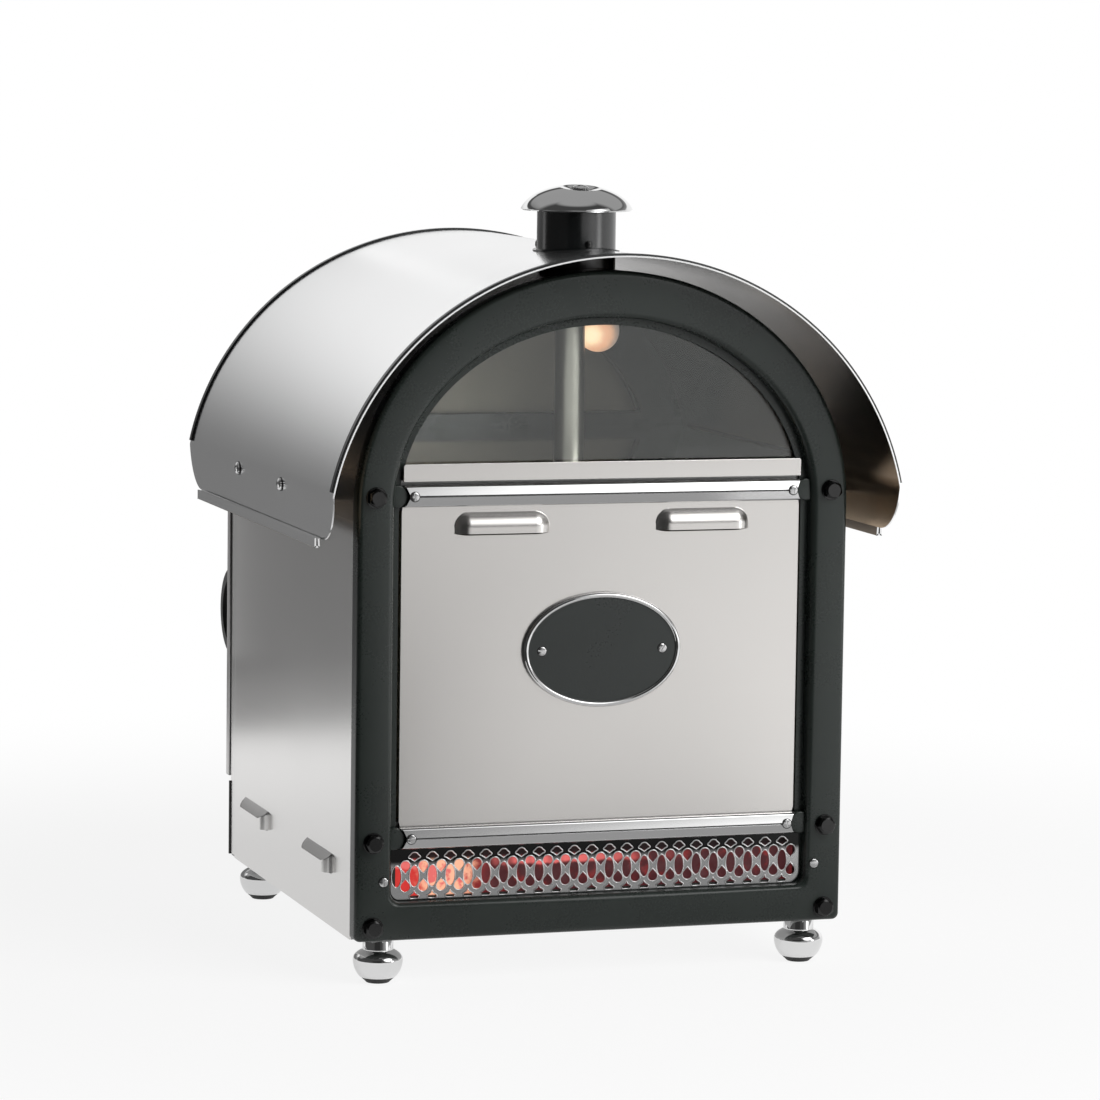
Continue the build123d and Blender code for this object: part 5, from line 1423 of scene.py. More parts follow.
@dataclass
class FrontPanel:
    """The brushed panel with its louvres, the rails over its ends and the sill above it."""

    louvre: Louvre = Louvre(0.0, 351.0, 77.0, 16.5, 5.4, 12.0, 12.0)
    louvre_x: float = 82.2
    sheet_set: float = 1.5
    scoop_x: float = 167.8
    scoop: float = 9.5
    relief: float = 2.0
    groove: float = 1.9
    groove_half: float = 0.75
    face_fall: float = 1.7
    face_half: float = 6.6
    rail_lip: float = 3.2
    sill_edge: float = 0.5

    def reach(self, up: float) -> Pair:
        """Return the panel's ends at a height, scooped round the lugs.

        Args:
            up: Height on the panel.

        Returns:
            Its left and its right end.
        """
        half = box_mm("front_panel")[1].x - self.relief
        for rail in RAILS:
            away = up - middle_mm(rail)[2]
            if abs(away) < self.scoop:
                half = min(half, self.scoop_x - sqrt(self.scoop**2 - away**2))
        return -half, half

    def build(self) -> None:
        """Build the panel, its rails and its sill."""
        low, high = box_mm("front_panel")
        face_y = high.y - self.sheet_set
        louvres = tuple(replace(self.louvre, along=side.value * self.louvre_x) for side in Side)
        sheet = PressedSheet(louvres, low.z, high.z, self.reach, lambda x, z, rise: (x, face_y - rise, z))
        panel = Piece("panel_sheet", "brushed_sheet", (PANEL_STEEL,), "front_panel", even=False)
        panel.from_form(sheet.form().facing(FRONT), SHEET)
        for rail in RAILS:
            self.rail(rail)
        sill = Piece("sill_fold", "brushed_sheet", (PANEL_STEEL,), "sill_strip")
        sill.from_node("sill_strip", self.sill_edge)

    def rail(self, node: str) -> None:
        """Build a ridged rail whose ends are scooped round the lugs.

        Args:
            node: The rail's CAD node.
        """
        low, high = box_mm(node)
        middle, half, depth = (low.z + high.z) / 2, (high.z - low.z) / 2, high.y - low.y
        radii = (half - self.face_half, depth - self.face_fall - self.rail_lip)
        turn = arc((self.face_half, self.rail_lip), radii, 0.0, 90.0, 6)
        upper = [(half, 0.0), *turn, (self.groove_half, depth)]
        section = upper + [(0.0, depth - self.groove)] + [(-up, out) for up, out in reversed(upper)]
        rows = []
        for up, out in section:
            end = min(high.x, self.scoop_x - sqrt(max(0.0, self.scoop**2 - up**2)))
            rows.append([(x, high.y - out, middle + up) for x in spread(-end, end, 36)])
        bar = Piece(node + "_bar", "polished_steel", (RAIL_STEEL,), node)
        bar.from_form(Form().sheet(rows).facing(FRONT), SHEET, angle=HEAD_ANGLE)


@dataclass
class Badge:
    """The oval cast plate with its raised bright rim and bare field."""

    rim: float = 4.2
    rim_height: float = 2.0
    field_share: float = 0.9
    field_crown: float = 0.35
    steps: int = 128

    def build(self) -> None:
        """Loft the plate from ellipses that shrink towards its middle."""
        low, high = box_mm("badge_plate")
        field_y, half = low.y + self.rim_height, (high.z - low.z) / 2
        bead = arc((0.0, 0.0), (self.rim / 2, self.rim_height), 0.0, 180.0, 12)
        rings = [(0.0, high.y), *((self.rim / 2 - x, field_y - y) for x, y in bead)]
        field = [(self.rim, field_y)]
        for share in spread(0.1, 0.9, 8):
            field.append((self.rim + half * share * self.field_share, field_y - self.field_crown * share))
        inner = self.ellipses(field)
        form = Form().sheet(self.ellipses(rings), ring=True)
        form.sheet(inner, ring=True, material=1)
        form.cap(inner[-1], 1)
        form.cap(self.ellipses(rings)[0], 1)
        oval = Piece("badge_oval", "badge_enamel", (POLISHED, BADGE_BLACK), "badge_plate")
        oval.from_form(form.outward())

    def ellipses(self, levels: Sequence[Pair]) -> list[list[Point]]:
        """Return ellipses of points.

        Args:
            levels: Each ellipse's distance in from the plate's edge, and its depth.

        Returns:
            The ellipses' points.
        """
        low, high = box_mm("badge_plate")
        middle = (0.0, (low.z + high.z) / 2)
        rows = []
        for inset, y in levels:
            radii = ((high.x - low.x) / 2 - inset, (high.z - low.z) / 2 - inset)
            rows.append([(x, y, z) for x, z in arc(middle, radii, 0.0, 360.0, self.steps)[:-1]])
        return rows


@dataclass
class Grille:
    """The pierced strip at the foot and the lit screen behind it."""

    pitch: float = 14.5
    first_x: float = -164.5
    columns: int = 23
    thickness: float = 1.0
    bead: float = 0.5
    half: float = 168.9
    corner: float = 8.0
    oval: Pair = (4.1, 8.7)
    oval_z: float = 84.5
    drop_radius: float = 4.2
    drop_rise: float = 8.2
    drop_point: float = 2.0
    club: Pair = (4.5, 2.5)
    club_ends: Pair = (-50.0, 230.0)
    club_lobe: float = 0.17
    club_rise: float = 15.9
    club_point: float = 11.6
    spade_point: float = -11.2
    spade_side: tuple[Pair, ...] = ((3.3, -17.6), (4.3, -15.4), (1.1, -13.4))
    notch_x: float = 167.8
    notch: float = 9.5
    notch_z: float = 115.0
    screen_cells: tuple[int, int] = (26, 130)
    screen_wall: float = 1.5
    lump: float = 1.6
    lump_layers: tuple[Pair, ...] = ((0.0, 0.11), (9.0, 0.27))
    fine_lump: float = 0.5

    def drop(self, sign: int) -> list[Pair]:
        """Return a drop that points at the row's middle, above or below it.

        Args:
            sign: 1 above the row, -1 below it.

        Returns:
            The drop's points.
        """
        x, z = self.pitch / 2, sign * self.drop_rise
        lean = degrees(asin(self.drop_radius / (self.drop_rise - self.drop_point)))
        radii = (self.drop_radius, self.drop_radius)
        return arc((x, z), radii, -lean * sign, (180 + lean) * sign, 16) + [(x, sign * self.drop_point)]

    def unit(self) -> list[list[Pair]]:
        """Draw the holes of one column about its oval's middle.

        Returns:
            The holes' outlines.
        """
        club = [self.club_edge(radians(angle)) for angle in spread(*self.club_ends, 28)]
        spade = mirrored([*self.spade_side, (0.0, self.spade_point)], 1)
        return [self.round_hole(0.0), self.drop(1), self.drop(-1), [*club, (0.0, self.club_point)], spade]

    def club_edge(self, angle: float) -> Pair:
        """Return a point of the three-lobed hole at an angle in radians."""
        swell = 1 + self.club_lobe * cos(3 * (angle - pi / 2))
        return self.club[0] * swell * cos(angle), self.club_rise + self.club[1] * swell * sin(angle)

    def round_hole(self, x: float) -> list[Pair]:
        """Return the oval about a place on the row."""
        return arc((x, 0.0), self.oval, 0.0, 360.0, 24)[:-1]

    def outline(self, low: float, high: float) -> list[Pair]:
        """Return the strip's outline, scooped round the lower lugs.

        Args:
            low: Height of its foot.
            high: Height of its top.

        Returns:
            The points about the row's middle.
        """
        up, corner = self.notch_z - self.oval_z, self.corner
        end = degrees(asin((self.notch_z - high) / self.notch)) - 180.0
        right = arc((self.half - corner, low - self.oval_z + corner), (corner, corner), -90.0, 0.0, 8)
        scoop = arc((self.notch_x, up), (self.notch, self.notch), -90.0, end, 12)
        right += [(self.half, up - self.notch), *(point for point in scoop if point[0] <= self.half)]
        return mirrored(right)

    def build(self) -> None:
        """Pierce the strip and mould the lit screen."""
        low, high = box_mm("glow_grille")
        unit = loops_object("hole_unit", self.unit())
        first = [self.round_hole(self.first_x)]
        first += [[(self.first_x + x, z) for x, z in self.drop(sign)] for sign in (1, -1)]
        values = {
            "Unit": unit,
            "Count": self.columns - 1,
            "Start": ((self.first_x + self.pitch) * MM, 0.0, 0.0),
            "Step": (self.pitch * MM, 0.0, 0.0),
            "Place": (0.0, low.y * MM, self.oval_z * MM),
            "Material": GRILLE_SHADE_PAINTED_STEEL.material(),
        }
        host = loops_object("grille_edge", [self.outline(low.z, high.z), *first])
        # The strip's finish paints the rail's shade over its upper part
        strip = Piece("grille_strip", "polished_steel", (GRILLE_SHADE_PAINTED_STEEL,), "glow_grille")
        strip.from_mesh(PiercedSheet().run(host, values), self.thickness)
        values["Material"] = CUT_EDGE.material()
        beads = Piece("grille_beads", "polished_steel", (CUT_EDGE,), "glow_grille")
        host = loops_object("first_holes", first)
        beads.from_mesh(PiercedSheet(self.bead).run(host, values), angle=BEAD_ANGLE)
        bpy.data.objects.remove(unit)
        self.screen()

    def lumps(self, x: float, z: float) -> float:
        """Return how far the screen's lumps stand out at a place."""
        broad, fine = (noise.noise(Vector((x, y, z)) * waves) for y, waves in self.lump_layers)
        return self.lump * (broad + self.fine_lump * fine)

    def screen(self) -> None:
        """Mould the lumpy lit screen."""
        low, high = box_mm("glow_screen")
        tall, wide = self.screen_cells
        rows = [
            [(x, low.y - self.lumps(x, z), z) for x in spread(low.x, high.x, wide)]
            for z in spread(low.z, high.z, tall)
        ]
        screen = Piece("glow_moulding", "glow_red", (GLOW,), "glow_screen")
        screen.from_form(Form().sheet(rows).facing(FRONT), self.screen_wall)


@dataclass
class SideWall:
    """A brushed side sheet with its two louvres."""

    side: Side
    louvre: Louvre = Louvre(0.0, 79.0, 76.0, 15.5, 7.4, 13.0, 6.5, Hood.CREASED)
    louvre_ys: Pair = (-94.0, 107.0)

    def build(self) -> None:
        """Press the louvres out of the sheet."""
        node, sign = self.side.name.lower() + "_side_panel", self.side.value
        low, high = box_mm(node)
        skin = box_mm("arch_shell")[1].x * sign
        sheet = PressedSheet(
            tuple(replace(self.louvre, along=y) for y in self.louvre_ys),
            low.z,
            high.z,
            lambda up: (low.y, high.y),
            lambda y, z, rise: (skin + sign * rise, y, z),
        )
        wall = Piece(node + "_sheet", "brushed_sheet", (WALL_STEEL,), node, even=False)
        wall.from_form(sheet.form().facing((sign, 0.0, 0.0)), SHEET)


@dataclass
class Roof:
    """The barrel roof with its hems and end trims."""

    half: float = 235.0
    rise: float = 224.2
    centre_z: float = 343.3
    bend_z: float = 386.0
    eave_z: float = 350.0
    corner: float = 36.0
    front_y: float = -236.2
    rear_y: float = 226.2
    eave_half: float = 229.0
    columns: tuple[tuple[float, int], ...] = ((0.14, 5), (0.40, 24), (1.0, 14))
    hem_x: float = 228.6
    hem_low: float = 342.7
    hem_width: float = 4.4
    hem_ys: Pair = (-192.0, 188.0)
    hem_turn: float = 0.5
    hem_thickness: float = 1.6
    hem_edge: float = 0.75
    hem_over: float = 0.4
    trim_depth: float = 7.0
    trim_proud: float = 1.6
    trim_round: float = 0.7
    trim_gap: float = 0.05
    trim_set: float = 0.5
    trim_end_z: float = 389.0
    pipe_hole: float = 31.6
    pipe_margin: float = 1.5
    pipe_y: float = -113.0

    def angle(self, z: float) -> float:
        """Return the angle in degrees at which the barrel reaches a height."""
        return degrees(asin((z - self.centre_z) / self.rise))

    def eave_x(self, z: float) -> float:
        """Return half the roof's width at a height between its eaves and its bends."""
        share = (z - self.eave_z) / (self.bend_z - self.eave_z)
        return self.eave_half + (self.half * cos(radians(self.angle(self.bend_z))) - self.eave_half) * share

    def profile(self) -> list[Pair]:
        """Return the roof's section from the right eave over the top to the left one.

        Returns:
            Places across and heights.
        """
        corner = [1 - cos(radians(angle)) for angle in spread(0.0, 90.0, 14)[:-1]]
        heights = [self.eave_z + self.corner * share for share in corner]
        right = [(self.eave_x(z), z) for z in heights]
        right += arc((0.0, self.centre_z), (self.half, self.rise), self.angle(self.bend_z), 90.0, 44)
        return mirrored(right, 1)

    def inset(self, z: float) -> float:
        """Return how far the rounded lower corner cuts into the sheet at a height."""
        below = max(0.0, self.eave_z + self.corner - z)
        return self.corner - sqrt(max(0.0, self.corner**2 - below**2))

    def height(self, x: float) -> float:
        """Return the roof's height over a place across it."""
        return self.centre_z + self.rise * sqrt(max(0.0, 1 - (x / self.half) ** 2))

    def build(self) -> None:
        """Build the sheet with its hems, then the trims."""
        columns = [0.0]
        for end, steps in self.columns:
            columns += spread(columns[-1], end, steps)[1:]
        rows = []
        for x, z in self.profile():
            front, rear = self.front_y + self.inset(z), self.rear_y - self.inset(z)
            rows.append([(x, front + (rear - front) * share, z) for share in columns])
        form = Form().sheet(rows)
        self.open_pipe_hole(form)
        # The underside's finish is painted lighter near the eaves and darker higher up, as painted reflection
        # and shade over the heat tint's brown
        skin = Piece("roof_sheet_skin", "roof_sheet", (ROOF_STEEL, TINT_AND_PAINTED_SHADE_STEEL), "roof_canopy")
        skin.from_form(form.facing(UP), SHEET)
        for side in Side:
            self.hem(side)
        self.trim("roof_front_trim", self.front_y + self.trim_set, 1)
        self.trim("roof_rear_trim", self.rear_y - self.trim_set, -1)

    def open_pipe_hole(self, form: Form) -> None:
        """Open the sheet round the pipe and draw the opening's edge onto a circle.

        Args:
            form: The roof sheet.
        """
        axis = Vector((0.0, self.pipe_y * MM))
        reach = (self.pipe_hole + self.pipe_margin) * MM
        inside = [face for face in form.bm.faces if (face.calc_center_median().xy - axis).length < reach]
        rim = {v for face in inside for v in face.verts}
        bmesh.ops.delete(form.bm, geom=inside, context="FACES")
        for vertex in rim:
            if vertex.is_valid and vertex.is_boundary:
                spot = axis + (vertex.co.xy - axis).normalized() * self.pipe_hole * MM
                vertex.co = (spot.x, spot.y, self.height(spot.x / MM) * MM)

    def hem(self, side: Side) -> None:
        """Fold the eave's lower edge outward and up.

        Args:
            side: The eave's side.
        """
        turn, leg, low = self.hem_turn, self.hem_x + self.hem_width, self.hem_low + self.hem_turn
        inner = [(self.eave_half, self.eave_z), (self.hem_x, low)]
        inner += arc((self.hem_x + turn, low), (turn, turn), 180.0, 270.0, 5)[1:]
        inner += arc((leg - turn, low), (turn, turn), 270.0, 360.0, 5)
        outer = [inner[-1], (leg, self.eave_z + self.hem_over)]
        form = Form()
        for k, path in enumerate((inner, outer)):
            rows = [[(side.value * x, y, z) for y in spread(*self.hem_ys, 20)] for x, z in path]
            form.sheet(rows, material=k)
        name = "roof_hem_" + side.name.lower()
        hem = Piece(name, "roof_sheet", (HEM_STEEL, ROOF_STEEL), "roof_canopy", edge=POLISHED)
        hem.from_form(form.facing((0.0, 0.0, -1.0)), self.hem_thickness, self.hem_edge, FOLD_ANGLE)

    def trim(self, node: str, edge_y: float, inward: int) -> None:
        """Sweep the black edging over the roof's end.

        Args:
            node: The trim's CAD node.
            edge_y: Where its outer edge lies.
            inward: Sign of y towards the roof's middle.
        """
        lip, far = self.trim_round, self.trim_depth
        wide = self.trim_proud - lip
        section = [(self.trim_gap, 0.0), (wide, 0.0)]
        section += [(wide + x, lip - y) for x, y in quarter(lip, 90.0, 0.0, 5)[1:]]
        section += [(self.trim_proud, far - lip)]
        section += [(wide + x, far - lip + y) for x, y in quarter(lip, 0.0, 90.0, 5)[1:]]
        section += [(self.trim_gap, far)]
        end = self.angle(self.trim_end_z)
        rows = []
        for out, deep in section:
            line = arc((0.0, self.centre_z), (self.half + out, self.rise + out), end, 180.0 - end, 120)
            rows.append([(x, edge_y + inward * deep, z) for x, z in line])
        form = Form().sheet(rows, loop=True)
        for k in (0, -1):
            form.cap([row[k] for row in rows])
        edging = Piece(node + "_edging", "trim_black", (TRIM_BLACK,), node)
        edging.from_form(form.outward(), angle=FOLD_ANGLE)


@dataclass
class Chimney:
    """The black pipe, its collar, the domed cap with its dish and the flue inside."""

    y: float = -113.0
    radius: float = 31.2
    wall: float = 1.5
    top: float = 596.5
    pipe_edge: float = 0.25
    steps: int = 96
    collar: float = 34.4
    collar_rise: float = 0.9
    collar_gap: float = 0.1
    collar_lip: Pair = (0.7, 0.5)
    collar_edge: float = 0.2
    shell_half: float = 200.5
    shell_rise: float = 181.0
    cap_radius: float = 44.3
    cap_foot: float = 598.0
    cap_tuck: float = 0.4
    rim_height: float = 0.5
    dome: float = 19.2
    cap_lean: float = 11.5
    dent_y: float = -10.0
    dent: float = 16.5
    dent_depth: float = 4.6
    dent_fall: float = 1.5
    dent_axis: Point = (0.0, -0.12, 1.0)
    dent_turn: float = 0.6
    stay_edge: float = 0.3
    flue_wall: float = 1.0

    def build(self, roof: Roof) -> None:
        """Build the pipe, the collar on the roof, the cap and the flue.

        Args:
            roof: The roof that the collar lies on.
        """
        self.pipe()
        self.flange(roof)
        self.cap()
        stay = Piece("cap_stay", "polished_steel", (POLISHED,), "cap_bracket")
        stay.from_node("cap_bracket", self.stay_edge)
        self.flue()

    def flue(self) -> None:
        """Turn the bright tube that is seen through the window."""
        low, high = box_mm("flue_tube")
        x, y, _ = middle_mm("flue_tube")
        outer, tall = (high.x - low.x) / 2, high.z - low.z
        bore = outer - self.flue_wall
        profile = [(outer, 0.0), (outer, tall), (bore, tall), (bore, 0.0), (outer, 0.0)]
        form = Form().turned(profile, (x, y, low.z), Axis.Z, 72)
        Piece("flue_pipe", "polished_steel", (DULL_STEEL,), "flue_tube").from_form(form.outward())

    def wrapped(self, section: Sequence[Pair], height: Callable[[float, float], float]) -> Form:
        """Return a closed ring about the pipe's axis, with heights that follow a curved sheet.

        Args:
            section: Radius and rise, point by point.
            height: The height at a place across the cabinet and a rise.

        Returns:
            The ring.
        """
        rows = []
        for radius, rise in section:
            places = [(radius * cos(angle), self.y + radius * sin(angle)) for angle in turns(self.steps)]
            rows.append([(x, y, height(x, rise)) for x, y in places])
        return Form().sheet(rows, ring=True, loop=True).outward()

    def foot(self, x: float) -> float:
        """Return the height of the arch under the pipe at a place across it."""
        return SPRING_Z + self.shell_rise * sqrt(1 - (x / self.shell_half) ** 2)

    def pipe(self) -> None:
        """Turn the pipe and cut its foot to the arch below."""
        bore = self.radius - self.wall
        section = ((self.radius, 0.0), (self.radius, 1.0), (bore, 1.0), (bore, 0.0))
        form = self.wrapped(section, lambda x, rise: self.foot(x) + (self.top - self.foot(x)) * rise)
        pipe = Piece("stub_pipe", "trim_black", (PIPE_BLACK,), "chimney_pipe")
        pipe.from_form(form, bevel=self.pipe_edge)

    def flange(self, roof: Roof) -> None:
        """Lay the collar on the roof round the pipe.

        Args:
            roof: The roof under it.
        """
        inner, outer, rise = self.radius + self.collar_gap, self.collar, self.collar_rise
        reach, lip = self.collar_lip
        section = ((inner, 0.0), (inner, rise + lip), (inner + reach, rise), (outer, rise), (outer, 0.0))
        form = self.wrapped(section, lambda x, lift: roof.height(x) + lift)
        flange = Piece("pipe_flange", "trim_black", (PIPE_BLACK,), "chimney_collar")
        flange.from_form(form, bevel=self.collar_edge)

    def cap(self) -> None:
        """Turn the cap's dome and dent it in front of its crown."""
        middle_z, half_axes = self.dome_ellipse()
        outer = arc((0.0, middle_z), half_axes, self.cap_lean, 90.0, 64)
        inner = [(max(0.0, radius - SHEET), height - SHEET) for radius, height in reversed(outer)]
        rim, foot = self.cap_radius - self.cap_tuck, self.cap_foot
        profile = [(rim, foot), *outer, *inner, (rim - SHEET, foot), (rim, foot)]
        form = Form().turned(profile, (0.0, self.y, 0.0), Axis.Z, 160).outward()
        middle = Vector((0.0, self.y + self.dent_y)) * MM
        for vertex in form.bm.verts:
            share = (vertex.co.xy - middle).length / (self.dent * MM)
            if share < 1:
                vertex.co.z -= self.dent_depth * MM * (1 - share**2) ** self.dent_fall
        Piece("cap_dome", "chrome", (CHROME,), "chimney_cap").from_form(form, angle=ROUND_ANGLE)

    def dome_ellipse(self) -> tuple[float, Pair]:
        """Fit the ellipse that the cap's dome follows.

        Returns:
            The height of its middle, and its half axes.
        """
        lean = radians(self.cap_lean)
        tall = self.dome / (1 - sin(lean))
        return self.cap_foot + self.rim_height - tall * sin(lean), (self.cap_radius / cos(lean), tall)

    def dent_spot(self, lift: float) -> Spot:
        """Find a place over the bottom of the cap's dent.

        Args:
            lift: How far it is lifted off the dent.

        Returns:
            The place.
        """
        middle_z, (wide, tall) = self.dome_ellipse()
        foot = middle_z + tall * sqrt(1 - (self.dent_y / wide) ** 2) - self.dent_depth
        return Spot((0.0, self.y + self.dent_y, foot + lift), self.dent_axis, self.dent_turn)


@dataclass
class Feet:
    """The four turned feet and the pads under them."""

    neck: float = 12.0
    neck_ease: Pair = (0.4, 0.6)
    neck_root: Point = (0.15, 0.8, 0.2)
    neck_foot: float = 28.0
    shoulder: float = 52.0
    ball: float = 19.5
    ball_middle: float = 18.0
    ball_foot: float = 4.5
    seat_top: float = 14.2
    seat: float = 13.8
    seat_gap: float = 0.05
    pad_edges: tuple[Pair, ...] = ((10.1, 1.2), (9.0, 0.0))
    pad_round: float = 0.3

    def build(self) -> None:
        """Turn the feet about their places under the base."""
        low, high = box_mm("bun_feet")
        ball, neck, middle = self.ball, self.neck, (0.0, self.ball_middle)
        upper = arc(middle, (ball, self.neck_foot - self.ball_middle), self.shoulder, 0.0, 14)
        end = acos(self.seat_top / ball)
        fall = (self.ball_middle - self.ball_foot) / sin(end)
        lower = arc(middle, (ball, fall), 0.0, -degrees(end), 12)[1:]
        root, foot = upper[0][1], lower[-1][1]
        narrow, ease = self.neck_ease
        flare, start, stop = self.neck_root
        profile = [(0.0, high.z), (neck - narrow, high.z), (neck, high.z - ease)]
        profile += [(neck, root + start), (neck + flare, root + stop), *upper, *lower, (0.0, foot)]
        seat = foot - self.seat_gap
        pad = [(0.0, seat), (self.seat, seat), *self.pad_edges, (0.0, 0.0)]
        form, pads = Form(), Form()
        for x in (low.x + ball, high.x - ball):
            for y in (low.y + ball, high.y - ball):
                form.turned(profile, (x, y, 0.0), Axis.Z, 96)
                pads.turned(pad, (x, y, 0.0))
        feet = Piece("feet_turned", "chrome", (CHROME,), "bun_feet")
        feet.from_form(form.outward(), angle=ROUND_ANGLE)
        rubber = Piece("feet_pads", "seal_rubber", (SEAL,), "foot_pads")
        rubber.from_form(pads.outward(), bevel=self.pad_round)


@dataclass
class Fasteners:
    """Every bolt, screw, washer and rivet that repeats over the cabinet."""

    bolt_x: float = 186.2
    bolt_zs: Point = (381.0, 113.5, 47.2)
    bolt_flat: float = 13.0
    bolt_face: float = 5.2
    bolt_head: float = 6.0
    bolt_chamfer: float = 1.5
    bolt_steps: int = 72
    washer: Pair = (8.2, 1.2)
    washer_ease: float = 0.3
    rail_screw_x: float = 155.0
    rail_screw_set: float = 0.3
    frame_screw: Pair = (177.8, 82.6)
    badge_screw_x: float = 49.5
    badge_screw_set: float = 2.0
    screw: Pair = (3.6, 1.0)
    roof_screw: Pair = (4.7, 3.6)
    roof_screw_ys: Pair = (-80.5, 55.5)
    roof_screw_z: float = 381.0
    cap_screw: Pair = (6.4, 3.9)
    cap_washer: Pair = (8.6, 1.2)
    rivet: Pair = (3.2, 2.0)
    rivet_rise: float = 4.0
    rivet_set: float = 0.2
    rivet_angles: Point = (-90.0, 30.0, 150.0)
    seat: Pair = (4.1, 0.4)
    roof_seat: Pair = (5.7, 0.6)
    seat_ease: float = 0.4
    slot_half: float = 0.14
    slot_floor: float = 0.45
    slot_walls: Pair = (0.98, 0.99)
    cross_reach: float = 0.62
    head_rim: float = 0.35
    head_cells: int = 22
    head_slack: float = 1.0001
    turn_seed: int = 7

    def hex_head(self) -> Form:
        """Return a chamfered hex head on its washer.

        Returns:
            The head, standing on its z axis.
        """
        half, (wide, base), ease = self.bolt_flat / 2, self.washer, self.washer_ease
        corner, top = half / cos(pi / 6), base + self.bolt_head
        levels = [(wide, 0.0, False), (wide, base - ease, False), (wide - ease, base, False)]
        levels.append((corner, base, True))
        for share in spread(0.0, 1.0, 6):
            height = top - self.bolt_chamfer * (1 - share)
            levels.append((corner + (self.bolt_face - corner) * share, height, True))
        rows = []
        for limit, height, cut in levels:
            row = []
            for angle in turns(self.bolt_steps):
                flat = half / cos((angle + pi / 6) % (pi / 3) - pi / 6)
                radius = min(flat, limit) if cut else limit
                row.append((radius * cos(angle), radius * sin(angle), height))
            rows.append(row)
        form = Form().sheet(rows, ring=True)
        form.cap(rows[-1])
        form.cap(list(reversed(rows[0])))
        return form.outward()

    def pan_head(self, radius: float, height: float, drive: Head) -> Form:
        """Return a domed head with its slot or cross cut in.

        Args:
            radius: The head's radius.
            height: Its height.
            drive: The recess cut in it.

        Returns:
            The head, standing on its z axis.
        """
        width, floor = radius * self.slot_half, height * self.slot_floor
        inner, wall = (width * share for share in self.slot_walls)
        reach = radius if drive is Head.SLOT else radius * self.cross_reach
        lines = sorted({*spread(-radius, radius, self.head_cells), -width, -inner, inner, width})
        form = Form()
        verts = {}
        for x in lines:
            for y in lines:
                out = hypot(x, y)
                if out <= radius * self.head_slack:
                    swell = sqrt(max(0.0, 1 - (out / radius) ** 2))
                    dome = height * (self.head_rim + (1 - self.head_rim) * swell)
                    cut = abs(x) < wall or (drive is Head.CROSS and abs(y) < wall)
                    verts[x, y] = form.vertex((x, y, min(dome, floor) if cut and out < reach else dome))
        for left, right in zip(lines, lines[1:]):
            for near, far in zip(lines, lines[1:]):
                keys = ((left, near), (right, near), (right, far), (left, far))
                form.face([verts[key] for key in keys if key in verts])
        rim = [edge for edge in form.bm.edges if edge.is_boundary]
        for part in bmesh.ops.extrude_edge_only(form.bm, edges=rim)["geom"]:
            if isinstance(part, bmesh.types.BMVert):
                part.co.z = 0.0
        bottom = [edge for edge in form.bm.edges if edge.is_boundary]
        bmesh.ops.contextual_create(form.bm, geom=bottom)
        return form.outward()

    def flat_ring(self, radius: float, height: float) -> Form:
        """Turn a washer with an eased upper edge.

        Args:
            radius: The washer's radius.
            height: Its height.

        Returns:
            The washer, standing on its z axis.
        """
        ease = min(self.seat_ease, height / 2)
        rim = [(radius, 0.0), (radius, height - ease), (radius - ease, height)]
        return Form().turned([(0.0, 0.0), *rim, (0.0, height)]).outward()

    def front_spots(self, turn: random.Random) -> list[Spot]:
        """Return the small front screws' places.

        Args:
            turn: Where each screw's turn comes from.

        Returns:
            The spots.
        """
        places = [(self.rail_screw_x, box_mm(r)[0].y + self.rail_screw_set, middle_mm(r)[2]) for r in RAILS]
        places.append((self.frame_screw[0], box_mm("front_frame")[0].y, self.frame_screw[1]))
        badge_y = box_mm("badge_plate")[0].y + self.badge_screw_set
        places.append((self.badge_screw_x, badge_y, middle_mm("badge_plate")[2]))
        return [
            Spot((side.value * x, y, z), FRONT, turn.uniform(0, pi)) for side in Side for x, y, z in places
        ]

    def rivet_spots(self, roof: Roof, chimney: Chimney) -> list[Spot]:
        """Return the places of the rivets round the foot of the pipe.

        Args:
            roof: The roof that they stand above.
            chimney: The chimney that they are on.

        Returns:
            The spots.
        """
        spots = []
        for angle in self.rivet_angles:
            axis = (cos(radians(angle)), sin(radians(angle)), 0.0)
            x, y = ((chimney.radius - self.rivet_set) * part for part in axis[:2])
            spots.append(Spot((x, chimney.y + y, roof.height(x) + self.rivet_rise), axis))
        return spots

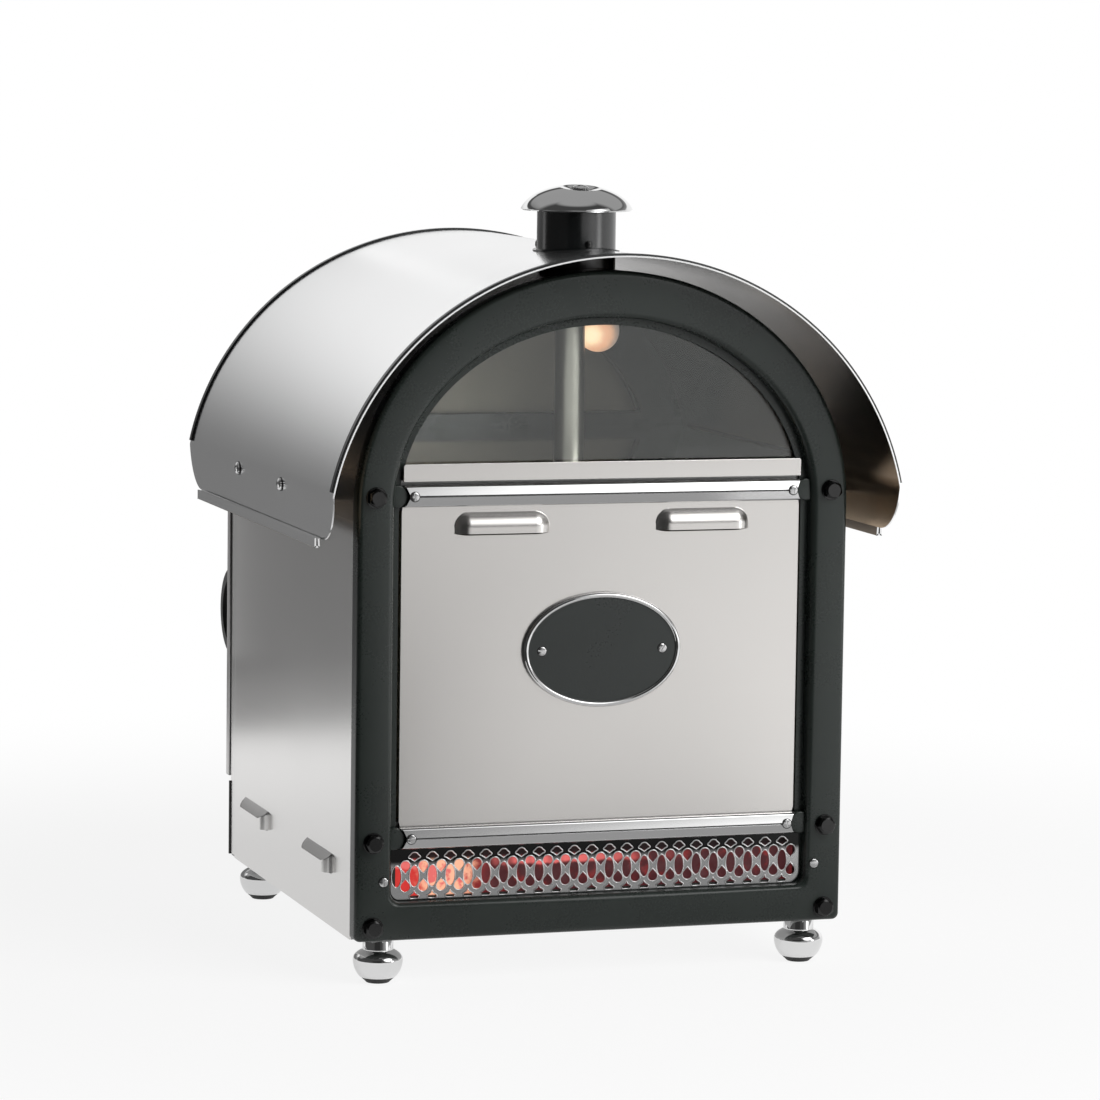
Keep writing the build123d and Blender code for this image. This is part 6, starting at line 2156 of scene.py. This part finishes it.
    def build(self, roof: Roof, chimney: Chimney) -> None:
        """Scatter the fasteners of each kind.

        Args:
            roof: The roof that the eave screws go through.
            chimney: The chimney that the cap's screw and the rivets are on.
        """
        turn = random.Random(self.turn_seed)
        scatter = Scatter()
        face, eave = box_mm("front_frame")[0].y, roof.eave_x(self.roof_screw_z)
        bolts = [
            Spot((side.value * self.bolt_x, face, z), FRONT, turn.uniform(0, pi))
            for side in Side
            for z in self.bolt_zs
        ]
        front = self.front_spots(turn)
        eaves = [
            Spot((side.value * eave, y, self.roof_screw_z), (side.value, 0.0, 0.0), turn.uniform(0, pi))
            for side in Side
            for y in self.roof_screw_ys
        ]
        heads = Piece("frame_bolt_heads", "blackened_steel", (BLACKENED,), "frame_bolts")
        scatter.build(heads, self.hex_head(), bolts, BOLT_ANGLE)
        dent, above = chimney.dent_spot(0.0), chimney.dent_spot(self.cap_washer[1])
        rivets = self.rivet_spots(roof, chimney)
        for name, finish, node, form, spots in (
            ("front_screw_heads", SCREW_STEEL, "front_screws", self.pan_head(*self.screw, Head.SLOT), front),
            ("front_screw_seats", BLACKENED, "front_screws", self.flat_ring(*self.seat), front),
            ("cap_screw_washer", BLACKENED, "", self.flat_ring(*self.cap_washer), [dent]),
            ("cap_screw_head", CHROME, "", self.pan_head(*self.cap_screw, Head.CROSS), [above]),
            ("pipe_rivets", BLACKENED, "", self.pan_head(*self.rivet, Head.SLOT), rivets),
            ("roof_screw_heads", CHROME, "roof_screws", self.pan_head(*self.roof_screw, Head.CROSS), eaves),
            ("roof_screw_seats", BLACKENED, "roof_screws", self.flat_ring(*self.roof_seat), eaves),
        ):
            slot = "blackened_steel" if finish is BLACKENED else "polished_steel"
            scatter.build(Piece(name, slot, (finish,), node), form, spots)


@dataclass(frozen=True)
class Refined:
    """A CAD node shown as a refined copy in its finish."""

    node: str
    slot: str
    finish: Finish
    bevel: float = 0.3
    body: Body = Body.CABINET

    def build(self) -> None:
        """Make the refined copy."""
        piece = Piece(self.node + "_shape", self.slot, (self.finish,), self.node, self.body)
        piece.from_node(self.node, self.bevel)


@dataclass(frozen=True)
class Dressed:
    """A CAD node shown as it is, in its finish."""

    node: str
    finish: Finish

    def build(self) -> None:
        """Give the node its material."""
        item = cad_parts[self.node]
        item.data.materials.clear()
        item.data.materials.append(self.finish.material())
        log.info("%s: dressed in %s", self.node, self.finish.name)


@dataclass
class Group:
    """Parts that are shown from their CAD nodes."""

    parts: tuple[Refined | Dressed, ...]

    def build(self) -> None:
        """Build each part."""
        for part in self.parts:
            part.build()


@dataclass
class Inside(Group):
    """The window, the display chamber, the oven box and what carries them."""

    parts: tuple[Refined | Dressed, ...] = (
        Dressed("front_glass", GLASS),
        Dressed("glass_seal", SEAL),
        Refined("arch_shell", "brushed_sheet", SHELL_STEEL, 0.0),
        Dressed("base_plate", ZINC),
        Dressed("cross_channels", ZINC),
        Dressed("roof_brackets", ZINC),
        Refined("display_floor", "polished_steel", POLISHED),
        Refined("display_lamp", "lamp_glass", LAMP, 0.0),
        Refined("lamp_holders", "ceramic", CERAMIC),
        Refined("glow_lamps", "lamp_glass", GLOW_LAMP, 0.0),
        Dressed("oven_liner", OVEN_ENAMEL),
        Dressed("oven_insulation", WOOL),
        Refined("heating_elements", "element_metal", ELEMENT, 0.0),
        Refined("shelf_runners", "zinc_sheet", ZINC, 0.2),
        Refined("lower_shelf", "chrome", CHROME, 0.0),
        Refined("upper_shelf", "chrome", CHROME, 0.0),
    )


@dataclass
class Rear(Group):
    """The rear frame, both doors with their hinges and catches, and the controls."""

    parts: tuple[Refined | Dressed, ...] = (
        Refined("catch_magnets", "blackened_steel", BLACKENED),
        Refined("hinge_leaves", "blackened_steel", BLACKENED),
        Refined("hinge_pins", "polished_steel", POLISHED),
        Refined("oven_door_skin", "brushed_sheet", DOOR_STEEL, 0.8, Body.OVEN_DOOR),
        Refined("oven_door_liner", "polished_steel", POLISHED, 0.5, Body.OVEN_DOOR),
        Dressed("oven_door_insulation", WOOL),
        Refined("oven_door_seal", "rope_gasket", ROPE, 0.5, Body.OVEN_DOOR),
        Refined("oven_door_handle", "black_plastic", PLASTIC, 0.5, Body.OVEN_DOOR),
        Refined("oven_door_hinge_leaves", "blackened_steel", BLACKENED, 0.3, Body.OVEN_DOOR),
        Refined("display_door_skin", "brushed_sheet", DOOR_STEEL, 0.8, Body.DISPLAY_DOOR),
        Refined("display_door_liner", "polished_steel", LINER_STEEL, 0.5, Body.DISPLAY_DOOR),
        Refined("display_door_handle", "black_plastic", PLASTIC, 0.5, Body.DISPLAY_DOOR),
        Refined("display_door_hinge_leaves", "blackened_steel", BLACKENED, 0.3, Body.DISPLAY_DOOR),
        Refined("control_panel", "trim_black", TRIM_BLACK, 0.4),
        Dressed("thermostat_body", ZINC),
        Refined("thermostat_knob", "black_plastic", PLASTIC, 0.5, Body.KNOB),
        Refined("switch_housings", "black_plastic", PLASTIC, 0.4),
        Refined("mains_rocker", "rocker_red", ROCKER_RED, 0.4, Body.MAINS),
        Refined("light_rocker", "rocker_green", ROCKER_GREEN, 0.4, Body.LIGHT),
        Refined("cable_gland", "black_plastic", PLASTIC, 0.4),
    )
    frame_edge: float = 0.5
    flank_tilt: float = 0.95
    flank_share: float = 0.99

    def build(self) -> None:
        """Build each part, then the frame in black with flanks of bare sheet that carry on the walls."""
        super().build()
        form = merged_copy("rear_frame")
        flank = self.flank_share * box_mm("rear_frame")[1].x * MM
        for face in form.bm.faces:
            if abs(face.normal.x) > self.flank_tilt and abs(face.calc_center_median().x) > flank:
                face.material_index = 1
        piece = Piece("rear_frame_shape", "cast_black", (CAST_BLACK, WALL_STEEL), "rear_frame")
        piece.from_form(form, bevel=self.frame_edge, angle=NODE_ANGLE)


@dataclass
class Markings:
    """The printed dial round the knob, the rockers' marks and the screws of hinges and control panel."""

    tick: Pair = (0.55, 2.4)
    tick_radius: float = 24.0
    ticks: int = 12
    sweep: float = 270.0
    numbers: tuple[int, ...] = (0, 50, 100, 150, 200, 250, 300)
    number_radius: float = 28.2
    number_size: float = 4.76
    print_depth: float = 0.08
    bar: Pair = (0.9, 4.4)
    ring: Pair = (1.55, 2.3)
    ring_steps: int = 40
    mark_rise: float = 6.2
    screw: Pair = (3.4, 1.7)
    leaf_turn: float = 0.3
    flap_turn: float = 0.7
    panel_turn: float = 0.2
    oven_leaf_xs: Pair = (173.0, 191.0)
    oven_hinge_zs: Pair = (160.0, 318.0)
    wall_leaf_ys: Pair = (171.0, 187.0)
    leaf_row: float = 16.0
    display_hinge_xs: Pair = (-110.0, 110.0)
    display_screw_z: float = 419.0
    corner_inset: float = 9.0

    def build(self) -> None:
        """Print the dial, mark the rockers and set the screws."""
        scatter = Scatter()
        self.dial(scatter)
        self.rocker_marks("mains_rocker", Body.MAINS)
        self.rocker_marks("light_rocker", Body.LIGHT)
        self.screws(scatter)

    def around_knob(self, share: float, radius: float) -> Point:
        """Return the place on the dial at a share of the knob's sweep."""
        (x, _, z), angle = middle_mm("thermostat_knob"), radians(self.sweep * share)
        return x - radius * sin(angle), box_mm("control_panel")[1].y, z + radius * cos(angle)

    def dial(self, scatter: Scatter) -> None:
        """Print ticks and numbers round the knob.

        Args:
            scatter: The tree that sets the ticks.
        """
        spots = [
            Spot(self.around_knob(share, self.tick_radius), BACK, -radians(self.sweep * share))
            for share in spread(0.0, 1.0, self.ticks)
        ]
        ticks = Piece("dial_ticks", "ceramic", (PRINT,))
        scatter.build(ticks, self.plate((0.0, 0.0), self.tick), spots, FORM_ANGLE)
        for share, number in zip(spread(0.0, 1.0, len(self.numbers) - 1), self.numbers):
            mesh = self.printed(str(number), self.around_knob(share, self.number_radius))
            Piece(f"dial_number_{number}", "ceramic", (PRINT,)).from_mesh(mesh)

    def plate(self, middle: Pair, size: Pair) -> Form:
        """Return a thin printed bar lying in the XY plane.

        Args:
            middle: Its middle.
            size: Its width and its length.

        Returns:
            The bar.
        """
        wide, tall = size[0] / 2, size[1] / 2
        corners = [(-wide, -tall), (wide, -tall), (wide, tall), (-wide, tall)]
        rows = [[(middle[0] + x, middle[1] + y, up) for x, y in corners] for up in (0.0, self.print_depth)]
        form = Form().sheet(rows, ring=True)
        for row in rows:
            form.cap(row)
        return form.outward()

    def printed(self, words: str, place: Point) -> Mesh:
        """Return a number as a thin mesh that reads from behind the cabinet.

        Args:
            words: The number.
            place: Its middle, in millimetres.

        Returns:
            The mesh, in place.
        """
        curve = bpy.data.curves.new("number", "FONT")
        curve.body = words
        curve.size = self.number_size * MM
        curve.extrude = self.print_depth / 2 * MM
        curve.align_x, curve.align_y = "CENTER", "CENTER"
        item = put("number", curve)
        mesh = evaluated(item)
        bpy.data.objects.remove(item)
        turn = Matrix(((-1.0, 0.0, 0.0), UP, BACK)).to_4x4()
        mesh.transform(Matrix.Translation(Vector(place) * MM) @ turn)
        return mesh

    def rocker_marks(self, node: str, body: Body) -> None:
        """Lay an on bar and an off ring on a rocker's two faces.

        Args:
            node: The rocker's CAD node.
            body: The body that it rides on.
        """
        x, _, z = middle_mm(node)
        form = self.plate((x, -z - self.mark_rise), self.bar)
        bmesh.ops.rotate(form.bm, verts=form.bm.verts[:], matrix=Matrix.Rotation(radians(-90.0), 3, "X"))
        (inner, outer), deep = self.ring, self.print_depth
        profile = [(inner, 0.0), (outer, 0.0), (outer, deep), (inner, deep), (inner, 0.0)]
        ring = Form().turned(profile, (x, 0.0, z - self.mark_rise), Axis.Y, self.ring_steps)
        form.add(ring.outward())
        surface = BVHTree.FromBMesh(merged_copy(node).bm)
        for vertex in form.bm.verts:
            above = Vector((vertex.co.x, 1.0, vertex.co.z))
            vertex.co.y += surface.ray_cast(above, Vector(FRONT))[0].y
        Piece(node + "_marks", "ceramic", (PRINT,), body=body).from_form(form)

    def screws(self, scatter: Scatter) -> None:
        """Set the screws of the hinges and of the control panel.

        Args:
            scatter: The tree that sets them.
        """
        rows = [z + sign * self.leaf_row for z in self.oven_hinge_zs for sign in (-1, 1)]
        leaf_y = box_mm("oven_door_hinge_leaves")[1].y
        door = [Spot((x, leaf_y, z), BACK, self.leaf_turn * x + z) for x in self.oven_leaf_xs for z in rows]
        flap = [
            Spot((x + sign * self.leaf_row, leaf_y, self.display_screw_z), BACK, self.flap_turn * x + sign)
            for x in self.display_hinge_xs
            for sign in (-1, 1)
        ]
        wall_x = box_mm("arch_shell")[1].x + HINGE_LEAF
        fixed = [
            Spot((wall_x, y, z), (1.0, 0.0, 0.0), self.leaf_turn * y + z)
            for y in self.wall_leaf_ys
            for z in rows
        ]
        low, high = box_mm("control_panel")
        fixed += [
            Spot((x, high.y, z), BACK, self.panel_turn * x + z)
            for x in (low.x + self.corner_inset, high.x - self.corner_inset)
            for z in (low.z + self.corner_inset, high.z - self.corner_inset)
        ]
        for body, spots in ((Body.OVEN_DOOR, door), (Body.DISPLAY_DOOR, flap), (Body.CABINET, fixed)):
            piece = Piece(body.value + "_rear_screws", "polished_steel", (POLISHED,), body=body)
            scatter.build(piece, Fasteners().pan_head(*self.screw, Head.CROSS), spots)


# Height of the cards that lie on the floor
MAT_Z = 0.002


def aimed(eye: Point, target: Point) -> Matrix:
    """Return the place and turn of something that looks from one point at another."""
    turn = (Vector(target) - Vector(eye)).to_track_quat("-Z", "Y").to_matrix().to_4x4()
    return Matrix.Translation(eye) @ turn


def standing(first: Pair, second: Pair, low: float, high: float) -> tuple[Point, ...]:
    """Return the corners of a card that stands between two places on the floor."""
    return ((*first, low), (*second, low), (*second, high), (*first, high))


def lying(*places: Pair) -> tuple[Point, ...]:
    """Return the corners of a mat that lies just above the floor."""
    return tuple((x, y, MAT_Z) for x, y in places)


@dataclass(frozen=True)
class Card:
    """A card that only reflections see, lit from its foot to its top or from its middle to its rim."""

    name: str
    corners: tuple[Point, ...]
    levels: Pair
    middle: Point | None = None
    reach: Pair = (0.41, 0.97)

    def build(self) -> None:
        """Set up the card."""
        mesh = bpy.data.meshes.new(self.name)
        mesh.from_pydata(self.corners, [], [(0, 1, 2, 3)])
        item = put(self.name, mesh)
        shader = Shader(self.name + "_tone")
        place = shader.parts(shader.place)
        away = place[2]
        if self.middle:
            steps = [part - centre for part, centre in zip(place, self.middle)]
            away = shader.math("SQRT", sum(step * step for step in steps))
        tone = shader.mix(shader.smooth(away, *self.reach), *(grey(level) for level in self.levels))
        shader.feed({"Base Color": grey(0.0), "Specular IOR Level": 0.0})
        shader.feed({"Emission Color": tone, "Emission Strength": 1.0})
        mesh.materials.append(shader.material)
        item.visible_camera = False
        item.visible_diffuse = False
        item.visible_shadow = False
        item.visible_transmission = False


@dataclass(frozen=True)
class Sky:
    """The studio's light by direction: white behind and to the right, darker overhead and to the left."""

    forward: Pair = (0.31, 0.95)
    behind: Pair = (-0.15, 0.15)
    overhead: Pair = (0.86, 0.96)
    right: Pair = (0.1, 0.7)
    right_top: Pair = (0.25, 0.6)
    right_level: float = 0.35
    left: Pair = (0.1, 0.6)
    left_top: Pair = (0.4, 0.7)
    left_shade: float = 0.6
    horizon: Pair = (0.015, 0.08)
    horizon_start: Pair = (-0.5, 0.0)
    backdrop: Pair = (0.3, 0.75)
    backdrop_top: Pair = (0.3, 0.38)
    gap: Pair = (0.03, 0.09)
    gap_middle: float = 0.42
    gap_shade: float = 0.9
    ceiling: Pair = (0.06, 0.29)

    def build(self) -> None:
        """Set up the world."""
        world = bpy.data.worlds.new("studio")
        bpy.context.scene.world = world
        world.use_nodes = True
        graph = Graph(world.node_tree)
        east, north, up = graph.parts(graph.node("ShaderNodeTexCoord").outputs["Generated"])
        ahead = east * self.forward[0] + north * self.forward[1]
        behind = graph.smooth(ahead, *self.behind)
        overhead = graph.smooth(up, *self.overhead)
        right = graph.smooth(east, *self.right) * (1 - graph.smooth(up, *self.right_top))
        left = graph.smooth(-east, *self.left) * (1 - graph.smooth(up, *self.left_top))
        horizon = (1 - graph.smooth(up, *self.horizon)) * graph.smooth(ahead, *self.horizon_start)
        backdrop = graph.smooth(ahead, *self.backdrop) * (1 - graph.smooth(up, *self.backdrop_top))
        gap = behind * (1 - graph.smooth(abs(up - self.gap_middle), *self.gap))
        lit = self.ceiling[1] * behind.atleast(overhead)
        ceiling = self.ceiling[0] + lit * (1 - self.left_shade * left) * (1 - self.gap_shade * gap)
        straight, clear = graph.rays("Camera", "Transmission")
        looked = straight.atleast(clear)
        level = ceiling.atleast(horizon, backdrop).atleast(right * self.right_level, looked)
        tone = graph.mix(level, grey(0.0), grey(1.0))
        light = graph.node("ShaderNodeBackground", inputs={"Color": tone, "Strength": 1.0})
        graph.node("ShaderNodeOutputWorld", inputs={"Surface": light.outputs[0]})


@dataclass
class Studio:
    """The camera, the pale floor and the soft light."""

    eye: Point = (-1.1366, -3.5593, 0.7311)
    target: Point = (-0.06285, -0.25061, 0.34398)
    roll: float = 0.7825
    lens: float = 150.19
    sensor: float = 36.0
    sight: float = 200.0
    floor_rings: tuple[float, ...] = (0.0, 0.3, 0.6, 1.0, 2.0, 5.0, 40.0)
    floor_tone: float = 0.86
    floor_roughness: float = 0.9
    floor_lift: float = 0.87
    floor_sheen: float = 0.22
    floor_fade: Pair = (0.45, 1.3)
    softbox_place: Point = (1.15, -1.75, 1.4)
    softbox_target: Point = (0.0, 0.0, 0.3)
    softbox_size: Pair = (1.9, 1.8)
    softbox_power: float = 48.0
    softbox_levels: Pair = (5.0, 0.5)
    softbox_fade: Pair = (0.15, 1.0)
    cards: tuple[Card, ...] = (
        Card("rear_card", standing((-1.4, 1.1), (0.05, 1.1), 0.0, 1.1), (0.18, 1.0)),
        Card("rear_skirt", standing((-1.4, 1.09), (0.05, 1.09), 0.0, 0.06), (0.26, 0.26)),
        Card("louvre_card", standing((-0.255, 0.45), (-0.19, 0.45), 0.17, 0.31), (0.6, 0.6)),
        Card("left_card", standing((-1.9, -2.2), (-1.9, 1.0), 0.0, 0.9), (0.07, 0.07)),
        Card("front_card", standing((-2.6, -2.2), (-0.1, -2.2), 0.0, 1.2), (0.03, 0.03)),
        Card("front_mat", lying((-1.9, -2.2), (0.47, -2.2), (-0.15, -0.42), (-1.9, -0.42)), (0.04, 0.04)),
        Card("rail_mat", lying((-0.12, -0.82), (0.52, -0.82), (0.52, -0.27), (-0.12, -0.27)), (0.52, 0.52)),
        Card("right_mat", lying((0.29, -0.58), (1.62, -4.6), (3.2, -4.6), (1.6, -0.58)), (1.25, 1.25)),
        Card(
            "right_strip",
            standing((1.58, -2.01), (2.26, -1.19), 0.01, 0.65),
            (4.6, 0.3),
            (1.92, -1.6, 0.32),
            (0.05, 0.5),
        ),
        Card("left_mat", lying((-1.9, -0.42), (-0.6, -0.42), (-0.6, 0.3), (-1.9, 0.3)), (0.05, 0.05)),
    )

    def build(self) -> None:
        """Set up the view, the floor, the sky, the softbox and the cards."""
        self.camera()
        self.floor()
        Sky().build()
        self.softbox()
        for card in self.cards:
            card.build()

    def camera(self) -> None:
        """Place the camera and take its view for the picture."""
        lens = bpy.data.cameras.new("view")
        lens.lens = self.lens
        lens.sensor_width = self.sensor
        lens.clip_end = self.sight
        item = put("view", lens)
        item.matrix_world = aimed(self.eye, self.target) @ Matrix.Rotation(radians(self.roll), 4, "Z")
        bpy.context.scene.camera = item
        bpy.context.scene.view_settings.view_transform = "Standard"

    def floor(self) -> None:
        """Lay a pale floor that takes the object's shadow and is white further off."""
        form = Form().turned([(radius / MM, 0.0) for radius in self.floor_rings])
        item = put("floor", form.facing(UP).mesh("floor"))
        shader = Shader("floor_white")
        east, north, _ = shader.parts(shader.place)
        away = shader.math("SQRT", east * east + north * north)
        straight, shiny, clear = shader.rays("Camera", "Glossy", "Transmission")
        looked = straight.atleast(shiny, clear)
        white = shader.node("ShaderNodeEmission", inputs={"Color": grey(1.0), "Strength": 1.0}).outputs[0]
        shader.feed({"Base Color": grey(self.floor_tone), "Roughness": self.floor_roughness})
        shader.feed({"Specular IOR Level": 0.0})
        plain = shader.surface.outputs[0]
        near = shader.blend(self.floor_lift - self.floor_sheen * shiny, plain, white)
        far = shader.blend(shader.smooth(away, *self.floor_fade), near, white)
        shader.plug(shader.exit.inputs["Surface"], shader.blend(looked, plain, far))
        item.data.materials.append(shader.material)

    def softbox(self) -> None:
        """Hang the softbox, point it at the object and give it a face for reflections."""
        lamp = bpy.data.lights.new("key_softbox", "AREA")
        lamp.shape = "RECTANGLE"
        lamp.size, lamp.size_y = self.softbox_size
        lamp.energy = self.softbox_power
        item = put("key_softbox", lamp)
        item.visible_glossy = False
        item.matrix_world = aimed(self.softbox_place, self.softbox_target)
        wide, tall = (size / 2 for size in self.softbox_size)
        square = ((-wide, -tall), (wide, -tall), (wide, tall), (-wide, tall))
        corners = tuple(item.matrix_world @ Vector((x, y, 0.0)) for x, y in square)
        Card("key_softbox_face", corners, self.softbox_levels, self.softbox_place, self.softbox_fade).build()


def main() -> None:
    """Build every sub-assembly in order, then the studio."""
    logging.basicConfig(level=logging.INFO, format="%(name)s %(message)s")
    roof = Roof()
    FrontFrame().build()
    FrontPanel().build()
    Badge().build()
    Grille().build()
    for side in Side:
        SideWall(side).build()
    roof.build()
    chimney = Chimney()
    chimney.build(roof)
    Feet().build()
    Fasteners().build(roof, chimney)
    Inside().build()
    Rear().build()
    Markings().build()
    Studio().build()


if __name__ == "__main__":
    main()
